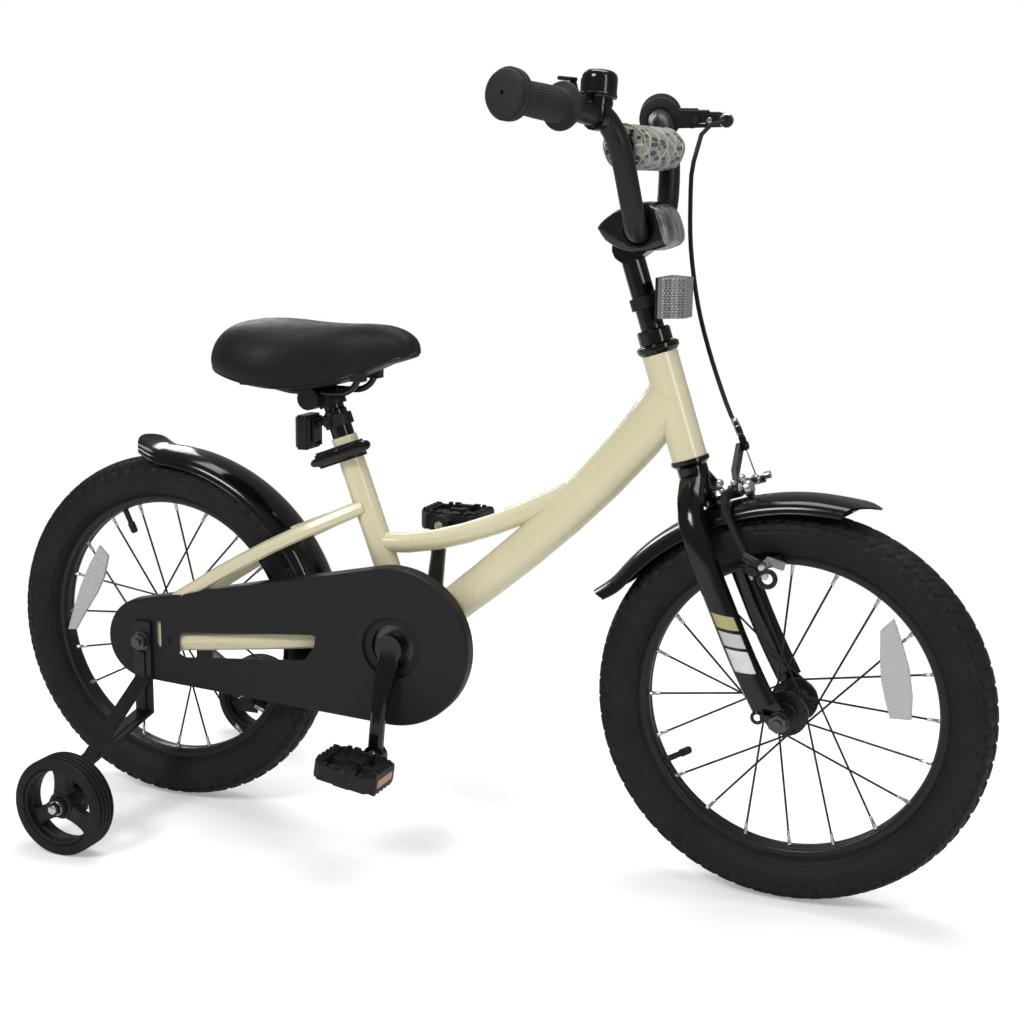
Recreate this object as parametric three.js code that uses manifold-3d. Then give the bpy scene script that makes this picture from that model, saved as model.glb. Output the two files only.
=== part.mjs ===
// Kids bike with training wheels, in millimetres.
// X points forward, Y to the rider's left and Z up. Z = 0 is the ground and X = 0 lies midway
// between the two hubs. The drive is on the rider's right, which is the side of negative Y.
import * as THREE from 'three';
import { mergeVertices } from 'three/addons/utils/BufferGeometryUtils.js';
import Module from 'manifold-3d';

const wasm = await Module();
wasm.setup();

// Overall layout
const WHEELBASE = 730;
const WHEEL_RADIUS = 203;
const FORK_RAKE = 31.4;
const HEAD_ANGLE = THREE.MathUtils.degToRad(71.6);
const SEAT_ANGLE = THREE.MathUtils.degToRad(69.5);

// Fits and steps shared by all pieces
const GAP = 0.3;
const OVERRUN = 4;
const MERGE_STEP = 0.001;
const ROUND = 16;
const COARSE = 8;
const FINE = 16;

// Chain drive
const CHAIN_PITCH = 12.7;
const RING_TEETH = 32;
const COG_TEETH = 15;
const CHAIN_LINKS = 72;
const BRACKET_RISE = 23;
const CHAIN_LINE = 40.5;
const SPROCKET_WIDTH = 2.4;
const ROLLER_RADIUS = 3.9;

// Axles and hub spacing
const AXLE_RADIUS = 4.75;
const FRONT_SPACING = 100;
const REAR_SPACING = 110;
const DROPOUT_WIDTH = 4;

// Steering column, measured along the steering axis from the foot of the front hub
const RACE_LOW = 246;
const CUP_LOW = 261.3;
const HEAD_LOW = 269.7;
const HEAD_HIGH = 379;
const CUP_HIGH = 389.8;
const LOCKNUT_HIGH = 404.6;
const STEERER_RADIUS = 14;
const STEERER_BORE = 12.3;
const HEAD_TUBE_RADIUS = 18;
const HEAD_TUBE_WALL = 2;
const STEM_RADIUS = 12;

// Handlebar, in the steering frame: forward of the axis, sideways, along the axis
const BAR_FORWARD = 21.9;
const BAR_HEIGHT = 497.4;
const BAR_RADIUS = 11;
const BAR_RISE = 135.9;
const BAR_REACH = 24;
const BAR_HALF_WIDTH = 233.2;
const GRIP_LENGTH = 87;
const PERCH_WIDTH = 12;
const CLAMP_WALL = 3;

// Seat tube and seat post
const SEAT_TUBE_RADIUS = 14.3;
const SEAT_TUBE_LENGTH = 232;
const POST_RADIUS = 12.5;

// Wheels and tyres
const WHEEL_SIDES = 30;
const TYRE_HALF_WIDTH = 26;
const TREAD_HALF_WIDTH = 9;
const BEAD_RADIUS = 152.5;
const BEAD_THICKNESS = 2.8;
const RIM_HALF_WIDTH = 11;
const RIM_WALL = 1.5;
const RIM_FLANGE_RADIUS = 158.5;
const RIM_INNER_RADIUS = 148;
const SPOKE_RADIUS = 0.95;
const SPOKES = 20;
const SPOKE_RIM_OFFSET = 2;

const X_AXIS = new THREE.Vector3(1, 0, 0);
const Y_AXIS = new THREE.Vector3(0, 1, 0);
const Z_AXIS = new THREE.Vector3(0, 0, 1);
const LEFT = 1;
const RIGHT = -1;
const SIDES = { left: LEFT, right: RIGHT };

function vec(x, y, z) {
  return new THREE.Vector3(x, y, z);
}

function polar(radius, angle) {
  return [radius * Math.cos(angle), radius * Math.sin(angle)];
}

// A bore whose flats clear a shaft of this radius by the running gap
function boreFor(shaft, sides = ROUND) {
  return (shaft + GAP) / Math.cos(Math.PI / sides);
}

// Closed meshes and boolean operations

function closed(source) {
  const bare = source.clone();
  for (const name of Object.keys(bare.attributes)) {
    if (name !== 'position') bare.deleteAttribute(name);
  }
  const merged = mergeVertices(bare, MERGE_STEP);
  const kept = [];
  const corner = [vec(0, 0, 0), vec(0, 0, 0), vec(0, 0, 0)];
  let volume = 0;
  for (let i = 0; i < merged.index.count; i += 3) {
    const face = [0, 1, 2].map((k) => merged.index.getX(i + k));
    if (new Set(face).size < 3) continue;
    face.forEach((vertex, k) => corner[k].fromBufferAttribute(merged.attributes.position, vertex));
    volume += corner[0].dot(corner[1].clone().cross(corner[2]));
    kept.push(face);
  }
  if (volume < 0) kept.forEach((face) => face.reverse());
  merged.setIndex(kept.flat());
  return merged;
}

function body(source, matrix) {
  const mesh = closed(matrix ? source.clone().applyMatrix4(matrix) : source);
  return new wasm.Manifold(new wasm.Mesh({
    numProp: 3,
    vertProperties: Float32Array.from(mesh.attributes.position.array),
    triVerts: Uint32Array.from(mesh.index.array),
  }));
}

function join(...pieces) {
  return pieces.reduce((whole, piece) => whole.add(piece));
}

function cut(whole, ...tools) {
  return tools.reduce((rest, tool) => rest.subtract(tool), whole);
}

function geometryOf(solid) {
  const mesh = solid.getMesh();
  const geometry = new THREE.BufferGeometry();
  geometry.setAttribute('position', new THREE.BufferAttribute(Float32Array.from(mesh.vertProperties), 3));
  geometry.setIndex(new THREE.BufferAttribute(Uint32Array.from(mesh.triVerts), 1));
  geometry.computeVertexNormals();
  return geometry;
}

// Form builders

// Revolves [radius, y] points about the Y axis
function lathe(profile, sides = ROUND, turn = 0) {
  const points = profile.map(([radius, y]) => new THREE.Vector2(radius, y));
  return new THREE.LatheGeometry(points, sides, turn);
}

function ringProfile(outer, inner, low, high) {
  return [[inner, low], [outer, low], [outer, high], [inner, high], [inner, low]];
}

function between(from, to) {
  const direction = to.clone().sub(from);
  const turn = new THREE.Quaternion().setFromUnitVectors(Y_AXIS, direction.clone().normalize());
  return new THREE.Matrix4().compose(from, turn, vec(1, 1, 1));
}

function rod(from, to, radius, sides = ROUND, endRadius = radius) {
  const length = from.distanceTo(to);
  const cylinder = new THREE.CylinderGeometry(endRadius, radius, length, sides);
  cylinder.translate(0, length / 2, 0);
  return body(cylinder, between(from, to));
}

function pipe(from, to, outer, inner, sides = ROUND) {
  const length = from.distanceTo(to);
  return body(lathe(ringProfile(outer, inner, 0, length), sides), between(from, to));
}

// Turns a profile whose y runs from a base point along a direction
function turned(profile, base, direction, sides = ROUND) {
  return body(lathe(profile, sides), between(base, base.clone().add(direction)));
}

function outlineShape(points, holes = []) {
  const shape = new THREE.Shape(points.map(([u, v]) => new THREE.Vector2(u, v)));
  holes.forEach((hole) => shape.holes.push(new THREE.Path(hole.map(([u, v]) => new THREE.Vector2(u, v)))));
  return shape;
}

function extrude(points, depth, holes) {
  return new THREE.ExtrudeGeometry(outlineShape(points, holes), { depth, bevelEnabled: false });
}

// An outline in X and Z, solid from the lower to the higher Y
function slabY(points, low, high, holes) {
  const geometry = extrude(points, high - low, holes);
  geometry.rotateX(Math.PI / 2);
  geometry.translate(0, high, 0);
  return body(geometry);
}

// An outline in Y and Z, solid from the lower to the higher X
function slabX(points, low, high, matrix) {
  const geometry = extrude(points, high - low);
  geometry.applyMatrix4(new THREE.Matrix4().makeBasis(Y_AXIS, Z_AXIS, X_AXIS));
  geometry.translate(low, 0, 0);
  return body(geometry, matrix);
}

// An outline in X and Y, solid from the lower to the higher Z
function slabZ(points, low, high, matrix) {
  const geometry = extrude(points, high - low);
  geometry.translate(0, 0, low);
  return body(geometry, matrix);
}

function boxBetween(low, high) {
  const size = high.clone().sub(low);
  const geometry = new THREE.BoxGeometry(size.x, size.y, size.z);
  geometry.translate(...low.clone().add(high).divideScalar(2).toArray());
  return body(geometry);
}

// An oval section carried along a path, with its wide axis held near a given direction
function tube(path, halfWide, halfHigh, sides, steps, wideAxis = Y_AXIS) {
  const frame = path.computeFrenetFrames(steps, false);
  const turn = Math.atan2(wideAxis.dot(frame.binormals[0]), wideAxis.dot(frame.normals[0]));
  const section = [];
  for (let i = 0; i < sides; i += 1) {
    const angle = (i * 2 * Math.PI) / sides;
    const u = halfWide * Math.cos(angle);
    const v = halfHigh * Math.sin(angle);
    section.push([u * Math.cos(turn) - v * Math.sin(turn), u * Math.sin(turn) + v * Math.cos(turn)]);
  }
  return body(new THREE.ExtrudeGeometry(outlineShape(section), { steps, extrudePath: path }));
}

function capFaces(ring, first, reversed) {
  const normal = vec(0, 0, 0);
  ring.forEach((point, i) => normal.add(point.clone().cross(ring[(i + 1) % ring.length])));
  normal.normalize();
  const u = ring[1].clone().sub(ring[0]).normalize();
  const v = normal.clone().cross(u);
  const flat = ring.map((point) => {
    const offset = point.clone().sub(ring[0]);
    return new THREE.Vector2(offset.dot(u), offset.dot(v));
  });
  return THREE.ShapeUtils.triangulateShape(flat, []).flatMap((face) => {
    const area = THREE.ShapeUtils.area(face.map((k) => flat[k]));
    const ordered = (area < 0) === reversed ? face : [...face].reverse();
    return ordered.map((k) => k + first);
  });
}

// Skins a row of equal rings, and closes both ends unless the row is a loop
function loft(rings, looped = false) {
  const count = rings[0].length;
  const last = rings.length - 1;
  const index = [];
  for (let row = 0; row < (looped ? rings.length : last); row += 1) {
    const next = ((row + 1) % rings.length) * count;
    for (let k = 0; k < count; k += 1) {
      const a = row * count + k;
      const b = row * count + ((k + 1) % count);
      const c = next + ((k + 1) % count);
      index.push(a, b, c, a, c, next + k);
    }
  }
  if (!looped) {
    index.push(...capFaces(rings[0], 0, true));
    index.push(...capFaces(rings[last], last * count, false));
  }
  const geometry = new THREE.BufferGeometry();
  const flat = rings.flat().flatMap((point) => point.toArray());
  geometry.setAttribute('position', new THREE.Float32BufferAttribute(flat, 3));
  geometry.setIndex(index);
  return geometry;
}

// The outline round two circles, as [u, v] points
function linkOutline(a, radiusA, b, radiusB, steps) {
  const run = Math.hypot(b[0] - a[0], b[1] - a[1]);
  const heading = Math.atan2(b[1] - a[1], b[0] - a[0]);
  const half = Math.acos((radiusA - radiusB) / run);
  const points = [];
  for (let i = 0; i <= steps; i += 1) {
    const angle = heading - half + (2 * half * i) / steps;
    const [u, v] = polar(radiusB, angle);
    points.push([b[0] + u, b[1] + v]);
  }
  for (let i = 0; i <= steps; i += 1) {
    const angle = heading + half + (2 * (Math.PI - half) * i) / steps;
    const [u, v] = polar(radiusA, angle);
    points.push([a[0] + u, a[1] + v]);
  }
  return points;
}

// A strip of even thickness along a line of [u, v] points
function stripOutline(points, thickness) {
  const offset = (side) => points.map(([u, v], i) => {
    const before = points[Math.max(i - 1, 0)];
    const after = points[Math.min(i + 1, points.length - 1)];
    const inAngle = Math.atan2(v - before[1], u - before[0]);
    const outAngle = Math.atan2(after[1] - v, after[0] - u);
    const first = i === 0 ? outAngle : inAngle;
    const last = i === points.length - 1 ? inAngle : outAngle;
    const middle = (first + last) / 2;
    const reach = (side * thickness) / 2 / Math.cos((last - first) / 2);
    return [u - reach * Math.sin(middle), v + reach * Math.cos(middle)];
  });
  return [...offset(1), ...offset(-1).reverse()];
}

function circle(centre, radius, sides, turn = 0) {
  const points = [];
  for (let i = 0; i < sides; i += 1) {
    const [u, v] = polar(radius, turn + (i * 2 * Math.PI) / sides);
    points.push([centre[0] + u, centre[1] + v]);
  }
  return points;
}

function mirrored(solid) {
  return solid.scale([1, -1, 1]);
}

function onSide(solid, side) {
  return side === LEFT ? solid : mirrored(solid);
}

// Scene frames
const bike = new THREE.Group();
const steering = new THREE.Group();
const frontEnd = new THREE.Group();
const rearWheel = new THREE.Group();

const rearHub = vec(-WHEELBASE / 2, 0, WHEEL_RADIUS);
const frontHub = vec(WHEELBASE / 2, 0, WHEEL_RADIUS);
const columnUp = vec(-Math.cos(HEAD_ANGLE), 0, Math.sin(HEAD_ANGLE));
const columnForward = vec(Math.sin(HEAD_ANGLE), 0, Math.cos(HEAD_ANGLE));
const columnFoot = frontHub.clone().addScaledVector(columnForward, -FORK_RAKE);
const COLUMN_LEAN = Math.PI / 2 - HEAD_ANGLE;

steering.position.copy(columnFoot);
steering.rotation.y = -COLUMN_LEAN;
frontEnd.position.set(FORK_RAKE, 0, 0);
frontEnd.rotation.y = COLUMN_LEAN;
rearWheel.position.copy(rearHub);
bike.add(steering, rearWheel);
steering.add(frontEnd);

// A point of the steering frame, in the bike's frame
function onColumn(forward, along, side = 0) {
  return columnFoot.clone().addScaledVector(columnForward, forward)
    .addScaledVector(columnUp, along).add(vec(0, side, 0));
}

function paint(colour, roughness, metalness) {
  return { colour, roughness, metalness };
}

const CREAM = paint(0xe4dcb4, 0.3, 0);
const GLOSS_BLACK = paint(0x101010, 0.2, 0);
const SATIN_BLACK = paint(0x161616, 0.45, 0);
const MATT_BLACK = paint(0x1a1a1a, 0.8, 0);
const RUBBER = paint(0x1c1c1c, 0.85, 0);
const STEEL = paint(0xb8b8ba, 0.35, 0.9);
const DARK_STEEL = paint(0x2a2a2c, 0.45, 0.7);
const CLEAR = paint(0xe6eaec, 0.15, 0);
const RED = paint(0xa01418, 0.2, 0);
const GREY_CLOTH = paint(0x8c8c8a, 0.75, 0);

function add(parent, name, solid, look) {
  const material = new THREE.MeshStandardMaterial({
    color: look.colour, roughness: look.roughness, metalness: look.metalness,
  });
  const mesh = new THREE.Mesh(geometryOf(solid), material);
  mesh.name = name;
  parent.add(mesh);
}

// Chain path: two pitch circles and the straight runs between them, counted in pitches

const RING_PITCH_RADIUS = CHAIN_PITCH / 2 / Math.sin(Math.PI / RING_TEETH);
const COG_PITCH_RADIUS = CHAIN_PITCH / 2 / Math.sin(Math.PI / COG_TEETH);

function chainSpan() {
  const step = RING_PITCH_RADIUS - COG_PITCH_RADIUS;
  let lean = 0;
  let run = 0;
  for (let i = 0; i < 20; i += 1) {
    const wrapped = (RING_TEETH * (0.5 + lean / Math.PI)) + (COG_TEETH * (0.5 - lean / Math.PI));
    run = ((CHAIN_LINKS - wrapped) * CHAIN_PITCH) / 2;
    lean = Math.atan2(step, run);
  }
  return { lean, run, centres: Math.hypot(run, step) };
}

const span = chainSpan();
const crankAxis = rearHub.clone().add(
  vec(Math.sqrt(span.centres ** 2 - BRACKET_RISE ** 2), 0, BRACKET_RISE),
);
const chainHeading = Math.atan2(BRACKET_RISE, crankAxis.x - rearHub.x);
const seatUp = vec(-Math.cos(SEAT_ANGLE), 0, Math.sin(SEAT_ANGLE));
const seatForward = vec(Math.sin(SEAT_ANGLE), 0, Math.cos(SEAT_ANGLE));

// A point of the seat tube's frame, in the bike's frame
function onSeat(forward, along, side = 0) {
  return crankAxis.clone().addScaledVector(seatForward, forward)
    .addScaledVector(seatUp, along).add(vec(0, side, 0));
}

const topNormal = chainHeading + Math.PI / 2 + span.lean;
const lowNormal = chainHeading - Math.PI / 2 - span.lean;
const RING_STEP = (2 * Math.PI) / RING_TEETH;
const COG_STEP = (2 * Math.PI) / COG_TEETH;
const ringWrap = (topNormal - lowNormal) / RING_STEP;
const straightPitches = span.run / CHAIN_PITCH;

function chainPoint(count) {
  const onCircle = (centre, radius, angle) => {
    const [u, v] = polar(radius, angle);
    return vec(centre.x + u, 0, centre.z + v);
  };
  const rearStart = ringWrap + straightPitches;
  const cogWrap = CHAIN_LINKS - ringWrap - 2 * straightPitches;
  if (count < ringWrap) return onCircle(crankAxis, RING_PITCH_RADIUS, topNormal - count * RING_STEP);
  if (count < rearStart) {
    const from = onCircle(crankAxis, RING_PITCH_RADIUS, lowNormal);
    const to = onCircle(rearHub, COG_PITCH_RADIUS, lowNormal);
    return from.lerp(to, (count - ringWrap) / straightPitches);
  }
  if (count < rearStart + cogWrap) {
    return onCircle(rearHub, COG_PITCH_RADIUS, lowNormal - (count - rearStart) * COG_STEP);
  }
  const from = onCircle(rearHub, COG_PITCH_RADIUS, topNormal);
  const to = onCircle(crankAxis, RING_PITCH_RADIUS, topNormal);
  return from.lerp(to, (count - rearStart - cogWrap) / straightPitches);
}

const cogSeatAngle = lowNormal + (ringWrap + straightPitches) * COG_STEP;

// Chain: two rows of plates that step between narrow inner and wide outer links, with a roller
// across every joint

const INNER_LINK = { offset: 2.2, halfHeight: 3.3 };
const OUTER_LINK = { offset: 3.1, halfHeight: 4.1 };
const LINK_PLATE = 1;
const ROLLER_HALF = 2.9;
const ROLLER_HALF_HEIGHT = 2.6;

// The four corners of one plate's section, inner edge first
function plateCorners(centre, heading, link, side) {
  const normal = vec(-heading.z, 0, heading.x);
  const out = normal.clone().multiplyScalar(link.halfHeight);
  const core = normal.clone().multiplyScalar(ROLLER_HALF_HEIGHT);
  const inner = vec(0, side * (link.offset - LINK_PLATE / 2) - CHAIN_LINE, 0);
  const outer = vec(0, side * (link.offset + LINK_PLATE / 2) - CHAIN_LINE, 0);
  return [centre.clone().add(core).add(inner), centre.clone().add(out).add(outer),
    centre.clone().sub(out).add(outer), centre.clone().sub(core).add(inner)];
}

function chainSolid() {
  const corners = [];
  for (let i = 0; i < CHAIN_LINKS; i += 1) {
    const pin = chainPoint(i);
    const next = chainPoint((i + 1) % CHAIN_LINKS);
    const heading = next.clone().sub(pin).normalize();
    const link = i % 2 ? OUTER_LINK : INNER_LINK;
    for (const centre of [pin.clone().addScaledVector(heading, ROLLER_HALF),
      next.clone().addScaledVector(heading, -ROLLER_HALF)]) {
      for (const side of [LEFT, RIGHT]) corners.push(...plateCorners(centre, heading, link, side));
    }
  }
  const index = [];
  const rows = CHAIN_LINKS * 2;
  const quad = (a, b, c, d) => index.push(a, b, c, a, c, d);
  for (let row = 0; row < rows; row += 1) {
    const here = row * 8;
    const next = ((row + 1) % rows) * 8;
    const roller = row % 2 === 1;
    for (const plate of [0, 4]) {
      for (let k = 0; k < (roller ? 3 : 4); k += 1) {
        const a = plate + k;
        const b = plate + ((k + 1) % 4);
        if (plate) quad(here + b, here + a, next + a, next + b);
        else quad(here + a, here + b, next + b, next + a);
      }
    }
    if (roller) {
      quad(here + 4, here, next, next + 4);
      quad(here + 3, here + 7, next + 7, next + 3);
      quad(here, here + 4, here + 7, here + 3);
      quad(next + 4, next, next + 3, next + 7);
    }
  }
  const geometry = new THREE.BufferGeometry();
  const flat = corners.flatMap((point) => point.toArray());
  geometry.setAttribute('position', new THREE.Float32BufferAttribute(flat, 3));
  geometry.setIndex(index);
  return body(geometry);
}

// Sprockets

const TOOTH_RISE = 3.4;
const toothSeatTurn = 1.15;

function toothedOutline(teeth, pitchRadius, seatAngle) {
  const step = (2 * Math.PI) / teeth;
  const seat = (ROLLER_RADIUS + GAP) / Math.cos(toothSeatTurn / 2);
  const points = [];
  for (let i = 0; i < teeth; i += 1) {
    const angle = seatAngle + i * step;
    const [pinX, pinZ] = polar(pitchRadius, angle);
    for (const turn of [-toothSeatTurn, 0, toothSeatTurn]) {
      const [u, v] = polar(-seat, angle - turn);
      points.push([pinX + u, pinZ + v]);
    }
    points.push(polar(pitchRadius + TOOTH_RISE, angle + step / 2));
  }
  return points;
}

const SPINDLE_RADIUS = 11.5;
const RING_WINDOWS = 5;
const WINDOW_INNER_RADIUS = 30;
const WINDOW_OUTER_RADIUS = 54;
const windowInnerTurn = 0.38;
const windowOuterTurn = 0.46;

function chainring() {
  const outline = toothedOutline(RING_TEETH, RING_PITCH_RADIUS, topNormal);
  const holes = [circle([0, 0], boreFor(SPINDLE_RADIUS), ROUND)];
  for (let i = 0; i < RING_WINDOWS; i += 1) {
    const angle = (i * 2 * Math.PI) / RING_WINDOWS;
    holes.push([
      polar(WINDOW_INNER_RADIUS, angle - windowInnerTurn), polar(WINDOW_INNER_RADIUS, angle + windowInnerTurn),
      polar(WINDOW_OUTER_RADIUS, angle + windowOuterTurn), polar(WINDOW_OUTER_RADIUS, angle),
      polar(WINDOW_OUTER_RADIUS, angle - windowOuterTurn),
    ]);
  }
  const low = -CHAIN_LINE - SPROCKET_WIDTH / 2;
  return slabY(outline, low, low + SPROCKET_WIDTH, holes).translate([crankAxis.x, 0, crankAxis.z]);
}

const DRIVER_RADIUS = 17;
const DRIVER_INNER_END = 30.6;
const DRIVER_OUTER_END = 46;

function rearCog() {
  const low = -CHAIN_LINE - SPROCKET_WIDTH / 2;
  const outline = toothedOutline(COG_TEETH, COG_PITCH_RADIUS, cogSeatAngle);
  const bore = boreFor(AXLE_RADIUS, COARSE);
  const disc = slabY(outline, low, low + SPROCKET_WIDTH);
  const driver = body(lathe(ringProfile(DRIVER_RADIUS, bore, -DRIVER_OUTER_END, -DRIVER_INNER_END)));
  const hole = rod(vec(0, -DRIVER_OUTER_END, 0), vec(0, -DRIVER_INNER_END, 0), bore + MERGE_STEP);
  return join(cut(disc, hole), driver).translate(rearHub.toArray());
}

// Wheels. Radii are carried out to the corners so that the flats lie at the true radius.

const WHEEL_CORNER = 1 / Math.cos(Math.PI / WHEEL_SIDES);
const WHEEL_TURN = Math.PI / WHEEL_SIDES;

function wheelRing(profile) {
  const scaled = profile.map(([radius, y]) => [radius * WHEEL_CORNER, y]);
  return body(lathe([...scaled, scaled[0]], WHEEL_SIDES, WHEEL_TURN));
}

// Rows of [share of the height from bead to crown, share of the half width]
const tyreOuterShares = [[0.135, 0.354], [0.31, 0.83], [0.55, 1], [0.86, 0.82]];
const tyreInnerShares = [[0.16, 0.24], [0.38, 0.74], [0.82, 0.7]];

function tyre() {
  const rise = WHEEL_RADIUS - BEAD_RADIUS;
  const bead = RIM_HALF_WIDTH - RIM_WALL - GAP;
  const place = ([up, out]) => [BEAD_RADIUS + up * rise, out * TYRE_HALF_WIDTH];
  const outer = [[BEAD_RADIUS, bead], ...tyreOuterShares.map(place), [WHEEL_RADIUS, TREAD_HALF_WIDTH]];
  const inner = [[BEAD_RADIUS, bead - BEAD_THICKNESS], ...tyreInnerShares.map(place)];
  const flip = (points) => points.map(([radius, y]) => [radius, -y]);
  return wheelRing([...outer, ...flip(outer).reverse(), ...flip(inner), ...inner.reverse()]);
}

const VALVE_RADIUS = 3;
const VALVE_LENGTH = 30;
const valveAngles = { front: THREE.MathUtils.degToRad(210.5), rear: THREE.MathUtils.degToRad(116) };

function rim(valveAngle) {
  const flange = [RIM_FLANGE_RADIUS, RIM_HALF_WIDTH];
  const half = [flange, [RIM_FLANGE_RADIUS, RIM_HALF_WIDTH - RIM_WALL],
    [BEAD_RADIUS - GAP, RIM_HALF_WIDTH - RIM_WALL]];
  const flip = (points) => points.map(([radius, y]) => [radius, -y]);
  const inner = [RIM_INNER_RADIUS, RIM_HALF_WIDTH - RIM_WALL];
  const band = wheelRing([inner, ...half, ...flip(half).reverse(), ...flip([inner])]);
  const root = polar(BEAD_RADIUS - RIM_WALL, valveAngle);
  const tip = polar(RIM_INNER_RADIUS - VALVE_LENGTH, valveAngle);
  return join(band, rod(vec(root[0], 0, root[1]), vec(tip[0], 0, tip[1]), VALVE_RADIUS, 6));
}


// Spokes that leave each flange alternately forwards and backwards
function spokes({ offset, hole, phase, cross, order }) {
  const pieces = [];
  for (let i = 0; i < SPOKES; i += 1) {
    const side = i % 2 ? LEFT : RIGHT;
    const lead = (i + order) % 4 < 2 ? -1 : 1;
    const angle = phase + (i * 2 * Math.PI) / SPOKES;
    const start = polar(hole, angle + lead * cross);
    const end = polar(RIM_INNER_RADIUS - GAP - SPOKE_RADIUS / 2, angle);
    const from = vec(start[0], side * (offset + lead * SPOKE_STAGGER), start[1]);
    const to = vec(end[0], side * SPOKE_RIM_OFFSET, end[1]);
    pieces.push(rod(from, to, SPOKE_RADIUS, 4));
  }
  return join(...pieces);
}

const HUB = {
  front: {
    barrel: 11, flange: 23, hole: 20.8, offset: 24, boss: 13, end: 33,
    phase: THREE.MathUtils.degToRad(2), cross: THREE.MathUtils.degToRad(80), order: 2,
  },
  rear: {
    barrel: 19, flange: 31, hole: 28.5, offset: 23.5, boss: 22, end: 30,
    phase: THREE.MathUtils.degToRad(-1), cross: THREE.MathUtils.degToRad(40), order: 3,
  },
};
const FLANGE_WIDTH = 4.4;
const SPOKE_STAGGER = 1.1;
const LEFT_HUB_END = 40;

function hub(size, leftEnd) {
  const bore = boreFor(AXLE_RADIUS, COARSE);
  const inner = size.offset - FLANGE_WIDTH / 2;
  const outer = size.offset + FLANGE_WIDTH / 2;
  const profile = [[bore, -size.end], [size.boss, -size.end], [size.boss, -outer], [size.flange, -outer],
    [size.flange, -inner], [size.barrel, -inner], [size.barrel, inner], [size.flange, inner],
    [size.flange, outer], [size.boss, outer], [size.boss, leftEnd], [bore, leftEnd], [bore, -size.end]];
  const shell = body(lathe(profile, 12));
  const core = rod(vec(0, -size.end, 0), vec(0, leftEnd, 0), bore, 12);
  return join(shell, cut(spokes(size), core));
}

// Reflectors clipped to the spokes. Rows of [angle in degrees, then the inner and the outer edge
// as shares of the rim's inner radius]
const REFLECTOR_THICKNESS = 4;
const FRONT_REFLECTOR_INSET = 0.9;
const REAR_REFLECTOR_INSET = 0.3;
const frontReflectorShares = [[3, 0.682, 0.824], [14, 0.662, 0.845], [26, 0.676, 0.878], [37, 0.743, 0.919],
  [47, 0.858, 0.98]];
const rearReflectorShares = [[187, 0.892, 0.973], [176, 0.784, 0.905], [162, 0.703, 0.865], [148, 0.696, 0.858],
  [136, 0.764, 0.878]];

function spokeReflector(shares, size, inset) {
  const angle = (row) => THREE.MathUtils.degToRad(row[0]);
  const rows = shares.map(([turn, inside, outside]) => [turn, inside * RIM_INNER_RADIUS, outside * RIM_INNER_RADIUS]);
  const outline = [...rows.map((row) => polar(row[1], angle(row))),
    ...[...rows].reverse().map((row) => polar(row[2], angle(row)))];
  const inner = Math.min(...rows.map((row) => row[1]));
  const share = (RIM_INNER_RADIUS - inner) / (RIM_INNER_RADIUS - size.hole);
  const near = SPOKE_RIM_OFFSET + share * (size.offset - SPOKE_RIM_OFFSET) + SPOKE_RADIUS - inset;
  return slabY(outline, -near - REFLECTOR_THICKNESS, -near);
}

const LOCKNUT_RADIUS = 9;
const AXLE_NUT_RADIUS = 9.5;
const AXLE_NUT_HEIGHT = 9;
const AXLE_TIP = 3;
const WASHER_RADIUS = 11;
const WASHER_THICKNESS = 1.6;

// An axle with a locknut inside each dropout and a washer and nut outside what it clamps
function axle(inner, locked, clamped) {
  const pieces = [];
  for (const [name, side] of Object.entries(SIDES)) {
    const along = (y) => vec(0, side * y, 0);
    const seat = clamped[name] + GAP;
    const tip = seat + AXLE_NUT_HEIGHT + AXLE_TIP;
    pieces.push(rod(vec(0, 0, 0), along(tip), AXLE_RADIUS, COARSE));
    pieces.push(rod(along(inner[name] + GAP), along(locked[name] - GAP), LOCKNUT_RADIUS, 8));
    pieces.push(rod(along(seat), along(seat + WASHER_THICKNESS), WASHER_RADIUS, 10));
    pieces.push(rod(along(seat + WASHER_THICKNESS / 2), along(seat + AXLE_NUT_HEIGHT), AXLE_NUT_RADIUS, 6));
  }
  return join(...pieces);
}

// Frame

const BRACKET_SHELL_RADIUS = 25.5;
const BRACKET_SHELL_HALF = 34;
const BRACKET_BORE = 22.5;
const DOWN_TUBE_HALF_WIDTH = 19;
const DOWN_TUBE_LOW_HALF = 19;
const DOWN_TUBE_HIGH_HALF = 25.5;
const TOP_TUBE_RADIUS = 11.3;
const TOP_TUBE_DROP = 103;
const CHAINSTAY_HALF_WIDTH = 8.4;
const CHAINSTAY_HALF_HEIGHT = 11;
const SEATSTAY_HALF_WIDTH = 7;
const SEATSTAY_HALF_HEIGHT = 8;
const DROPOUT_RADIUS = 16;
const CHAINSTAY_END = 20;
const SEATSTAY_TOP = 153;
const POST_BORE = 12.8;
const POST_BORE_LOW = 60;
const downTubeShares = [[0.357, 0.29], [0.745, 0.614]];
const topTubeShares = [[0.222, 0], [0.525, 0.235]];
const topTubeEndShare = 0.735;

const headCentre = onColumn(0, (HEAD_LOW + HEAD_HIGH) / 2);
const DOWN_TUBE_END_RISE = 10;

function cubic(from, to, shares) {
  const place = ([along, up]) => vec(from.x + along * (to.x - from.x), 0, from.z + up * (to.z - from.z));
  return new THREE.CubicBezierCurve3(from, place(shares[0]), place(shares[1]), to);
}

const downTubeEnd = headCentre.clone().addScaledVector(columnUp, DOWN_TUBE_END_RISE);
const downTubePath = cubic(crankAxis.clone(), downTubeEnd, downTubeShares);

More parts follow.
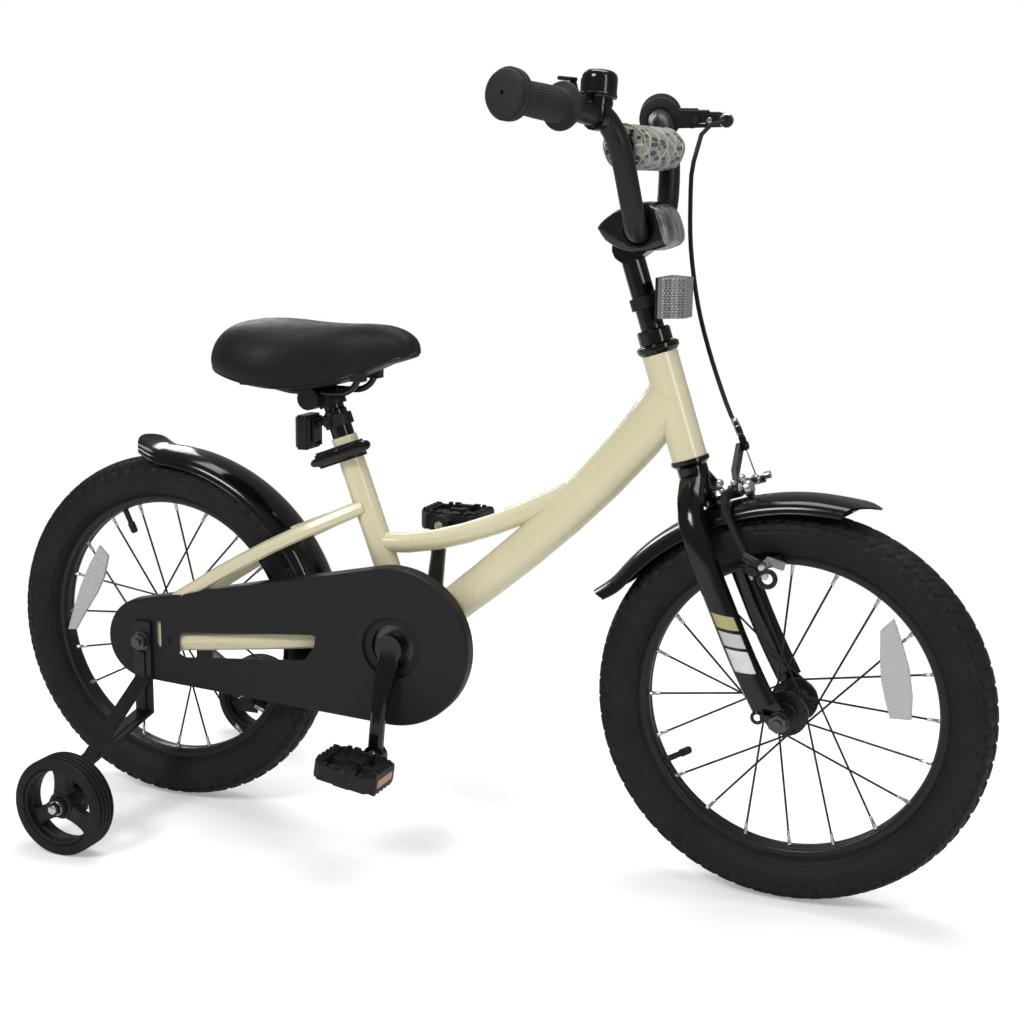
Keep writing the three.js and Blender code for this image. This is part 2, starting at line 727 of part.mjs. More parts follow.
function downTube() {
  const steps = 7;
  const sides = 14;
  const rings = [];
  for (let i = 0; i <= steps; i += 1) {
    const share = i / steps;
    const centre = downTubePath.getPointAt(share);
    const tangent = downTubePath.getTangentAt(share);
    const up = vec(-tangent.z, 0, tangent.x);
    const halfHeight = DOWN_TUBE_LOW_HALF + (DOWN_TUBE_HIGH_HALF - DOWN_TUBE_LOW_HALF) * share;
    rings.push(circle([0, 0], 1, sides).map(([u, v]) => centre.clone()
      .addScaledVector(Y_AXIS, u * DOWN_TUBE_HALF_WIDTH).addScaledVector(up, v * halfHeight)));
  }
  return body(loft(rings));
}

function topTube() {
  const seatJoint = onSeat(0, TOP_TUBE_DROP / Math.sin(SEAT_ANGLE));
  const path = cubic(seatJoint, downTubePath.getPointAt(topTubeEndShare), topTubeShares);
  return tube(path, TOP_TUBE_RADIUS, TOP_TUBE_RADIUS, 12, 8);
}

// Rows of [share of the length, sideways place as a share of the half spacing]
const chainstayShares = [[0, 0.4], [0.2, 0.51], [0.355, 0.645], [0.5, 0.76], [1, 0.948]];
const seatstayShares = [[0, 0.2], [0.12, 0.5], [0.28, 0.74], [0.45, 0.84], [0.7, 0.92], [1, 0.99]];
const CHAINSTAY_RISE = 3;
const SEATSTAY_END_RISE = 40;
const SEATSTAY_END_AHEAD = 24;
const SEATSTAY_BULGE = 6;

const chainstayRear = rearHub.clone().add(vec(CHAINSTAY_END, 0, -CHAINSTAY_RISE));
const seatstayRear = rearHub.clone().add(vec(SEATSTAY_END_AHEAD, 0, SEATSTAY_END_RISE));
const seatstayTop = onSeat(0, SEATSTAY_TOP);

function stay(from, to, shares, bulge, side) {
  const up = vec(from.z - to.z, 0, to.x - from.x).normalize();
  if (up.z < 0) up.negate();
  const points = shares.map(([along, out]) => from.clone().lerp(to, along)
    .addScaledVector(up, bulge * Math.sin(Math.PI * along))
    .setY((side * out * REAR_SPACING) / 2));
  return new THREE.CatmullRomCurve3(points, false, 'centripetal');
}

const CHAINSTAY_FRONT_BACK = 12;
const CHAINSTAY_FRONT_RISE = 4.6;
const chainstayFront = crankAxis.clone().add(vec(-CHAINSTAY_FRONT_BACK, 0, CHAINSTAY_FRONT_RISE));

function dropout(side) {
  const axlePoint = [rearHub.x, rearHub.z];
  const low = REAR_SPACING / 2;
  const outlines = [
    linkOutline(axlePoint, DROPOUT_RADIUS, [chainstayRear.x, chainstayRear.z], CHAINSTAY_HALF_HEIGHT, 5),
    linkOutline(axlePoint, DROPOUT_RADIUS, [seatstayRear.x, seatstayRear.z], SEATSTAY_HALF_HEIGHT, 5),
  ];
  return onSide(join(...outlines.map((outline) => slabY(outline, low, low + DROPOUT_WIDTH))), side);
}

const BRIDGE_RADIUS = 5;
const bridgeAngle = THREE.MathUtils.degToRad(37.5);
const BRIDGE_DISTANCE = 229;
const BRIDGE_HALF = 38;

function bridgeCentre() {
  const [u, v] = polar(BRIDGE_DISTANCE, bridgeAngle);
  return rearHub.clone().add(vec(u, 0, v));
}

function frame() {
  const seatTop = onSeat(0, SEAT_TUBE_LENGTH);
  const across = (y) => crankAxis.clone().setY(y);
  const bridge = bridgeCentre();
  const pieces = [
    rod(crankAxis, seatTop, SEAT_TUBE_RADIUS),
    rod(across(-BRACKET_SHELL_HALF), across(BRACKET_SHELL_HALF), BRACKET_SHELL_RADIUS, FINE),
    rod(onColumn(0, HEAD_LOW), onColumn(0, HEAD_HIGH), HEAD_TUBE_RADIUS, FINE),
    downTube(),
    topTube(),
    rod(bridge.clone().setY(-BRIDGE_HALF), bridge.clone().setY(BRIDGE_HALF), BRIDGE_RADIUS, 6),
  ];
  for (const side of Object.values(SIDES)) {
    const chainstay = stay(chainstayFront, chainstayRear, chainstayShares, 0, side);
    const seatstay = stay(seatstayTop, seatstayRear, seatstayShares, SEATSTAY_BULGE, side);
    pieces.push(tube(chainstay, CHAINSTAY_HALF_WIDTH, CHAINSTAY_HALF_HEIGHT, 8, 7));
    pieces.push(tube(seatstay, SEATSTAY_HALF_WIDTH, SEATSTAY_HALF_HEIGHT, 8, 7));
    pieces.push(dropout(side));
  }
  const bores = [
    rod(onColumn(0, HEAD_LOW - OVERRUN), onColumn(0, HEAD_HIGH + OVERRUN), HEAD_TUBE_RADIUS - HEAD_TUBE_WALL, FINE),
    rod(onSeat(0, POST_BORE_LOW), onSeat(0, SEAT_TUBE_LENGTH + OVERRUN), boreFor(POST_RADIUS)),
    rod(across(-BRACKET_SHELL_HALF - OVERRUN), across(BRACKET_SHELL_HALF + OVERRUN), BRACKET_BORE, FINE),
    rod(rearHub.clone().setY(-REAR_SPACING), rearHub.clone().setY(REAR_SPACING), boreFor(AXLE_RADIUS, COARSE), COARSE),
  ];
  return cut(join(...pieces), ...bores);
}

// Headset

const CUP_RADIUS = 21.5;
const LOW_CUP_RADIUS = 19.8;
const CUP_LIP = 4;
const RACE_RADIUS = 15.5;
const LOCKNUT_OUTER = 17;

function upperCup() {
  const bore = boreFor(STEERER_RADIUS);
  const low = HEAD_HIGH + GAP;
  const profile = [[bore, low], [HEAD_TUBE_RADIUS, low], [CUP_RADIUS, low + CUP_LIP], [CUP_RADIUS, CUP_HIGH - CUP_LIP / 2],
    [HEAD_TUBE_RADIUS, CUP_HIGH], [bore, CUP_HIGH], [bore, low]];
  return turned(profile, onColumn(0, 0), columnUp, ROUND);
}

function lowerCup() {
  const bore = boreFor(STEERER_RADIUS);
  const high = HEAD_LOW - GAP;
  const profile = [[bore, CUP_LOW], [RACE_RADIUS, CUP_LOW], [LOW_CUP_RADIUS, CUP_LOW + CUP_LIP],
    [LOW_CUP_RADIUS, high], [bore, high], [bore, CUP_LOW]];
  return turned(profile, onColumn(0, 0), columnUp, ROUND);
}

// The pieces below this line down to the front wheel are drawn in the steering frame

const STEERER_TOP = 401;
const STEERER_LOW = 219.5;

function locknut() {
  const low = CUP_HIGH + GAP;
  const wide = boreFor(STEERER_RADIUS);
  const narrow = boreFor(STEM_RADIUS);
  const step = STEERER_TOP + GAP;
  const profile = [[wide, low], [LOCKNUT_OUTER, low], [LOCKNUT_OUTER, LOCKNUT_HIGH - CUP_LIP / 2],
    [RACE_RADIUS, LOCKNUT_HIGH], [narrow, LOCKNUT_HIGH], [narrow, step], [wide, step], [wide, low]];
  return turned(profile, vec(0, 0, 0), Z_AXIS, ROUND);
}

const LEG_SPAN = 55;
const LEG_HALF_WIDTH = 10;
const LEG_HALF_DEPTH = 14;
const FORK_TIP_RADIUS = 12;
const BRAKE_BOLT_HEIGHT = 226;
const BRAKE_BOLT_RADIUS = 3;
// Rows of [share of the rake, share of the leg spacing, share of the crown height]
const legShares = [[0, 0.255, 1], [0, 0.5, 0.968], [0, 0.78, 0.91], [0, 0.965, 0.83], [0.06, 1, 0.732],
  [0.2, 1, 0.537], [0.38, 1, 0.321], [0.53, 1, 0.191], [0.7, 1, 0.073]];

function forkLeg(side) {
  const points = legShares.map(([forward, out, up]) => vec(
    forward * FORK_RAKE, side * out * LEG_SPAN, up * RACE_LOW,
  ));
  const path = new THREE.CatmullRomCurve3(points, false, 'centripetal');
  const end = points[points.length - 1];
  const outline = linkOutline([end.x, end.z], LEG_HALF_WIDTH, [FORK_RAKE, 0], FORK_TIP_RADIUS, 7);
  const inside = FRONT_SPACING / 2;
  const tip = onSide(slabY(outline, inside, inside + DROPOUT_WIDTH), side);
  return join(tube(path, LEG_HALF_DEPTH, LEG_HALF_WIDTH, 10, 10, X_AXIS), tip);
}

function fork() {
  const up = (z) => vec(0, 0, z);
  const solid = join(
    rod(up(STEERER_LOW), up(STEERER_TOP), STEERER_RADIUS),
    rod(up(RACE_LOW), up(CUP_LOW - GAP), RACE_RADIUS),
    forkLeg(LEFT),
    forkLeg(RIGHT),
  );
  const bore = boreFor(AXLE_RADIUS, COARSE);
  const across = (y) => vec(FORK_RAKE, y, 0);
  const through = (x) => vec(x, 0, BRAKE_BOLT_HEIGHT);
  const slot = boxBetween(
    vec(FORK_RAKE - bore, -FRONT_SPACING, -FORK_TIP_RADIUS - OVERRUN),
    vec(FORK_RAKE + bore, FRONT_SPACING, 0),
  );
  return cut(
    solid,
    rod(up(STEERER_LOW - OVERRUN), up(STEERER_TOP + OVERRUN), STEERER_BORE),
    rod(across(-FRONT_SPACING), across(FRONT_SPACING), bore, COARSE),
    rod(through(-LEG_SPAN), through(LEG_SPAN), boreFor(BRAKE_BOLT_RADIUS, 8), 8),
    slot,
  );
}

const STEM_LOW = 330;
const STEM_TOP_BELOW_BAR = 16.4;
const STEM_TOP = BAR_HEIGHT - STEM_TOP_BELOW_BAR;
const CLAMP_RADIUS = 17;
const CLAMP_HALF_WIDTH = 22;
const NECK_HALF_WIDTH = 13;
const NECK_RADIUS = 15;
const EXPANDER_RADIUS = 7;
const EXPANDER_HEIGHT = 7;

function stem() {
  const up = (z) => vec(0, 0, z);
  const neckHeight = STEM_TOP + EXPANDER_RADIUS;
  const neck = linkOutline([0, neckHeight], NECK_RADIUS, [BAR_FORWARD, BAR_HEIGHT], CLAMP_RADIUS, 6);
  const clamp = (y) => vec(BAR_FORWARD, y, BAR_HEIGHT);
  const solid = join(
    rod(up(STEM_LOW), up(neckHeight), STEM_RADIUS),
    slabY(neck, -NECK_HALF_WIDTH, NECK_HALF_WIDTH),
    rod(clamp(-CLAMP_HALF_WIDTH), clamp(CLAMP_HALF_WIDTH), CLAMP_RADIUS),
    rod(up(neckHeight), up(neckHeight + NECK_RADIUS + EXPANDER_HEIGHT), EXPANDER_RADIUS, 6),
  );
  return cut(solid, rod(clamp(-LEG_SPAN), clamp(LEG_SPAN), boreFor(BAR_RADIUS)));
}

// Rows of [share of the half width, share of the reach, share of the rise]
const barShares = [[0.04, 0, 0], [0.098, 0, 0], [0.17, 0.06, 0.02], [0.25, 0.4, 0.17], [0.345, 0.88, 0.58],
  [0.365, 0.85, 0.7], [0.395, 0.76, 0.785], [0.425, 0.66, 0.808], [0.46, 0.54, 0.822], [0.52, 0.33, 0.85]];
const gripStartShares = [0.643, 0.075, 0.887];
const gripEndShares = [1, -0.79, 1];
const CROSSBAR_RADIUS = 8;
const BAR_STEPS = 35;
const crossbarShares = barShares[4];

function barPoint([out, forward, up], side = LEFT) {
  return vec(
    BAR_FORWARD + forward * BAR_REACH,
    side * out * BAR_HALF_WIDTH,
    BAR_HEIGHT + up * BAR_RISE,
  );
}

const gripStart = barPoint(gripStartShares);
const gripDirection = barPoint(gripEndShares).sub(gripStart).normalize();

function barPath() {
  const half = (side) => barShares.map((row) => barPoint(row, side));
  const inner = (side) => {
    const start = barPoint(gripStartShares, side);
    const along = gripDirection.clone().setY(side * gripDirection.y);
    return [start.clone().addScaledVector(along, -PERCH_WIDTH - CLAMP_WALL - CLAMP_WALL), start];
  };
  const end = (side) => barPoint(gripStartShares, side)
    .addScaledVector(gripDirection.clone().setY(side * gripDirection.y), GRIP_LENGTH - CROSSBAR_RADIUS);
  const middle = [...inner(RIGHT).reverse(), ...half(RIGHT).reverse(), ...half(LEFT), ...inner(LEFT)];
  const path = new THREE.CurvePath();
  path.add(new THREE.LineCurve3(end(RIGHT), middle[0]));
  path.add(new THREE.CatmullRomCurve3(middle, false, 'centripetal'));
  path.add(new THREE.LineCurve3(middle[middle.length - 1], end(LEFT)));
  return path;
}

const handlebarPath = barPath();

function handlebar() {
  const joint = barPoint(crossbarShares);
  return join(
    tube(handlebarPath, BAR_RADIUS, BAR_RADIUS, 10, BAR_STEPS, X_AXIS),
    rod(joint.clone().setY(-joint.y), joint, CROSSBAR_RADIUS, COARSE),
  );
}

const GRIP_RADIUS = 13.7;
const GRIP_FLANGE_RADIUS = 22;
const GRIP_END_RADIUS = 22.8;
const GRIP_FLANGE_WIDTH = 4;
const GRIP_END_WIDTH = 9;
const GRIP_RIB = 0.8;

function grip(side) {
  const bore = boreFor(BAR_RADIUS, 10) + GAP;
  const bottom = GRIP_LENGTH - CROSSBAR_RADIUS + GAP;
  const profile = [[bore, 0], [GRIP_FLANGE_RADIUS - GRIP_RIB, 0], [GRIP_FLANGE_RADIUS, GRIP_FLANGE_WIDTH],
    [GRIP_RADIUS, GRIP_FLANGE_WIDTH * 2], [GRIP_RADIUS + GRIP_RIB, GRIP_LENGTH / 2],
    [GRIP_RADIUS, GRIP_LENGTH - GRIP_END_WIDTH * 2], [GRIP_END_RADIUS - GRIP_RIB, GRIP_LENGTH - GRIP_END_WIDTH],
    [GRIP_END_RADIUS, GRIP_LENGTH - GRIP_FLANGE_WIDTH], [GRIP_RADIUS, GRIP_LENGTH], [0, GRIP_LENGTH], [0, bottom],
    [bore, bottom], [bore, 0]];
  return onSide(turned(profile, gripStart, gripDirection, 14), side);
}

// Soft pads on the handlebar

const CROSSBAR_PAD_RADIUS = 21;
const PAD_END_GAP = 7;
const CROSSBAR_PAD_HALF = crossbarShares[0] * BAR_HALF_WIDTH - BAR_RADIUS - PAD_END_GAP;
const CROSSBAR_PAD_SOFT = 6;
const padCrownShare = 0.04;

function crossbarPad() {
  const centre = barPoint(crossbarShares).setY(0);
  const inner = boreFor(CROSSBAR_RADIUS, COARSE);
  const half = [[inner, CROSSBAR_PAD_HALF], [CROSSBAR_PAD_RADIUS - CROSSBAR_PAD_SOFT, CROSSBAR_PAD_HALF],
    [CROSSBAR_PAD_RADIUS - CROSSBAR_PAD_SOFT / 4, CROSSBAR_PAD_HALF - CROSSBAR_PAD_SOFT / 2],
    [CROSSBAR_PAD_RADIUS, CROSSBAR_PAD_HALF - CROSSBAR_PAD_SOFT * 2]];
  const flipped = half.map(([radius, y]) => [radius, -y]).reverse();
  const crown = [CROSSBAR_PAD_RADIUS * (1 + padCrownShare), 0];
  return turned([...half, crown, ...flipped, half[0]], centre, Y_AXIS, 14);
}

const STEM_PAD_LENGTH = 77;
const STEM_PAD_HEIGHT = 56;
const STEM_PAD_HALF_WIDTH = 35;
const STEM_PAD_REAR = 22;
const STEM_PAD_BELOW_BAR = 23.7;
const STEM_PAD_LOW = BAR_HEIGHT - STEM_PAD_BELOW_BAR;
// Rows of [share of the length from the rear tip, share of the height]
const stemPadShares = [[0, 0.768], [0.078, 0.857], [0.326, 0.971], [0.592, 1], [0.823, 0.914], [0.985, 0.69],
  [1, 0.4], [0.985, 0.16], [0.94, 0.03], [0.7, 0], [0.42, 0.073], [0.21, 0.26], [0.067, 0.468]];
// Rows of [share of the half width, share of the full section]
const stemPadWidthShares = [[-1, 0.8], [-0.88, 0.95], [0, 1], [0.88, 0.95], [1, 0.8]];
const PAD_CLEARANCE = 0.6;

function stemPad() {
  const middle = [STEM_PAD_LENGTH / 2 - STEM_PAD_REAR, STEM_PAD_LOW + STEM_PAD_HEIGHT / 2];
  const rings = stemPadWidthShares.map(([out, size]) => stemPadShares.map(([along, up]) => vec(
    middle[0] + (along - 0.5) * STEM_PAD_LENGTH * size,
    out * STEM_PAD_HALF_WIDTH,
    middle[1] + (up - 0.5) * STEM_PAD_HEIGHT * size,
  )));
  const neckHeight = STEM_TOP + EXPANDER_RADIUS;
  const clampHole = CLAMP_RADIUS + PAD_CLEARANCE;
  const neck = linkOutline([0, neckHeight], NECK_RADIUS + PAD_CLEARANCE, [BAR_FORWARD, BAR_HEIGHT], clampHole, 6);
  const neckHalf = NECK_HALF_WIDTH + PAD_CLEARANCE;
  const clampHalf = CLAMP_HALF_WIDTH + PAD_CLEARANCE;
  const clamp = (y) => vec(BAR_FORWARD, y, BAR_HEIGHT);
  return cut(
    body(loft(rings)),
    slabY(neck, -neckHalf, neckHalf),
    rod(clamp(-clampHalf), clamp(clampHalf), boreFor(CLAMP_RADIUS)),
    rod(vec(0, 0, STEM_LOW), vec(0, 0, neckHeight), STEM_RADIUS + PAD_CLEARANCE),
    rod(vec(0, 0, neckHeight), vec(0, 0, neckHeight + NECK_RADIUS + EXPANDER_HEIGHT + PAD_CLEARANCE),
      EXPANDER_RADIUS + PAD_CLEARANCE, 6),
    tube(handlebarPath, BAR_RADIUS + PAD_CLEARANCE, BAR_RADIUS + PAD_CLEARANCE, 10, BAR_STEPS, X_AXIS),
  );
}

// A frame that stands upright on the handlebar: forward, along it and up
function upright(centre, along) {
  const up = vec(Math.sin(COLUMN_LEAN), 0, Math.cos(COLUMN_LEAN));
  const forward = along.clone().cross(up).normalize();
  up.crossVectors(forward, along).normalize();
  return { centre, along, up, forward };
}

function barPlace(out) {
  let low = 0.5;
  let high = 1;
  for (let i = 0; i < 40; i += 1) {
    const middle = (low + high) / 2;
    if (handlebarPath.getPointAt(middle).y < out) low = middle;
    else high = middle;
  }
  return upright(handlebarPath.getPointAt(low), handlebarPath.getTangentAt(low));
}

function gripPlace(inset) {
  return upright(gripStart.clone().addScaledVector(gripDirection, -inset), gripDirection.clone());
}

function standOn(group, place, side) {
  if (side === RIGHT) {
    for (const part of Object.values(place)) part.y = -part.y;
    place.along.negate();
  }
  group.applyMatrix4(new THREE.Matrix4().makeBasis(place.forward, place.along, place.up).setPosition(place.centre));
}

// Bell, drawn with the handlebar along Y and the dome above it

const BELL_INBOARD = 48;
const BELL_OUT = gripStart.y - BELL_INBOARD;
const BELL_RADIUS = 18.5;
const BELL_HEIGHT = 26;
const BELL_WALL = 1.4;
const BELL_LOW = 15;
const BELL_CLAMP_WIDTH = 8;
const BELL_POST_RADIUS = 3.5;
const BELL_BASE_RADIUS = 15;
const BELL_BASE_THICKNESS = 2;
const bellShares = [[1, 0], [1, 0.25], [0.97, 0.6], [0.82, 0.86], [0.5, 0.98], [0, 1]];

function bellBase() {
  const half = BELL_CLAMP_WIDTH / 2;
  const bore = boreFor(BAR_RADIUS) + GAP;
  const ring = pipe(vec(0, -half, 0), vec(0, half, 0), bore + CLAMP_WALL, bore);
  const up = (z) => vec(0, 0, z);
  const top = BELL_LOW + BELL_HEIGHT - BELL_WALL * 2 - GAP;
  const plateLow = BELL_LOW;
  return join(
    ring,
    rod(up(bore + CLAMP_WALL / 2), up(top), BELL_POST_RADIUS, 8),
    rod(up(plateLow), up(plateLow + BELL_BASE_THICKNESS), BELL_BASE_RADIUS, ROUND),
  );
}

function bellDome() {
  const outer = bellShares.map(([out, up]) => [out * BELL_RADIUS, BELL_LOW + up * BELL_HEIGHT]);
  const inner = bellShares.filter((row, i) => i % 2 === 0 || row[0] === 0).map(([out, up]) => [
    out * (BELL_RADIUS - BELL_WALL), BELL_LOW + up * (BELL_HEIGHT - BELL_WALL),
  ]).reverse();
  return turned([...outer, ...inner, outer[0]], vec(0, 0, 0), Z_AXIS, ROUND);
}

const BELL_LEVER_REACH = 40;
const LEVER_TIP_RISE = 17;
const BELL_LEVER_HALF = 3.5;
const BELL_LEVER_THICKNESS = 2.4;

function bellLever() {
  const low = BELL_LOW - GAP - BELL_LEVER_THICKNESS / 2;
  const edge = BELL_RADIUS + BELL_LEVER_THICKNESS * 2;
  const line = [[-BELL_RADIUS / 2, low], [-edge, low], [-BELL_LEVER_REACH + BELL_LEVER_THICKNESS * 2,
    low + LEVER_TIP_RISE], [-BELL_LEVER_REACH, low + LEVER_TIP_RISE]];
  return slabY(stripOutline(line, BELL_LEVER_THICKNESS), -BELL_LEVER_HALF, BELL_LEVER_HALF);
}

// Brake lever, drawn with the handlebar along Y

const PERCH_REACH = 70;
const PERCH_PIVOT = 34;
const PERCH_HALF_HEIGHT = 9;
const PERCH_TIP_HEIGHT = 7;
const BARREL_RADIUS = 6.5;
const BARREL_LENGTH = 13;
const CABLE_RADIUS = 2.4;
const WIRE_RADIUS = 0.8;

function perch() {
  const half = PERCH_WIDTH / 2;
  const bore = boreFor(BAR_RADIUS) + GAP;
  const ring = pipe(vec(0, -half, 0), vec(0, half, 0), bore + CLAMP_WALL, bore);
  const arm = slabY(linkOutline([bore + CLAMP_WALL, 0], PERCH_HALF_HEIGHT, [PERCH_REACH, 0], PERCH_TIP_HEIGHT, 5),
    -half, half);
  const tip = (y) => vec(PERCH_REACH, y, 0);
  const barrel = rod(tip(-half + GAP), tip(-half - BARREL_LENGTH), BARREL_RADIUS, COARSE);
  const socket = rod(tip(-half - BARREL_LENGTH - OVERRUN), tip(-half), boreFor(CABLE_RADIUS, 8), 8);
  const opening = rod(vec(0, -PERCH_WIDTH, 0), vec(0, PERCH_WIDTH, 0), bore);
  const slot = boxBetween(
    vec(PERCH_PIVOT - PERCH_HALF_HEIGHT - PERCH_WIDTH / 2, -half - OVERRUN, -BLADE_HALF_HEIGHT - GAP),
    vec(PERCH_REACH - PERCH_WIDTH, half + OVERRUN, BLADE_HALF_HEIGHT + GAP),
  );
  const up = (z) => vec(PERCH_PIVOT, 0, z);
  const pin = rod(up(-PERCH_HALF_HEIGHT), up(PERCH_HALF_HEIGHT), PIVOT_PIN_RADIUS, 8);
  return join(cut(join(cut(arm, opening), ring, barrel), slot, socket), pin);
}

const BLADE_HALF_HEIGHT = 4;
const PIVOT_PIN_RADIUS = 2.5;
const BLADE_SHORT_OF_GRIP = 6;
const BLADE_LENGTH = GRIP_LENGTH - BLADE_SHORT_OF_GRIP;
const BLADE_SWEEP = 16;
const BLADE_WIDTH = 9;
// Rows of [share of the length outwards, share of the sweep forwards, share of the width]
const bladeShares = [[0, 0, 1.25], [0.12, 0.5, 1.2], [0.3, 1, 1], [0.55, 1.15, 0.9], [0.8, 0.85, 0.9], [0.95, 0.5, 1],
  [1, 0.45, 0.7]];

function blade() {
  const place = (side) => bladeShares.map(([out, forward, width]) => [
    PERCH_PIVOT + forward * BLADE_SWEEP + (side * width * BLADE_WIDTH) / 2,
    out * BLADE_LENGTH,
  ]);
  const outline = [...place(1), ...place(-1).reverse()];
  const root = circle([PERCH_PIVOT, 0], BLADE_WIDTH * 0.75, 8);
  const hole = rod(vec(PERCH_PIVOT, 0, -BLADE_WIDTH), vec(PERCH_PIVOT, 0, BLADE_WIDTH), boreFor(PIVOT_PIN_RADIUS, 8), 8);
  const high = BLADE_HALF_HEIGHT;
  return cut(join(slabZ(outline, -high, high), slabZ(root, -high, high)), hole);
}

// Caliper brake, drawn in the steering frame and looked at from the front

const SHOE_HEIGHT = 151;
const ARM_THICKNESS = 5;
const REAR_ARM_X = 31;
const FRONT_ARM_X = 36.6;
const ARM_LEG_OUT = 42;
const ARM_SHOULDER_DROP = 13;
const ARM_HALF_WIDTH = 5;
const armLeanShare = 0.19;
const PIVOT_RADIUS = 7;
const BRAKE_DOME_X = 48;
const BRAKE_DOME_RADIUS = 7;
const SPACER_RADIUS = 5;
const BRAKE_NUT_RADIUS = 7;
const SHOE_CLEARANCE = 1.8;
const SHOE_DEPTH = 9;
const SHOE_HALF_HEIGHT = 5;
const SHOE_REAR_X = 16;
const SHOE_FRONT_X = 58;
const SHOE_BOLT_RADIUS = 2.5;
const SHOE_NUT_RADIUS = 5.3;
const STOP_X = 44.5;
const STOP_OUT = 50;
const STOP_RISE = 38;
const STOP_RADIUS = 3.8;
const STOP_ABOVE = 10;
const STOP_BELOW = 4;
const ANCHOR_OUT = 62;
const ANCHOR_DROP = 1;
const ANCHOR_RADIUS = 4;

function brakeBolt() {
  const at = (x) => vec(x, 0, BRAKE_BOLT_HEIGHT);
  const behind = -STEERER_RADIUS - GAP;
  const front = FRONT_ARM_X + ARM_THICKNESS + GAP;
  return join(
    rod(at(behind - AXLE_NUT_HEIGHT), at(front + ARM_THICKNESS / 2), BRAKE_BOLT_RADIUS, 8),
    rod(at(behind - AXLE_NUT_HEIGHT + AXLE_TIP), at(behind), BRAKE_NUT_RADIUS, 6),
    rod(at(STEERER_RADIUS + GAP), at(REAR_ARM_X - GAP), SPACER_RADIUS, COARSE),
    rod(at(front), at(BRAKE_DOME_X), BRAKE_DOME_RADIUS, COARSE, BRAKE_DOME_RADIUS / 2),
  );
}

function brakeShoe(side) {
  const face = RIM_HALF_WIDTH + SHOE_CLEARANCE;
  const low = vec(SHOE_REAR_X, face, SHOE_HEIGHT - SHOE_HALF_HEIGHT);
  const high = vec(SHOE_FRONT_X, face + SHOE_DEPTH, SHOE_HEIGHT + SHOE_HALF_HEIGHT);
  return onSide(boxBetween(low, high), side);
}

function shoeBolt(x, side) {
  const at = (y) => vec(x, side * y, SHOE_HEIGHT);
  const shoe = RIM_HALF_WIDTH + SHOE_CLEARANCE + SHOE_DEPTH / 2;
  const nut = ARM_LEG_OUT + ARM_HALF_WIDTH / 2;
  return join(
    rod(at(shoe), at(nut), SHOE_BOLT_RADIUS, 6),
    rod(at(nut), at(ARM_LEG_OUT + ARM_HALF_WIDTH * 2), SHOE_NUT_RADIUS, 6),
  );
}

const anchorPlace = [ANCHOR_OUT, BRAKE_BOLT_HEIGHT - ANCHOR_DROP];
const stopPlace = [STOP_OUT, BRAKE_BOLT_HEIGHT + STOP_RISE];
const legLine = [[0, BRAKE_BOLT_HEIGHT], [ARM_LEG_OUT * 0.7, BRAKE_BOLT_HEIGHT],
  [ARM_LEG_OUT, BRAKE_BOLT_HEIGHT - ARM_SHOULDER_DROP], [ARM_LEG_OUT, SHOE_HEIGHT - SHOE_HALF_HEIGHT]];
const stopLine = [[0, BRAKE_BOLT_HEIGHT], [STOP_OUT * 0.17, BRAKE_BOLT_HEIGHT + STOP_RISE * 0.45], stopPlace];
const anchorLine = [[0, BRAKE_BOLT_HEIGHT], [ANCHOR_OUT * 0.5, BRAKE_BOLT_HEIGHT + ANCHOR_DROP / 2], anchorPlace];

function caliperArm(side, x, tail) {
  const strip = (line, turn) => slabX(
    stripOutline(line.map(([y, z]) => [turn * y, z]), ARM_HALF_WIDTH * 2), x, x + ARM_THICKNESS,
  );
  const boss = circle([0, BRAKE_BOLT_HEIGHT], PIVOT_RADIUS, ROUND);
  const bore = circle([0, BRAKE_BOLT_HEIGHT], boreFor(BRAKE_BOLT_RADIUS, 8), 8, Math.PI / 8);
  const solid = join(
    slabX(boss, x, x + ARM_THICKNESS),
    strip(legLine, side),
    strip(tail, LEFT),
    shoeBolt(x + ARM_THICKNESS / 2, side),
    brakeShoe(side),
  );
  const shoulder = BRAKE_BOLT_HEIGHT - ARM_SHOULDER_DROP;
  const leaning = solid.warp((point) => {
    point[0] += Math.max(0, shoulder - point[2]) * armLeanShare;
  });
  return cut(leaning, slabX(bore, x - OVERRUN, x + ARM_THICKNESS + OVERRUN));
}

const wireFrom = vec(STOP_X, ...stopPlace);
const wireTo = vec(STOP_X, ...anchorPlace);
const wireDirection = wireTo.clone().sub(wireFrom).normalize();

function alongWire(distance) {
  return wireFrom.clone().addScaledVector(wireDirection, distance);
}

function stopArm() {
  return join(
    caliperArm(LEFT, FRONT_ARM_X, stopLine),
    rod(vec(FRONT_ARM_X, ...stopPlace), vec(STOP_X + STOP_RADIUS, ...stopPlace), STOP_RADIUS, 6),
    rod(alongWire(-STOP_ABOVE), alongWire(STOP_BELOW), STOP_RADIUS, 8),
  );
}

function anchorArm() {
  const end = vec(STOP_X + ANCHOR_RADIUS * 2, ...anchorPlace);
  return join(caliperArm(RIGHT, REAR_ARM_X, anchorLine), rod(vec(REAR_ARM_X, ...anchorPlace), end, ANCHOR_RADIUS, 6));
}

function brakeWire() {
  const reach = wireFrom.distanceTo(wireTo);
  return rod(alongWire(STOP_BELOW + GAP), alongWire(reach - ANCHOR_RADIUS - GAP), WIRE_RADIUS, 6);
}

const FERRULE_RADIUS = 3.2;
const FERRULE_LENGTH = 12;
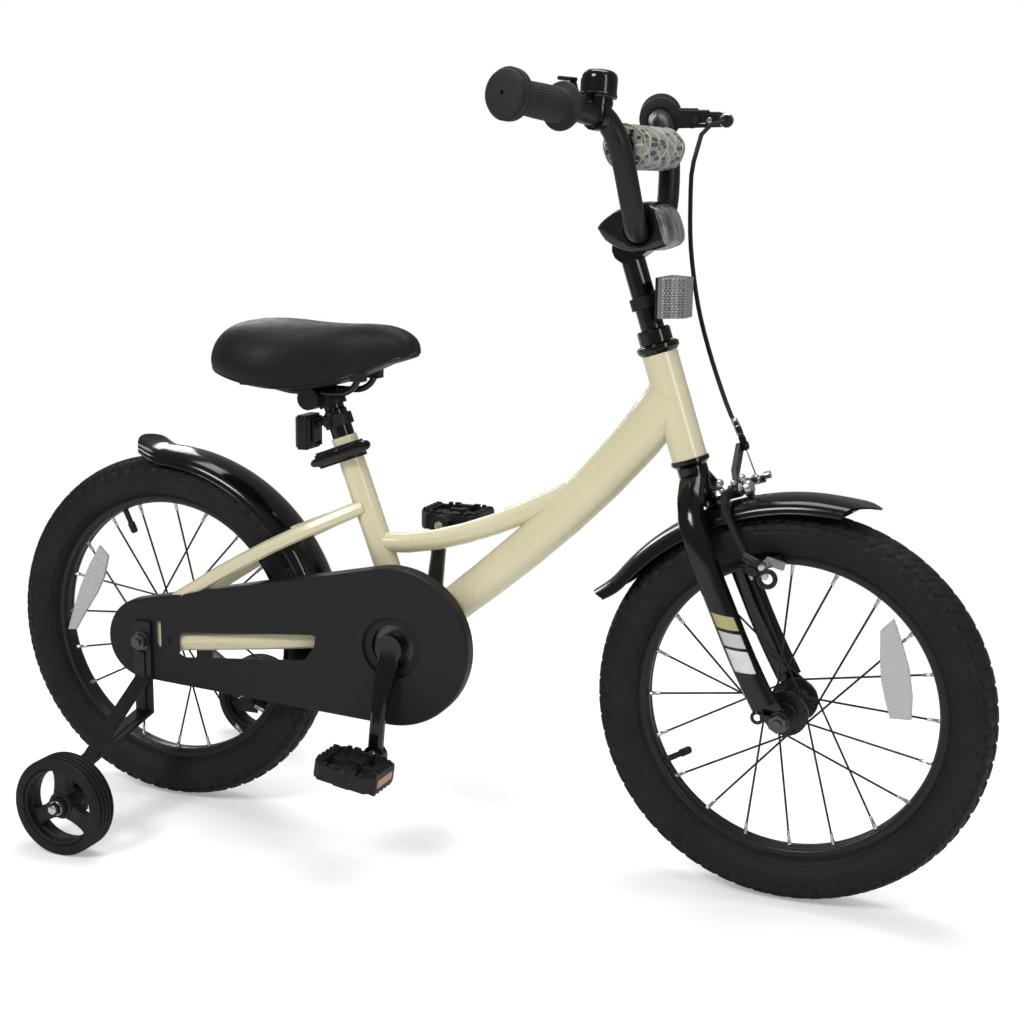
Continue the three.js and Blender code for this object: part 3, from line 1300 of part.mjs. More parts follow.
// The cable's route from the lever to the caliper, in the steering frame
const cableRoute = [[84, 138, 594.1], [69.8, 130, 587.8], [60.6, 122, 571.3], [51.8, 114, 552.5],
  [44.1, 105, 522.7], [35.3, 95, 482.7], [31.2, 88, 451.9], [28.3, 79, 410.3], [29.6, 70, 367.8],
  [33.1, 62, 330.1], [37.4, 56, 297.6]];

function cableHousing(leverEnd) {
  const end = -STOP_ABOVE - GAP;
  const points = [...leverEnd, ...cableRoute.map((point) => vec(...point)),
    alongWire(end - FERRULE_LENGTH), alongWire(end)];
  const path = new THREE.CatmullRomCurve3(points, false, 'centripetal');
  const ferrule = rod(alongWire(end - FERRULE_LENGTH), alongWire(end), FERRULE_RADIUS, 8);
  return join(tube(path, CABLE_RADIUS, CABLE_RADIUS, 8, 25, X_AXIS), ferrule);
}

// Mudguards, drawn round their hub: a thin arched section carried round an arc

const FRONT_GUARD_CROWN = 217.5;
const REAR_GUARD_CROWN = 213.5;
const GUARD_THICKNESS = 1.8;
const GUARD_HALF_WIDTH = 32;
const GUARD_DEPTH = 17;
// Rows of [share of the half width, share of the depth below the crown]
const mudguardShares = [[1, 1], [0.95, 0.6], [0.62, 0.2], [0, 0]];

function mudguardSection() {
  const outer = mudguardShares.map(([out, down]) => [out * GUARD_HALF_WIDTH, -down * GUARD_DEPTH]);
  const inner = mudguardShares.map(([out, down]) => [
    out * (GUARD_HALF_WIDTH - GUARD_THICKNESS), -GUARD_THICKNESS - down * (GUARD_DEPTH - GUARD_THICKNESS),
  ]);
  const flip = (points) => points.slice(0, -1).map(([y, rise]) => [-y, rise]).reverse();
  return [...outer, ...flip(outer), ...flip(inner).reverse(), ...inner.reverse()];
}

// The guard swells away from the tyre towards its ends, and a short flare lifts the very ends
function mudguard(middleCrown, [startAngle, endAngle], startFlare, endFlare, swell) {
  const section = mudguardSection();
  const stations = [0, 0.045, 0.11, 0.24, 0.37, 0.5, 0.63, 0.76, 0.89, 0.955, 1];
  const lift = (share, flare) => flare * Math.max(0, 1 - share * 10) ** 2
    + swell * Math.max(0, 1 - share * 2.2) ** 1.5;
  return body(loft(stations.map((share) => {
    const angle = startAngle + share * (endAngle - startAngle);
    const crown = middleCrown + lift(share, startFlare) + lift(1 - share, endFlare);
    return section.map(([y, rise]) => {
      const [u, w] = polar(crown + rise, angle);
      return vec(u, y, w);
    });
  })));
}

const FLARE = 8;
const FRONT_SWELL = 7;
const REAR_SWELL = 2;
const frontGuardAngles = [50.6, 136.1].map(THREE.MathUtils.degToRad);
const rearGuardAngles = [17, 99].map(THREE.MathUtils.degToRad);
const TAB_THICKNESS = 2;
const TAB_HALF_WIDTH = 10;

function frontMudguard() {
  const arch = mudguard(FRONT_GUARD_CROWN, frontGuardAngles, FLARE, FLARE, FRONT_SWELL).translate([FORK_RAKE, 0, 0]);
  const low = STEERER_RADIUS + GAP;
  const tab = linkOutline([0, FRONT_GUARD_CROWN - GUARD_THICKNESS], TAB_HALF_WIDTH / 5, [0, BRAKE_BOLT_HEIGHT],
    TAB_HALF_WIDTH, 6);
  const hole = rod(vec(0, 0, BRAKE_BOLT_HEIGHT), vec(REAR_ARM_X, 0, BRAKE_BOLT_HEIGHT), boreFor(SPACER_RADIUS), ROUND);
  return join(arch, cut(slabX(tab, low, low + TAB_THICKNESS), hole));
}

function rearMudguard() {
  const at = (distance) => {
    const [u, w] = polar(distance, bridgeAngle);
    return vec(u, 0, w);
  };
  const bolt = rod(at(REAR_GUARD_CROWN - GUARD_THICKNESS), at(BRIDGE_DISTANCE - BRIDGE_RADIUS - GAP), BRIDGE_RADIUS, 8);
  return join(mudguard(REAR_GUARD_CROWN, rearGuardAngles, 0, FLARE + FLARE / 2, REAR_SWELL), bolt).translate(rearHub.toArray());
}

// Front reflector, drawn upright round its own centre

const LENS_HALF_WIDTH = 28.5;
const LENS_NOSE_HALF = 12;
const LENS_DEPTH = 25;
const LENS_RIM = 3;
const LENS_HALF_HEIGHT = 20;
const PLATE_THICKNESS = 2;
const REFLECTOR_FORWARD = 20.5;
const REFLECTOR_BELOW_BAR = 65.4;
const REFLECTOR_ALONG = BAR_HEIGHT - REFLECTOR_BELOW_BAR;
const COLLAR_HALF_HEIGHT = 6;
const COLLAR_WALL = 2.7;
const reflectorPlace = new THREE.Matrix4().makeRotationY(COLUMN_LEAN)
  .setPosition(REFLECTOR_FORWARD, 0, REFLECTOR_ALONG);

function frontReflectorBracket() {
  const up = (z) => vec(0, 0, REFLECTOR_ALONG + z);
  const bore = boreFor(STEM_RADIUS);
  const plate = new THREE.BoxGeometry(PLATE_THICKNESS, LENS_HALF_WIDTH * 2, LENS_HALF_HEIGHT * 2);
  const arm = new THREE.BoxGeometry(REFLECTOR_FORWARD, COLLAR_HALF_HEIGHT * 2, COLLAR_HALF_HEIGHT * 2);
  arm.translate(-REFLECTOR_FORWARD / 2, 0, 0);
  return cut(
    join(
      rod(up(-COLLAR_HALF_HEIGHT), up(COLLAR_HALF_HEIGHT), bore + COLLAR_WALL),
      body(plate, reflectorPlace),
      body(arm, reflectorPlace),
    ),
    rod(up(-REFLECTOR_ALONG / 2), up(REFLECTOR_ALONG / 2), bore),
  );
}

function frontReflectorLens() {
  const back = PLATE_THICKNESS / 2 + GAP;
  const outline = [[back, -LENS_HALF_WIDTH], [back + LENS_RIM, -LENS_HALF_WIDTH], [back + LENS_DEPTH, -LENS_NOSE_HALF],
    [back + LENS_DEPTH, LENS_NOSE_HALF], [back + LENS_RIM, LENS_HALF_WIDTH], [back, LENS_HALF_WIDTH]];
  return slabZ(outline, -LENS_HALF_HEIGHT, LENS_HALF_HEIGHT, reflectorPlace);
}

// Bottom bracket cups, crank and pedals, drawn round the crank axis

const CUP_INSERT = 10;
const CUP_FLANGE = 3;

function bracketCup(side) {
  const bore = boreFor(SPINDLE_RADIUS);
  const face = BRACKET_SHELL_HALF + GAP;
  const profile = [[bore, face - CUP_INSERT], [BRACKET_BORE * Math.cos(Math.PI / FINE) - GAP, face - CUP_INSERT],
    [BRACKET_BORE * Math.cos(Math.PI / FINE) - GAP, face], [BRACKET_SHELL_RADIUS, face],
    [BRACKET_SHELL_RADIUS - CUP_FLANGE / 2, face + CUP_FLANGE], [bore, face + CUP_FLANGE], [bore, face - CUP_INSERT]];
  return onSide(body(lathe(profile, FINE)), side);
}

const CRANK_LENGTH = 114;
const CRANK_TURN = THREE.MathUtils.degToRad(-93.4);
const EYE_RADIUS = 12;
const EYE_WIDTH = 11;
const SHOULDER_RADIUS = 16;
const crankSides = {
  right: { root: 52, out: 75, shoulder: CHAIN_LINE + SPROCKET_WIDTH / 2 + GAP, turn: CRANK_TURN },
  left: { root: 48, out: 62, shoulder: 38.4, turn: CRANK_TURN + Math.PI },
};
const ARM_ROOT_HALF = 13;
const ARM_TIP_HALF = 8;
const ARM_HALF_THICKNESS = 5.5;
// Rows of [share of the crank length, share of the way outwards, share from tip half width to root half width]
const armShares = [[0, 0, 1], [0.2, 0.22, 0.75], [0.45, 0.68, 0.2], [0.7, 0.94, 0], [0.93, 1, 0]];
const armSection = [[1, 0.45], [0.6, 1], [-0.6, 1], [-1, 0.45], [-1, -0.45], [-0.6, -1], [0.6, -1], [1, -0.45]];

function crankArm(side, size) {
  const along = vec(Math.cos(size.turn), 0, Math.sin(size.turn));
  const across = vec(-along.z, 0, along.x);
  const rings = armShares.map(([reach, out, wide]) => {
    const centre = along.clone().multiplyScalar(reach * CRANK_LENGTH)
      .setY(side * (size.root + out * (size.out - size.root)));
    const half = ARM_TIP_HALF + wide * (ARM_ROOT_HALF - ARM_TIP_HALF);
    return armSection.map(([u, v]) => centre.clone().addScaledVector(across, u * half)
      .addScaledVector(Y_AXIS, v * ARM_HALF_THICKNESS));
  });
  const eye = along.clone().multiplyScalar(CRANK_LENGTH);
  const at = (point, y) => point.clone().setY(side * y);
  const centre = vec(0, 0, 0);
  return cut(
    join(
      body(loft(rings)),
      rod(at(eye, size.out - EYE_WIDTH / 2), at(eye, size.out + EYE_WIDTH / 2), EYE_RADIUS),
      rod(at(centre, size.shoulder), at(centre, size.root + ARM_HALF_THICKNESS), SHOULDER_RADIUS),
    ),
    rod(at(eye, size.out - EYE_WIDTH), at(eye, size.out + EYE_WIDTH), boreFor(PEDAL_THREAD_RADIUS, COARSE), COARSE),
  );
}

function crank() {
  const at = (y) => vec(0, y, 0);
  return join(
    rod(at(-crankSides.right.root), at(crankSides.left.root), SPINDLE_RADIUS),
    crankArm(RIGHT, crankSides.right),
    crankArm(LEFT, crankSides.left),
  ).translate(crankAxis.toArray());
}

const PEDAL_THREAD_RADIUS = 5.5;
const PEDAL_SHAFT_RADIUS = 4;
const PEDAL_FLANGE_RADIUS = 7.5;
const PEDAL_FLANGE = 3;
const PEDAL_NECK = 12;
const PEDAL_LENGTH = 72;
const PEDAL_WIDTH = 63;
const PEDAL_HEIGHT = 26;
const PEDAL_EDGE = 4;
const PEDAL_WALL = 5;
const PEDAL_CORE = 9;

function pedalPlace(size) {
  const [u, w] = polar(CRANK_LENGTH, size.turn);
  return crankAxis.clone().add(vec(u, 0, w));
}

function pedalSpindle(side, size) {
  const place = pedalPlace(size);
  const at = (y) => place.clone().setY(side * y);
  const face = size.out + EYE_WIDTH / 2 + GAP;
  return join(
    rod(at(size.out - EYE_WIDTH / 2), at(face + PEDAL_FLANGE / 2), PEDAL_THREAD_RADIUS, COARSE),
    rod(at(face), at(face + PEDAL_FLANGE), PEDAL_FLANGE_RADIUS, 6),
    rod(at(face), at(face + PEDAL_NECK + PEDAL_WIDTH - PEDAL_WALL), PEDAL_SHAFT_RADIUS, 8),
  );
}

// A pedal drawn with its spindle along Y from its inner face
function pedal() {
  const half = PEDAL_LENGTH / 2;
  const high = PEDAL_HEIGHT / 2;
  const outline = [[half, high - PEDAL_EDGE], [half - PEDAL_EDGE, high], [PEDAL_EDGE - half, high],
    [-half, high - PEDAL_EDGE], [-half, PEDAL_EDGE - high], [PEDAL_EDGE - half, -high],
    [half - PEDAL_EDGE, -high], [half, PEDAL_EDGE - high]];
  const pocket = (side) => {
    const near = side * PEDAL_CORE;
    const far = side * (half - PEDAL_WALL - PEDAL_EDGE);
    const low = vec(Math.min(near, far), PEDAL_WALL * 2, -PEDAL_HEIGHT);
    return boxBetween(low, vec(Math.max(near, far), PEDAL_WIDTH - PEDAL_WALL * 2, PEDAL_HEIGHT));
  };
  const at = (y) => vec(0, y, 0);
  return cut(
    slabY(outline, 0, PEDAL_WIDTH),
    pocket(1),
    pocket(-1),
    rod(at(-OVERRUN), at(PEDAL_WIDTH - PEDAL_WALL + GAP), boreFor(PEDAL_SHAFT_RADIUS, 8), 8),
  );
}

// Chain guard: a dished cover over the whole chain, set slightly outwards at the rear

const COVER_WALL = 1.8;
const COVER_DEPTH = 16;
const COVER_REAR_RADIUS = 47;
const COVER_FRONT_RADIUS = 88;
const COVER_FRONT_FACE = 48.5;
const COVER_REAR_FACE = 62.5;
const COVER_EDGE = 4;
const RECESS_RADIUS = 34;
const RECESS_DEPTH = 4;
const RECESS_HOLE = 24;
const STAY_CLEARANCE = 1.5;
const COVER_SCREW_RADIUS = 4;
const coverTurn = Math.atan2(COVER_REAR_FACE - COVER_FRONT_FACE, crankAxis.x - rearHub.x);
const coverSlack = (WASHER_RADIUS + COVER_WALL) * Math.tan(coverTurn);
// Rows of [share of the way to the rear axle, share of the front radius]
const slotShares = [[0.852, -0.16], [0.838, -0.11], [0.31, 0.05], [0.295, 0.03], [0.3, -0.1], [0.34, -0.29],
  [0.83, -0.44], [0.852, -0.4]];
const ventShares = [[0.948, -0.34], [0.928, -0.34], [0.928, 0], [0.948, 0]];
const screwShares = [0.902, -0.25];

function chainCover() {
  const rear = [-Math.hypot(crankAxis.x - rearHub.x, COVER_REAR_FACE - COVER_FRONT_FACE), -BRACKET_RISE];
  const ring = (y, inset) => linkOutline(rear, COVER_REAR_RADIUS - inset, [0, 0], COVER_FRONT_RADIUS - inset, 10)
    .map(([u, w]) => vec(u, y, w));
  const place = ([back, up]) => [back * rear[0], up * COVER_FRONT_RADIUS];
  const shell = body(loft([ring(COVER_DEPTH, 0), ring(COVER_WALL, 0), ring(-COVER_WALL / 2, COVER_EDGE / 3),
    ring(-COVER_WALL, COVER_EDGE)]));
  const hollow = body(loft([ring(COVER_DEPTH + OVERRUN, COVER_WALL), ring(0, COVER_WALL)]));
  const through = (outline) => slabY(outline, -COVER_WALL - OVERRUN, OVERRUN);
  const at = (point, y) => vec(point[0], y, point[1]);
  const centre = [0, 0];
  const inside = RECESS_RADIUS + COVER_WALL;
  const recess = body(lathe([[RECESS_HOLE, RECESS_DEPTH - COVER_WALL], [RECESS_RADIUS, RECESS_DEPTH - COVER_WALL],
    [RECESS_RADIUS, -COVER_WALL], [inside, -COVER_WALL], [inside, RECESS_DEPTH], [RECESS_HOLE, RECESS_DEPTH],
    [RECESS_HOLE, RECESS_DEPTH - COVER_WALL]], FINE));
  const screw = place(screwShares);
  const solid = join(
    cut(shell, hollow, through(slotShares.map(place)), through(ventShares.map(place)),
      rod(at(centre, -COVER_WALL - OVERRUN), at(centre, OVERRUN), inside - COVER_WALL / 2, FINE),
      rod(at(rear, -COVER_WALL - OVERRUN), at(rear, OVERRUN), boreFor(AXLE_RADIUS + GAP, COARSE), COARSE)),
    recess,
    rod(at(screw, -COVER_WALL / 2), at(screw, -COVER_WALL * 2), COVER_SCREW_RADIUS, 8),
  );
  const matrix = new THREE.Matrix4().makeRotationZ(coverTurn)
    .setPosition(crankAxis.x, -COVER_FRONT_FACE, crankAxis.z);
  const stayPath = stay(seatstayTop, seatstayRear, seatstayShares, SEATSTAY_BULGE, RIGHT);
  const notch = tube(stayPath, SEATSTAY_HALF_WIDTH + STAY_CLEARANCE, SEATSTAY_HALF_HEIGHT + STAY_CLEARANCE, 8, 7);
  return cut(body(geometryOf(solid), matrix), notch);
}

// Coaster brake arm, clipped under the left chainstay

const BRAKE_ARM_INNER = 51.6;
const BRAKE_ARM_THICKNESS = 3.1;
const BRAKE_ARM_RADIUS = 12;
const BRAKE_ARM_ELBOW = vec(9, 0, -31);
const BRAKE_ARM_ELBOW_RADIUS = 8;
const BRAKE_ARM_END_RADIUS = 6.5;
const BRAKE_ARM_END_DROP = 15;
const CLIP_WALL = 2.2;
const clipShares = [0.66, 0.71];

function brakeArm() {
  const path = stay(chainstayFront, chainstayRear, chainstayShares, 0, LEFT);
  const ends = clipShares.map((share) => path.getPointAt(share));
  const line = new THREE.LineCurve3(...ends);
  const elbow = rearHub.clone().add(BRAKE_ARM_ELBOW);
  const end = ends[0].clone().lerp(ends[1], 0.5);
  const tip = [end.x, end.z - BRAKE_ARM_END_DROP];
  const high = BRAKE_ARM_INNER + BRAKE_ARM_THICKNESS;
  const plate = join(
    slabY(linkOutline([rearHub.x, rearHub.z], BRAKE_ARM_RADIUS, [elbow.x, elbow.z], BRAKE_ARM_ELBOW_RADIUS, 6),
      BRAKE_ARM_INNER, high),
    slabY(linkOutline([elbow.x, elbow.z], BRAKE_ARM_ELBOW_RADIUS, tip, BRAKE_ARM_END_RADIUS, 6),
      BRAKE_ARM_INNER, high),
  );
  const clear = GAP + GAP;
  const clip = cut(
    tube(line, CHAINSTAY_HALF_WIDTH + CLIP_WALL + clear, CHAINSTAY_HALF_HEIGHT + CLIP_WALL + clear, 8, 1),
    tube(path, CHAINSTAY_HALF_WIDTH + clear, CHAINSTAY_HALF_HEIGHT + clear, 8, 7),
  );
  const hole = rod(rearHub.clone().setY(BRAKE_ARM_INNER - OVERRUN), rearHub.clone().setY(high + OVERRUN),
    boreFor(AXLE_RADIUS, COARSE), COARSE);
  return cut(join(plate, clip), hole);
}

// Training wheels and their brackets

const TRAINER_RADIUS = 54.5;
const TRAINER_SIDES = 20;
const TRAINER_HALF_WIDTH = 15;
const TRAINER_OUT = 205;
const TRAINER_BACK = 11;
const TRAINER_INNER_RADIUS = 43;
const TRAINER_BEVEL = 1.5;
const TRAINER_HUB_RADIUS = 13;
const TRAINER_HUB_INNER = 22;
const TRAINER_BOLT_RADIUS = 5;
const TRAINER_NUT_RADIUS = 8;
const TRAINER_NUT_HEIGHT = 6;
const TRAINER_SPOKES = 3;
const TRAINER_SPOKE_HALF = 9;
const TRAINER_SPOKE_DEPTH = 8;

function trainingWheel(side) {
  const corner = 1 / Math.cos(Math.PI / TRAINER_SIDES);
  const crown = TRAINER_RADIUS * corner;
  const shoulder = (TRAINER_RADIUS - TRAINER_BEVEL) * corner;
  const edge = TRAINER_HALF_WIDTH - TRAINER_BEVEL;
  const half = [[TRAINER_INNER_RADIUS, TRAINER_HALF_WIDTH], [shoulder, TRAINER_HALF_WIDTH], [crown, edge]];
  const flip = half.map(([radius, y]) => [radius, -y]).reverse();
  const web = [TRAINER_INNER_RADIUS - TRAINER_BEVEL * 2, 0];
  const ring = body(lathe([web, ...half, ...flip, web], TRAINER_SIDES, Math.PI / TRAINER_SIDES));
  const pieces = [ring, rod(vec(0, -TRAINER_HUB_INNER, 0), vec(0, TRAINER_HALF_WIDTH, 0), TRAINER_HUB_RADIUS, 12)];
  for (let i = 0; i < TRAINER_SPOKES; i += 1) {
    const angle = Math.PI / 2 + (i * 2 * Math.PI) / TRAINER_SPOKES;
    const [u, w] = polar(TRAINER_INNER_RADIUS, angle);
    const spoke = stripOutline([[0, 0], [u, w]], TRAINER_SPOKE_HALF * 2);
    pieces.push(slabY(spoke, -TRAINER_SPOKE_DEPTH, TRAINER_SPOKE_DEPTH));
  }
  const bore = rod(vec(0, -TRAINER_OUT, 0), vec(0, TRAINER_OUT, 0), boreFor(TRAINER_BOLT_RADIUS, COARSE), COARSE);
  const centre = rearHub.clone().add(vec(-TRAINER_BACK, 0, 0)).setZ(TRAINER_RADIUS);
  return onSide(cut(join(...pieces), bore).translate([centre.x, TRAINER_OUT, centre.z]), side);
}

const STRAP_WIDTH = 22;
const STRAP_THICKNESS = 3.5;
const STRAP_ABOVE = 22;
const STRAP_BEND = 84;
const STRAP_ARM_HEIGHT = 87;
const BRACE_TOP = 42;
const BRACE_SHARE = 0.82;
const STRAP_RIB = 2;
const STRAP_LOW = 14;

function trainingBracket(side, inner) {
  const strap = inner + STRAP_THICKNESS / 2;
  const tab = TRAINER_OUT - TRAINER_HUB_INNER - GAP - STRAP_THICKNESS / 2;
  const top = WHEEL_RADIUS + STRAP_ABOVE;
  const bend = WHEEL_RADIUS - STRAP_BEND;
  const line = [[strap, top], [strap, bend], [tab - STRAP_THICKNESS, STRAP_ARM_HEIGHT], [tab, STRAP_ARM_HEIGHT
    - STRAP_THICKNESS], [tab, TRAINER_RADIUS - STRAP_LOW]];
  const brace = [[strap, WHEEL_RADIUS - BRACE_TOP], [strap + BRACE_SHARE * (tab - strap),
    STRAP_ARM_HEIGHT + (1 - BRACE_SHARE) * (bend - STRAP_ARM_HEIGHT)]];
  const lean = -TRAINER_BACK / (tab - strap);
  const matrix = new THREE.Matrix4().set(1, lean, 0, rearHub.x - lean * strap, 0, 1, 0, 0, 0, 0, 1, 0, 0, 0, 0, 1);
  const half = STRAP_WIDTH / 2;
  const rib = line.slice(0, 3).map(([y, z]) => [y + STRAP_RIB, z]);
  const upper = [[strap + STRAP_RIB, top - STRAP_ABOVE - WASHER_RADIUS - STRAP_RIB], ...rib.slice(1)];
  const at = (x, y, z) => vec(x, y, z);
  const boltX = rearHub.x - TRAINER_BACK;
  const nutOuter = TRAINER_OUT + TRAINER_HALF_WIDTH + GAP;
  const solid = join(
    slabX(stripOutline(line, STRAP_THICKNESS), -half, half, matrix),
    slabX(stripOutline(brace, STRAP_THICKNESS), -half + STRAP_RIB, half - STRAP_RIB, matrix),
    slabX(stripOutline(upper, STRAP_THICKNESS), -half / 3, half / 3, matrix),
    rod(at(boltX, tab - TRAINER_NUT_HEIGHT, TRAINER_RADIUS), at(boltX, nutOuter + TRAINER_NUT_HEIGHT / 2, TRAINER_RADIUS),
      TRAINER_BOLT_RADIUS, COARSE),
    rod(at(boltX, tab - TRAINER_NUT_HEIGHT, TRAINER_RADIUS), at(boltX, tab, TRAINER_RADIUS), TRAINER_NUT_RADIUS, 6),
    rod(at(boltX, nutOuter, TRAINER_RADIUS), at(boltX, nutOuter + TRAINER_NUT_HEIGHT, TRAINER_RADIUS),
      TRAINER_NUT_RADIUS, 6),
  );
  const hole = rod(rearHub.clone().setY(inner - OVERRUN), rearHub.clone().setY(inner + STRAP_THICKNESS + OVERRUN),
    boreFor(AXLE_RADIUS, COARSE), COARSE);
  return onSide(cut(solid, hole), side);
}

// Seat clamp, post, saddle and rear reflector. The clamp, post and reflector are drawn in the
// seat tube's frame: forward of its axis, sideways, and up from the crank axis.

const seatFrame = new THREE.Group();
seatFrame.position.copy(crankAxis);
seatFrame.rotation.y = SEAT_ANGLE - Math.PI / 2;
bike.add(seatFrame);

const BAND_LOW = 206;
const BAND_HIGH = 224;
const BAND_WALL = 3.4;
const EAR_INNER = 1.5;
const EAR_OUTER = 9;
const EAR_REACH = 36;
const CLAMP_BOLT_BACK = 29;
const CLAMP_BOLT_RADIUS = 3.5;
const LEVER_PIVOT_OUT = 21;
const LEVER_EYE_RADIUS = 4.5;
const LEVER_EYE_HALF = 3.5;
const LEVER_HALF_HEIGHT = 6.5;
const LEVER_HEAD_RADIUS = 7.5;
const LEVER_TIP_FORWARD = 36;
const LEVER_TIP_OUT = 26;
const LEVER_BLADE = 4.5;
const LEVER_PIN_RADIUS = 2.2;
const COLLAR_LIP = 2.7;

function seatCollar() {
  const up = (z) => vec(0, 0, z);
  const bore = boreFor(SEAT_TUBE_RADIUS);
  const middle = (BAND_LOW + BAND_HIGH) / 2;
  const ear = (side) => onSide(boxBetween(vec(-EAR_REACH, EAR_INNER, BAND_LOW), vec(-SEAT_TUBE_RADIUS, EAR_OUTER,
    BAND_HIGH)), side);
  const across = (y) => vec(-CLAMP_BOLT_BACK, y, middle);
  const pin = (z) => vec(-CLAMP_BOLT_BACK, -LEVER_PIVOT_OUT, middle + z);
  return cut(
    join(
      rod(up(BAND_LOW), up(BAND_HIGH), bore + BAND_WALL, ROUND),
      ear(LEFT),
      ear(RIGHT),
      rod(across(-LEVER_PIVOT_OUT), across(EAR_OUTER + CLAMP_BOLT_RADIUS), CLAMP_BOLT_RADIUS, 8),
      rod(across(EAR_OUTER), across(EAR_OUTER + CLAMP_BOLT_RADIUS), CLAMP_BOLT_RADIUS * 2, 8),
      rod(pin(-LEVER_EYE_HALF), pin(LEVER_EYE_HALF), LEVER_EYE_RADIUS, 8),
      rod(pin(-LEVER_HALF_HEIGHT), pin(LEVER_HALF_HEIGHT), LEVER_PIN_RADIUS, 8),
    ),
    rod(up(BAND_LOW - OVERRUN), up(BAND_HIGH + OVERRUN), bore, ROUND),
  );
}

function seatLever() {
  const middle = (BAND_LOW + BAND_HIGH) / 2;
  const low = middle - LEVER_HALF_HEIGHT;
  const high = middle + LEVER_HALF_HEIGHT;
  const root = [-CLAMP_BOLT_BACK, -LEVER_PIVOT_OUT];
  const blade = linkOutline(root, LEVER_BLADE, [LEVER_TIP_FORWARD, -LEVER_TIP_OUT], LEVER_BLADE / 2, 5);
  const pin = (z) => vec(...root, middle + z);
  const tall = LEVER_HALF_HEIGHT + OVERRUN;
  const reach = LEVER_HEAD_RADIUS * 2;
  const slot = boxBetween(
    vec(root[0] - reach, root[1] - LEVER_EYE_RADIUS - GAP, middle - LEVER_EYE_HALF - GAP),
    vec(root[0] + LEVER_EYE_RADIUS + GAP * 2, root[1] + reach, middle + LEVER_EYE_HALF + GAP),
  );
  return cut(
    join(slabZ(circle(root, LEVER_HEAD_RADIUS, 12), low, high), slabZ(blade, low, high)),
    rod(pin(-tall), pin(tall), boreFor(LEVER_PIN_RADIUS, 8), 8),
    slot,
  );
}

const POST_LOW = 100;
const POST_NECK = 262;
const POST_TOP = 284;
const NECK_POST_RADIUS = 11;

function seatPost() {
  const profile = [[0, POST_LOW], [POST_RADIUS, POST_LOW], [POST_RADIUS, POST_NECK], [NECK_POST_RADIUS, POST_NECK
    + POST_RADIUS - NECK_POST_RADIUS], [NECK_POST_RADIUS, POST_TOP], [0, POST_TOP]];
  return turned(profile, vec(0, 0, 0), Z_AXIS, ROUND);
}

const REAR_LENS_BACK = 46;
const REAR_LENS_ALONG = 249;
const REAR_LENS_HALF_HEIGHT = 20;
const REAR_LENS_HALF_WIDTH = 13;
const REAR_HOUSING_DEPTH = 9;
const REAR_LENS_THICKNESS = 3;
const REAR_RING_LOW = 246;
const REAR_RING_HIGH = 258;

function rearReflectorHousing() {
  const up = (z) => vec(0, 0, z);
  const bore = boreFor(POST_RADIUS);
  const front = REAR_LENS_BACK - REAR_HOUSING_DEPTH;
  const housing = boxBetween(
    vec(-REAR_LENS_BACK, -REAR_LENS_HALF_WIDTH, REAR_LENS_ALONG - REAR_LENS_HALF_HEIGHT),
    vec(-front, REAR_LENS_HALF_WIDTH, REAR_LENS_ALONG + REAR_LENS_HALF_HEIGHT),
  );
  const arm = boxBetween(vec(-front - GAP, -REAR_HOUSING_DEPTH / 2, REAR_RING_LOW), vec(-POST_RADIUS,
    REAR_HOUSING_DEPTH / 2, REAR_RING_HIGH));
  return cut(
    join(housing, arm, rod(up(REAR_RING_LOW), up(REAR_RING_HIGH), bore + COLLAR_WALL)),
    rod(up(REAR_RING_LOW - OVERRUN), up(REAR_RING_HIGH + OVERRUN), bore),
  );
}

function rearReflectorLens() {
  const edge = COLLAR_WALL / 2;
  return boxBetween(
    vec(-REAR_LENS_BACK - GAP - REAR_LENS_THICKNESS, -REAR_LENS_HALF_WIDTH + edge,
      REAR_LENS_ALONG - REAR_LENS_HALF_HEIGHT + edge),
    vec(-REAR_LENS_BACK - GAP, REAR_LENS_HALF_WIDTH - edge, REAR_LENS_ALONG + REAR_LENS_HALF_HEIGHT - edge),
  );
}

const SADDLE_REAR = 289;
const SADDLE_LENGTH = 237;
const SADDLE_HALF_WIDTH = 75;
const SADDLE_LOW = 505;
const SADDLE_HEIGHT = 64;
const PAN_THICKNESS = 5;
const panWidthShare = 0.84;
// Rows of [share of the length from the rear, share of the half width, top, lower edge as shares of the height]
const saddleShares = [[0, 0.4, 0.4, 0.3], [0.03, 0.62, 0.68, 0.22], [0.08, 0.8, 0.84, 0.18], [0.16, 0.94, 0.95, 0.14],
  [0.26, 1, 0.985, 0.06], [0.36, 0.97, 0.985, 0.01], [0.46, 0.84, 0.985, 0], [0.56, 0.62, 0.97, 0.03],
  [0.66, 0.43, 0.97, 0.13], [0.76, 0.33, 0.99, 0.27], [0.86, 0.29, 0.97, 0.42], [0.93, 0.26, 0.9, 0.49],
  [0.98, 0.2, 0.76, 0.54], [1, 0.12, 0.66, 0.57]];
// Half of a cross-section: [share of the half width, share of the height above the lower edge]
const cushionShares = [[0.88, 0], [0.97, 0.12], [1, 0.32], [0.94, 0.6], [0.76, 0.84], [0.42, 0.97]];

function saddleStation([along, wide, top, low]) {
  return {
    x: along * SADDLE_LENGTH - SADDLE_REAR,
    half: wide * SADDLE_HALF_WIDTH,
    low: SADDLE_LOW + low * SADDLE_HEIGHT,
    high: SADDLE_LOW + top * SADDLE_HEIGHT,
  };
}

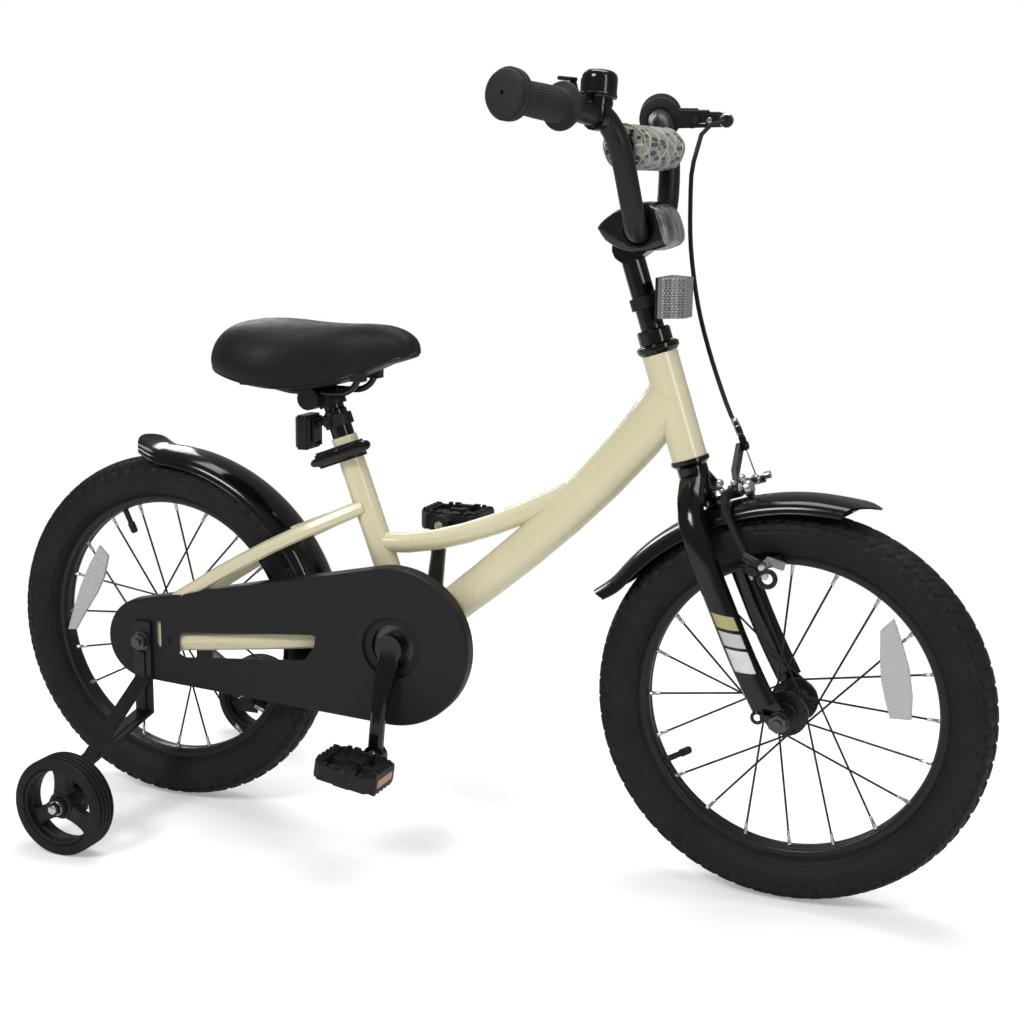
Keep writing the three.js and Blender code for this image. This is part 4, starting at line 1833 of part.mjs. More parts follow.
function saddleCushion() {
  return body(loft(saddleShares.map(saddleStation).map(({ x, half, low, high }) => {
    const right = cushionShares.map(([out, up]) => vec(x, out * half, low + up * (high - low)));
    const left = right.map((point) => vec(x, -point.y, point.z)).reverse();
    return [...right, vec(x, 0, high), ...left, vec(x, 0, low + (high - low) * 0.06)];
  })));
}

const RAIL_RADIUS = 3.5;
const RAIL_OUT = 20;
const RAIL_HEIGHT = 493;
// Rows of [share of the saddle length from the rear, rise above the clamped stretch as a share of the saddle height]
const railShares = [[0.17, 0.2], [0.3, 0.09], [0.38, 0], [0.42, 0],
  [0.62, 0], [0.66, 0.02], [0.74, 0.16], [0.83, 0.43], [0.87, 0.52]];
const RAIL_NOSE_BACK = 74;
const RAIL_NOSE_HEIGHT = 529;

function railPath() {
  const side = (turn) => railShares.map(([along, up]) => vec(
    along * SADDLE_LENGTH - SADDLE_REAR, turn * RAIL_OUT, RAIL_HEIGHT + up * SADDLE_HEIGHT,
  ));
  const nose = vec(-RAIL_NOSE_BACK, 0, RAIL_NOSE_HEIGHT);
  return new THREE.CatmullRomCurve3([...side(LEFT), nose, ...side(RIGHT).reverse()], false, 'centripetal');
}

const railsPath = railPath();
const RAIL_STEPS = 20;

function saddleRails() {
  return tube(railsPath, RAIL_RADIUS, RAIL_RADIUS, 6, RAIL_STEPS);
}

const SOCKET_HALF = 8;

function saddlePan() {
  const shell = body(loft(saddleShares.map(saddleStation).map(({ x, half, low }) => {
    const wide = half * panWidthShare;
    const top = low - GAP;
    const bottom = top - PAN_THICKNESS;
    const narrow = wide - PAN_THICKNESS / 2;
    return [vec(x, -wide, top), vec(x, wide, top), vec(x, narrow, bottom), vec(x, -narrow, bottom)];
  })));
  const socket = (along, out) => {
    const x = along * SADDLE_LENGTH - SADDLE_REAR;
    const rows = saddleShares.map(saddleStation);
    const next = rows.findIndex((row) => row.x > x);
    const share = (x - rows[next - 1].x) / (rows[next].x - rows[next - 1].x);
    const top = rows[next - 1].low + share * (rows[next].low - rows[next - 1].low) - GAP - PAN_THICKNESS / 2;
    return boxBetween(vec(x - SOCKET_HALF, out - SOCKET_HALF, top - SOCKET_HALF - PAN_THICKNESS),
      vec(x + SOCKET_HALF, out + SOCKET_HALF, top));
  };
  const holder = RAIL_RADIUS + GAP + GAP;
  return cut(
    join(shell, socket(railShares[0][0], RAIL_OUT), socket(railShares[0][0], -RAIL_OUT), socket(0.905, 0)),
    tube(railsPath, holder, holder, 6, RAIL_STEPS),
  );
}

const CLAMP_DISC_RADIUS = 12.5;
const CLAMP_DISC_HALF = 28;
const CLAMP_DISC_X = 171;
const CLAMP_DISC_HEIGHT = 486;
const BARREL_LOW = 268;
const BARREL_HIGH = 282;
const BARREL_WALL = 4;

function saddleClamp() {
  const bore = boreFor(NECK_POST_RADIUS);
  const across = (y) => vec(-CLAMP_DISC_X, y, CLAMP_DISC_HEIGHT);
  const holder = boreFor(RAIL_RADIUS + GAP, 8);
  return cut(
    join(
      rod(onSeat(0, BARREL_LOW), onSeat(0, BARREL_HIGH), bore + BARREL_WALL),
      rod(across(-CLAMP_DISC_HALF), across(CLAMP_DISC_HALF), CLAMP_DISC_RADIUS),
    ),
    rod(onSeat(0, BARREL_LOW - CLAMP_DISC_RADIUS * 2), onSeat(0, BARREL_HIGH + CLAMP_DISC_RADIUS * 2), bore),
    ...[LEFT, RIGHT].map((side) => rod(
      vec(-CLAMP_DISC_X - CLAMP_DISC_RADIUS * 2, side * RAIL_OUT, RAIL_HEIGHT),
      vec(-CLAMP_DISC_X + CLAMP_DISC_RADIUS * 2, side * RAIL_OUT, RAIL_HEIGHT), holder, 8,
    )),
  );
}

// Assembly

add(bike, 'frame', frame(), CREAM);
add(bike, 'head_cup_upper', upperCup(), GLOSS_BLACK);
add(bike, 'head_cup_lower', lowerCup(), GLOSS_BLACK);
for (const [name, side] of Object.entries(SIDES)) {
  add(bike, `bracket_cup_${name}`, bracketCup(side).translate(crankAxis.toArray()), DARK_STEEL);
}
add(bike, 'chain_guard', chainCover(), SATIN_BLACK);
add(bike, 'chain', chainSolid(), DARK_STEEL);
add(bike, 'rear_mudguard', rearMudguard(), GLOSS_BLACK);
add(bike, 'rear_brake_arm', brakeArm(), DARK_STEEL);

const rearSpacer = {
  inner: REAR_SPACING / 2 + DROPOUT_WIDTH + GAP,
  outer: COVER_REAR_FACE - coverSlack - GAP,
};
const strapInner = {
  left: REAR_SPACING / 2 + DROPOUT_WIDTH + GAP,
  right: COVER_REAR_FACE + COVER_WALL + coverSlack + GAP,
};

function rearAxle() {
  const clamped = { left: strapInner.left + STRAP_THICKNESS, right: strapInner.right + STRAP_THICKNESS };
  const spacer = rod(vec(0, -rearSpacer.inner, 0), vec(0, -rearSpacer.outer, 0), WASHER_RADIUS, 10);
  return join(axle({ left: LEFT_HUB_END, right: DRIVER_OUTER_END }, { left: BRAKE_ARM_INNER, right: REAR_SPACING / 2 },
    clamped), spacer);
}

function frontAxle() {
  const inner = { left: HUB.front.end, right: HUB.front.end };
  const locked = { left: FRONT_SPACING / 2, right: FRONT_SPACING / 2 };
  const outside = FRONT_SPACING / 2 + DROPOUT_WIDTH;
  return axle(inner, locked, { left: outside, right: outside });
}

add(rearWheel, 'rear_axle', rearAxle(), DARK_STEEL);
for (const [name, side] of Object.entries(SIDES)) {
  add(bike, `training_bracket_${name}`, trainingBracket(side, strapInner[name]), SATIN_BLACK);
  add(bike, `training_wheel_${name}`, trainingWheel(side), MATT_BLACK);
}

add(rearWheel, 'rear_tyre', tyre(), RUBBER);
add(rearWheel, 'rear_rim', rim(valveAngles.rear), GLOSS_BLACK);
add(rearWheel, 'rear_hub', hub(HUB.rear, LEFT_HUB_END), GLOSS_BLACK);
add(rearWheel, 'rear_spoke_reflector', spokeReflector(rearReflectorShares, HUB.rear, REAR_REFLECTOR_INSET), CLEAR);
add(bike, 'rear_cog', rearCog(), DARK_STEEL);

add(bike, 'crank', crank(), GLOSS_BLACK);
add(bike, 'chainring', chainring(), DARK_STEEL);
for (const [name, side] of Object.entries(SIDES)) {
  const size = crankSides[name];
  const group = new THREE.Group();
  group.position.copy(pedalPlace(size).setY(side * (size.out + EYE_WIDTH / 2 + GAP + PEDAL_NECK)));
  group.rotation.y = side === RIGHT ? THREE.MathUtils.degToRad(9) : 0;
  add(group, `pedal_${name}`, onSide(pedal(), side), MATT_BLACK);
  add(bike, `pedal_spindle_${name}`, pedalSpindle(side, size), STEEL);
  bike.add(group);
}

add(seatFrame, 'seat_collar', seatCollar(), SATIN_BLACK);
add(seatFrame, 'seat_lever', seatLever(), SATIN_BLACK);
add(seatFrame, 'seat_post', seatPost(), SATIN_BLACK);
add(seatFrame, 'rear_reflector_housing', rearReflectorHousing(), MATT_BLACK);
add(seatFrame, 'rear_reflector_lens', rearReflectorLens(), RED);
add(bike, 'saddle_clamp', saddleClamp(), DARK_STEEL);
add(bike, 'saddle_rails', saddleRails(), SATIN_BLACK);
add(bike, 'saddle_pan', saddlePan(), MATT_BLACK);
add(bike, 'saddle_cushion', saddleCushion(), MATT_BLACK);

add(steering, 'fork', fork(), GLOSS_BLACK);
add(steering, 'headset_nut', locknut(), GLOSS_BLACK);
add(steering, 'stem', stem(), GLOSS_BLACK);
add(steering, 'handlebar', handlebar(), GLOSS_BLACK);
for (const [name, side] of Object.entries(SIDES)) add(steering, `grip_${name}`, grip(side), RUBBER);
add(steering, 'crossbar_pad', crossbarPad(), GREY_CLOTH);
add(steering, 'stem_pad', stemPad(), GLOSS_BLACK);
add(steering, 'front_mudguard', frontMudguard(), GLOSS_BLACK);
add(steering, 'front_reflector_bracket', frontReflectorBracket(), MATT_BLACK);
add(steering, 'front_reflector_lens', frontReflectorLens(), CLEAR);

const bell = new THREE.Group();
standOn(bell, barPlace(BELL_OUT), RIGHT);
add(bell, 'bell_base', bellBase(), GLOSS_BLACK);
add(bell, 'bell_dome', bellDome(), GLOSS_BLACK);
add(bell, 'bell_lever', bellLever(), MATT_BLACK);
steering.add(bell);

const lever = new THREE.Group();
standOn(lever, gripPlace(PERCH_WIDTH / 2 + GAP), LEFT);
add(lever, 'brake_perch', perch(), SATIN_BLACK);
add(lever, 'brake_lever', blade(), SATIN_BLACK);
steering.add(lever);
lever.updateMatrix();
const leverPoint = (back) => vec(PERCH_REACH, -PERCH_WIDTH / 2 - back, 0).applyMatrix4(lever.matrix);
add(steering, 'cable_housing', cableHousing([leverPoint(OVERRUN), leverPoint(BARREL_LENGTH + OVERRUN)]), MATT_BLACK);
add(steering, 'brake_wire', brakeWire(), STEEL);
add(steering, 'brake_bolt', brakeBolt(), STEEL);
add(steering, 'caliper_stop_arm', stopArm(), SATIN_BLACK);
add(steering, 'caliper_anchor_arm', anchorArm(), SATIN_BLACK);

add(frontEnd, 'front_axle', frontAxle(), DARK_STEEL);
add(frontEnd, 'front_tyre', tyre(), RUBBER);
add(frontEnd, 'front_rim', rim(valveAngles.front), GLOSS_BLACK);
add(frontEnd, 'front_hub', hub(HUB.front, HUB.front.end), GLOSS_BLACK);
add(frontEnd, 'front_spoke_reflector', spokeReflector(frontReflectorShares, HUB.front, FRONT_REFLECTOR_INSET), CLEAR);

export default bike;
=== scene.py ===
"""Finished look of a kids bicycle with training wheels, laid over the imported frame."""
import itertools
import math

import bmesh
import bpy
from mathutils import Matrix, Vector
from mathutils.bvhtree import BVHTree

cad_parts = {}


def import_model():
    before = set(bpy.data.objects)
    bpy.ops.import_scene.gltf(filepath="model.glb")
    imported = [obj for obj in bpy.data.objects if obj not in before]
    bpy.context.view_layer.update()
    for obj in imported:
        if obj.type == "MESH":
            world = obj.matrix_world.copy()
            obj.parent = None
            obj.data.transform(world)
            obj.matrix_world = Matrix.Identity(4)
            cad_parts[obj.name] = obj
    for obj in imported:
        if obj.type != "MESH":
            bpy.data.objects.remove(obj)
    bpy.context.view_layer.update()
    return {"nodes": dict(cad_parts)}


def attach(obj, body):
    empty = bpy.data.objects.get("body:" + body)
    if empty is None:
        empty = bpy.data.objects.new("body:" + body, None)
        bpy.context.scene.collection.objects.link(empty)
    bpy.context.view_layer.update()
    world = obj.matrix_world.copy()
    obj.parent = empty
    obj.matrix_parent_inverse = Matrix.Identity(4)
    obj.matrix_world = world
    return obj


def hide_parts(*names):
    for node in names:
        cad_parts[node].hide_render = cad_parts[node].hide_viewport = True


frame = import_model()
NODES = frame["nodes"]
scene = bpy.context.scene
MM = 0.001
SIDES = {"left": 1, "right": -1}


# Frames and points


def mm(*spot):
    """A point given in mm."""
    return Vector(spot) * MM


def shift(*spot):
    """A move given in mm."""
    return Matrix.Translation(mm(*spot))


def turn(degrees, axis):
    return Matrix.Rotation(math.radians(degrees), 4, axis)


def framed(x, y, z, centre):
    """Frame at centre with the given axes."""
    return Matrix((*zip(x, y, z, centre), (0, 0, 0, 1)))


def leaning(centre, lean):
    """Frame at centre whose up axis leans back by lean."""
    c, s = math.cos(lean), math.sin(lean)
    return framed((c, 0, s), (0, 1, 0), (-s, 0, c), centre)


def facing_near(*spot):
    """Frame at a point in mm, with its third axis toward the near side."""
    return shift(*spot) @ turn(90, "X")


def along_y(centre, side=1):
    """Frame at centre whose third axis points along Y to one side."""
    return framed((1, 0, 0), (0, 0, -side), (0, side, 0), centre)


def toward(centre, direction):
    """Frame at centre whose third axis points along direction."""
    z = Vector(direction).normalized()
    x = Vector((0, 0, 1)).cross(z)
    if x.length < 1e-6:
        x = Vector((1, 0, 0))
    x.normalize()
    return framed(x, z.cross(x), z, centre)


def mirror(point):
    return Vector((point.x, -point.y, point.z))


def copies(spot, axes="xyz"):
    """A place and its mirror images over the given axes."""
    signs = [(1, -1) if value and name in axes else (1,) for name, value in zip("xyz", spot)]
    return [[v * sign for v, sign in zip(spot, choice)] for choice in itertools.product(*signs)]


def polar(centre, radius, angle, y=0.0):
    """A point at a radius and angle about centre, with its radius and y in mm."""
    reach = radius * MM
    return Vector((centre.x + math.cos(angle) * reach, y * MM, centre.z + math.sin(angle) * reach))


def circle(place, radius, along, steps, wave=None):
    """Points in mm round the third axis of place. The wave scales the radius at each step."""
    points = []
    for k in range(steps):
        angle = math.tau * k / steps
        reach = radius * MM * (wave(k) if wave else 1)
        points.append(place @ Vector((math.cos(angle) * reach, math.sin(angle) * reach, along * MM)))
    return points


def both_sides(half):
    """A profile and its mirror image, from rows of (radius, along)."""
    return half + [(r, -y) for r, y in reversed(half) if y]


def smoothstep(edge0, edge1, x):
    t = max(0.0, min(1.0, (x - edge0) / (edge1 - edge0)))
    return t * t * (3 - 2 * t)


def curve_points(points, count):
    """Points along a Catmull-Rom curve through rows of numbers."""
    rows = [points[0], *points, points[-1]]
    spans = len(points) - 1
    out = []
    for k in range(count):
        t = spans * k / (count - 1)
        i = min(int(t), spans - 1)
        u = t - i
        point = []
        for a, b, c, d in zip(*rows[i:i + 4]):
            bend = (2 * a - 5 * b + 4 * c - d) * u * u + (3 * b - a - 3 * c + d) * u ** 3
            point.append(0.5 * (2 * b + (c - a) * u + bend))
        out.append(tuple(point))
    return out


# Hub centres, and the two leaning frames that the parts are drawn in
HUB = {"front": Vector((0.365, 0, 0.203)), "rear": Vector((-0.365, 0, 0.203))}
CRANK = Vector((-0.05982, 0, 0.226))
STEER_LEAN = math.radians(18.4)
STEER = leaning(Vector((0.33521, 0, 0.19309)), STEER_LEAN)
SEAT = leaning(CRANK, math.radians(20.5))
LEVER_ACROSS = Vector((0.9592, 0.2828, 0))
LEVER_UP = Vector((0.026, -0.0882, 0.9958))
LEVER = framed(LEVER_ACROSS, LEVER_UP.cross(LEVER_ACROSS), LEVER_UP, Vector((0.16441, 0.14393, 0.78634)))


# Materials


class Nodes:
    """Short calls for the nodes of one tree."""

    def __init__(self, tree):
        self.tree = tree

    def feed(self, socket, value):
        """Links an output to a socket, or sets the socket to a plain value."""
        if isinstance(value, bpy.types.NodeSocket):
            self.tree.links.new(value, socket)
        else:
            socket.default_value = value

    def node(self, kind, inputs=(), **settings):
        """A new node with its settings, and its inputs by name or number."""
        made = self.tree.nodes.new(kind)
        for key, value in settings.items():
            setattr(made, key, value)
        for key, value in dict(inputs).items():
            self.feed(made.inputs[key], value)
        return made


class Look(Nodes):
    """A Principled material with short calls for its procedural nodes."""

    def __init__(self, name, colour, rough, **sockets):
        self.material = bpy.data.materials.new(name)
        self.material.use_nodes = True
        super().__init__(self.material.node_tree)
        self.shader = self.tree.nodes["Principled BSDF"]
        self.colour = colour
        self.put("Base Color", (*colour, 1))
        self.put("Roughness", rough)
        for key, value in sockets.items():
            self.put(key.replace("_", " ").title().replace("Ior", "IOR"), value)
        self.place = self.node("ShaderNodeTexCoord").outputs["Object"]
        self.normal = None

    def put(self, socket, value):
        self.feed(self.shader.inputs[socket], value)
        return self

    def mapped(self, scale, turned=(0, 0, 0)):
        inputs = {"Vector": self.place, "Scale": scale, "Rotation": turned}
        return self.node("ShaderNodeMapping", inputs).outputs["Vector"]

    def noise(self, scale, detail=3, rough=0.5, source=None):
        inputs = {"Vector": source or self.place, "Scale": scale, "Detail": detail, "Roughness": rough}
        return self.node("ShaderNodeTexNoise", inputs).outputs["Fac"]

    def cells(self, scale, source=None):
        inputs = {"Vector": source or self.place, "Scale": scale}
        return self.node("ShaderNodeTexVoronoi", inputs).outputs["Distance"]

    def waves(self, scale, bands="X", source=None, profile="SIN"):
        inputs = {"Vector": source or self.place, "Scale": scale}
        settings = {"bands_direction": bands, "wave_profile": profile}
        return self.node("ShaderNodeTexWave", inputs, **settings).outputs["Fac"]

    def prisms(self, pitch, across, bands="DIAGONAL"):
        """Rows of small prisms, cut across by others."""
        rows = self.waves(pitch, "Z", profile="TRI")
        return self.math("MULTIPLY", rows, self.waves(across, bands, profile="TRI"))

    def math(self, operation, a, b):
        return self.node("ShaderNodeMath", {0: a, 1: b}, operation=operation).outputs[0]

    def mix(self, fac, a, b):
        """Colour a where fac is 0 and b where it is 1."""
        return self.node("ShaderNodeMix", {"Factor": fac, 6: a, 7: b}, data_type="RGBA").outputs[2]

    def ramp(self, fac, start, low, end, high):
        """Colour runs from low at start to high at end."""
        made = self.node("ShaderNodeValToRGB", {"Fac": fac})
        for element, at, colour in zip(made.color_ramp.elements, (start, end), (low, high)):
            element.position = at
            element.color = (*colour, 1)
        return made.outputs["Color"]

    def tint(self, fac, share, start=0.3, end=0.7):
        """Colour varies by a share either way."""
        low = [v * (1 - share) for v in self.colour]
        high = [min(1, v * (1 + share)) for v in self.colour]
        return self.put("Base Color", self.ramp(fac, start, low, end, high))

    def vary(self, fac, low, high):
        """Roughness runs from low to high."""
        return self.put("Roughness", self.ramp(fac, 0.3, (low,) * 3, 0.7, (high,) * 3))

    def bump(self, height, strength, distance):
        """A bump with its distance in mm, on top of the bumps before it."""
        inputs = {"Strength": strength, "Distance": distance * MM, "Height": height}
        made = self.node("ShaderNodeBump", inputs)
        if self.normal:
            self.feed(made.inputs["Normal"], self.normal)
        self.normal = made.outputs["Normal"]
        return self.put("Normal", self.normal)

    def worn(self, tint, vary, *bumps):
        """Colour, roughness and surface follow noises, or cells where a row starts with a bare scale."""
        def texture(source):
            return self.noise(*source) if isinstance(source, tuple) else self.cells(source)

        self.tint(texture(tint[0]), tint[1])
        if vary:
            self.vary(texture(vary[0]), *vary[1:])
        for source, strength, distance in bumps:
            self.bump(texture(source), strength, distance)
        return self


def paint_look():
    look = Look("cream_paint", (0.7, 0.645, 0.43), 0.3, coat_weight=0.35, coat_roughness=0.12)
    return look.worn(((9, 2), 0.035), ((60, 3), 0.24, 0.36), ((420, 2), 0.05, 0.15))


def gloss_look():
    look = Look("gloss_black", (0.0035, 0.0035, 0.0037), 0.13, specular_ior_level=0.4)
    return look.worn(((14, 3), 0.15), ((70, 3), 0.09, 0.18), ((350, 2), 0.05, 0.15))


def satin_look():
    look = Look("satin_black", (0.008, 0.008, 0.0083), 0.34, specular_ior_level=0.32)
    return look.worn(((18, 4), 0.15), ((90, 4), 0.3, 0.44), ((900, 2), 0.12, 0.1))


def guard_look():
    look = Look("guard_plastic", (0.0125, 0.0125, 0.0125), 0.48, specular_ior_level=0.22)
    return look.worn(((8, 4), 0.08), ((45, 4), 0.4, 0.52), (1500, 0.12, 0.1))


def plastic_look():
    look = Look("moulded_black", (0.0085, 0.0085, 0.0088), 0.46, specular_ior_level=0.28)
    return look.worn(((30, 4), 0.14), ((120, 3), 0.42, 0.58), (1900, 0.16, 0.12))


def tyre_look():
    look = Look("tyre_rubber", (0.0105, 0.0102, 0.0098), 0.6, specular_ior_level=0.22)
    return look.worn(((26, 5, 0.6), 0.22), ((140, 3), 0.54, 0.72), ((700, 3), 0.2, 0.2), ((60, 2), 0.1, 0.4))


def grip_look():
    look = Look("grip_rubber", (0.0185, 0.0185, 0.0188), 0.62, specular_ior_level=0.25, sheen_weight=0.05)
    return look.worn(((60, 4), 0.15), ((160, 3), 0.58, 0.76), (2600, 0.25, 0.12))


def saddle_look():
    look = Look("saddle_vinyl", (0.0095, 0.0095, 0.0095), 0.5, specular_ior_level=0.17, sheen_weight=0.02)
    return look.worn(((24, 4), 0.12), ((80, 4), 0.46, 0.56), (1150, 0.28, 0.22), ((300, 3), 0.12, 0.3))


def vinyl_look():
    """Glossy black vinyl with creases, and a grey panel on the front of the stem pad."""
    look = Look("pad_vinyl", (0.0045, 0.0045, 0.0047), 0.15, specular_ior_level=0.55)
    steer_ahead = (0.9489, 0, 0.3156)
    panel_from = 0.4235
    ahead = look.node("ShaderNodeVectorMath", {0: look.place, 1: steer_ahead}, operation="DOT_PRODUCT")
    panel = look.math("GREATER_THAN", ahead.outputs["Value"], panel_from)
    streaks = look.noise(70, 4, 0.6, look.mapped((1, 1, 0.35)))
    grey = look.ramp(streaks, 0.35, (0.03, 0.03, 0.03), 0.62, (0.24, 0.24, 0.245))
    black = look.ramp(look.noise(60, 4), 0.3, (0.003, 0.003, 0.003), 0.7, (0.007, 0.007, 0.0073))
    look.put("Base Color", look.mix(panel, black, grey))
    look.vary(look.noise(60, 4), 0.07, 0.17)
    look.bump(look.noise(34, 3, 0.55), 0.45, 2.2)
    return look.bump(look.cells(900), 0.1, 0.1)


def steel_look(name, value, rough):
    look = Look(name, (value, value, value * 1.01), rough, metallic=1.0)
    return look.worn(((110, 4), 0.12), ((240, 4, 0.6), rough * 0.7, rough * 1.35), ((900, 2), 0.1, 0.08))


def prism_look(name, colour, rough, pitch, through=0.0):
    """Clear plastic with rows of small prisms behind a smooth face."""
    look = Look(name, colour, rough, transmission_weight=through, specular_ior_level=0.7, coat_weight=0.4)
    both = look.prisms(pitch, pitch)
    return look.tint(both, 0.3, 0.1, 0.9).bump(both, 0.5, 0.5)


def banded_lens_look():
    """Clear lens with a fine prism grid in upright bands, darker between them."""
    look = prism_look("clear_lens", (0.24, 0.245, 0.255), 0.16, 120, 0.1)
    bands = look.waves(29, "X", look.mapped((0.9, 0.55, 0.3)))
    grid = look.prisms(112, 112, "Y")
    pale = look.mix(grid, (0.14, 0.142, 0.15, 1), (0.42, 0.425, 0.44, 1))
    dark = look.mix(grid, (0.08, 0.082, 0.088, 1), (0.26, 0.265, 0.275, 1))
    edge = look.ramp(bands, 0.35, (0, 0, 0), 0.5, (1, 1, 1))
    return look.put("Base Color", look.mix(edge, dark, pale))


def spoke_reflector_look():
    look = Look("frosted_lens", (0.6, 0.605, 0.61), 0.34, transmission_weight=0.25, specular_ior_level=0.4)
    fine = look.prisms(118, 150)
    look.tint(fine, 0.17, 0.0, 0.7)
    look.vary(look.noise(90, 3), 0.28, 0.42)
    return look.bump(fine, 0.4, 0.5)


def band_look(name, colour):
    look = Look(name, colour, 0.34, coat_weight=0.25)
    return look.worn(((120, 3), 0.07), None, ((700, 2), 0.06, 0.1))


def shoe_look():
    return Look("shoe_holder", (0.24, 0.24, 0.24), 0.45).worn(((150, 3), 0.2), None, ((500, 3), 0.2, 0.2))


def pad_print_look():
    """Grey cloth with a plain print of short dashes and specks."""
    look = Look("pad_print", (0.3, 0.3, 0.3), 0.5, sheen_weight=0.15)
    slant = look.mapped((1, 1, 1), (0.5, 0.2, math.radians(38)))
    dashes = look.cells(62, look.mapped((2.6, 0.7, 2.6), (0.4, 0, 0.5)))
    dark = look.math("LESS_THAN", dashes, look.math("MULTIPLY", look.noise(26, 2), 0.72))
    dark = look.math("MAXIMUM", dark, look.math("LESS_THAN", look.cells(210), 0.16))
    bars = look.math("GREATER_THAN", look.waves(24, "X", slant), 0.93)
    bars = look.math("MULTIPLY", bars, look.math("GREATER_THAN", look.noise(30, 1), 0.46))
    thin = look.math("GREATER_THAN", look.waves(21, "Z", slant), 0.965)
    ground = look.mix(look.noise(120, 4), (0.2, 0.2, 0.197, 1), (0.3, 0.3, 0.295, 1))
    colour = look.mix(thin, ground, (0.5, 0.5, 0.49, 1))
    colour = look.mix(dark, colour, (0.012, 0.012, 0.012, 1))
    look.put("Base Color", look.mix(bars, colour, (0.5, 0.49, 0.27, 1)))
    look.vary(look.noise(200, 3), 0.38, 0.6)
    look.bump(look.noise(70, 3), 0.45, 1.6)
    return look.bump(look.math("MULTIPLY", look.waves(620, "X"), look.waves(620, "Y")), 0.3, 0.15)


def trim_look():
    look = Look("pad_trim", (0.36, 0.36, 0.2), 0.5)
    return look.worn(((150, 3), 0.2), ((200, 3), 0.42, 0.6)).bump(look.waves(700, "Z"), 0.3, 0.2)


LOOKS = {
    "paint": paint_look(),
    "gloss": gloss_look(),
    "satin": satin_look(),
    "rim": satin_look(),
    "hub": satin_look(),
    "spoke": satin_look(),
    "bar": satin_look(),
    "guard": guard_look(),
    "plastic": plastic_look(),
    "cable": plastic_look(),
    "tyre": tyre_look(),
    "grip": grip_look(),
    "saddle": saddle_look(),
    "vinyl": vinyl_look(),
    "zinc": steel_look("zinc_steel", 0.56, 0.28),
    "dark": steel_look("dark_steel", 0.1, 0.4),
    "clear": banded_lens_look(),
    "frosted": spoke_reflector_look(),
    "red": prism_look("red_lens", (0.13, 0.004, 0.004), 0.16, 190),
    "amber": prism_look("amber_lens", (0.46, 0.15, 0.018), 0.2, 240),
    "olive_band": band_look("olive_band", (0.42, 0.38, 0.16)),
    "silver_band": band_look("silver_band", (0.52, 0.52, 0.53)),
    "pale_band": band_look("pale_band", (0.68, 0.68, 0.69)),
    "shoe": shoe_look(),
    "pad_print": pad_print_look(),
    "pad_trim": trim_look(),
}


# Meshes


class Shape:
    """Faces gathered for one object."""

    def __init__(self):
        self.verts = []
        self.faces = []

    def add(self, verts, faces):
        start = len(self.verts)
        self.verts.extend(Vector(v) for v in verts)
        self.faces.extend([start + i for i in face] for face in faces)
        return self

    def grid(self, rows, around=True, along=False):
        """Quads between rows of points. The rows may close on themselves, and the last onto the first."""
        count = len(rows[0])
        faces = []
        for i in range(len(rows) if along else len(rows) - 1):
            j = (i + 1) % len(rows)
            for k in range(count if around else count - 1):
                m = (k + 1) % count
                faces.append((i * count + k, i * count + m, j * count + m, j * count + k))
        return self.add([p for row in rows for p in row], faces)

    def capped(self, rows):
        """A closed body through rings, with a fan at each end."""
        count = len(rows[0])
        start = len(self.verts)
        self.grid(rows)
        for row, flip in ((0, True), (len(rows) - 1, False)):
            self.verts.append(sum((Vector(p) for p in rows[row]), Vector()) / count)
            tip = len(self.verts) - 1
            for k in range(count):
                a, b = start + row * count + k, start + row * count + (k + 1) % count
                self.faces.append([tip, b, a] if flip else [tip, a, b])
        return self

    def turned(self, profile, place, steps=32, closed=False, wave=None):
        """A lathe body. Profile rows are (radius, along) in mm about the third axis of place."""
        rows = [circle(place, radius, along, steps, wave) for radius, along in profile]
        return self.grid(rows, along=True) if closed else self.capped(rows)

    def tube(self, points, radius, steps=12):
        """A tube in mm radius through points, with a radius for each point or for all."""
        radii = radius if isinstance(radius, list) else [radius] * len(points)
        rows = []
        across = None
        for i, point in enumerate(points):
            ahead = points[min(i + 1, len(points) - 1)] - points[max(i - 1, 0)]
            ahead.normalize()
            if across is None:
                across = ahead.orthogonal().normalized()
            across = (across - ahead * across.dot(ahead)).normalized()
            rows.append(circle(framed(across, ahead.cross(across), ahead, point), radii[i], 0, steps))
        return self.capped(rows)

    def block(self, place, half, taper=1.0):
        """A box with half sizes in mm in a frame, its top narrowed by taper."""
        corners = []
        for up, narrow in ((-1, 1), (1, taper)):
            for x, y in ((-1, -1), (1, -1), (1, 1), (-1, 1)):
                corners.append(place @ mm(x * half[0] * narrow, y * half[1] * narrow, up * half[2]))
        sides = [(3, 2, 1, 0), (4, 5, 6, 7), (0, 1, 5, 4), (1, 2, 6, 5), (2, 3, 7, 6), (3, 0, 4, 7)]
        return self.add(corners, sides)

    def blocks(self, place, *rows):
        """Boxes from rows of [spot, half sizes, taper] in mm."""
        for spot, *size in rows:
            self.block(place @ shift(*spot), *size)
        return self

    def make(self, name, body, look, slot, bevel=0.0, angle=34, replaces=(), weld=True):
        mesh = bpy.data.meshes.new(name)
        mesh.from_pydata(self.verts, [], self.faces)
        bm = opened(mesh, 0.001 * MM if weld else 0)
        bmesh.ops.recalc_face_normals(bm, faces=bm.faces)
        shut(bm, mesh)
        return dress(name, mesh, body, look, bevel, angle, replaces)


def opened(mesh, gap):
    """Editable copy of a mesh, with its vertices joined where they lie within gap."""
    bm = bmesh.new()
    bm.from_mesh(mesh)
    if gap:
        bmesh.ops.remove_doubles(bm, verts=bm.verts, dist=gap)
    return bm


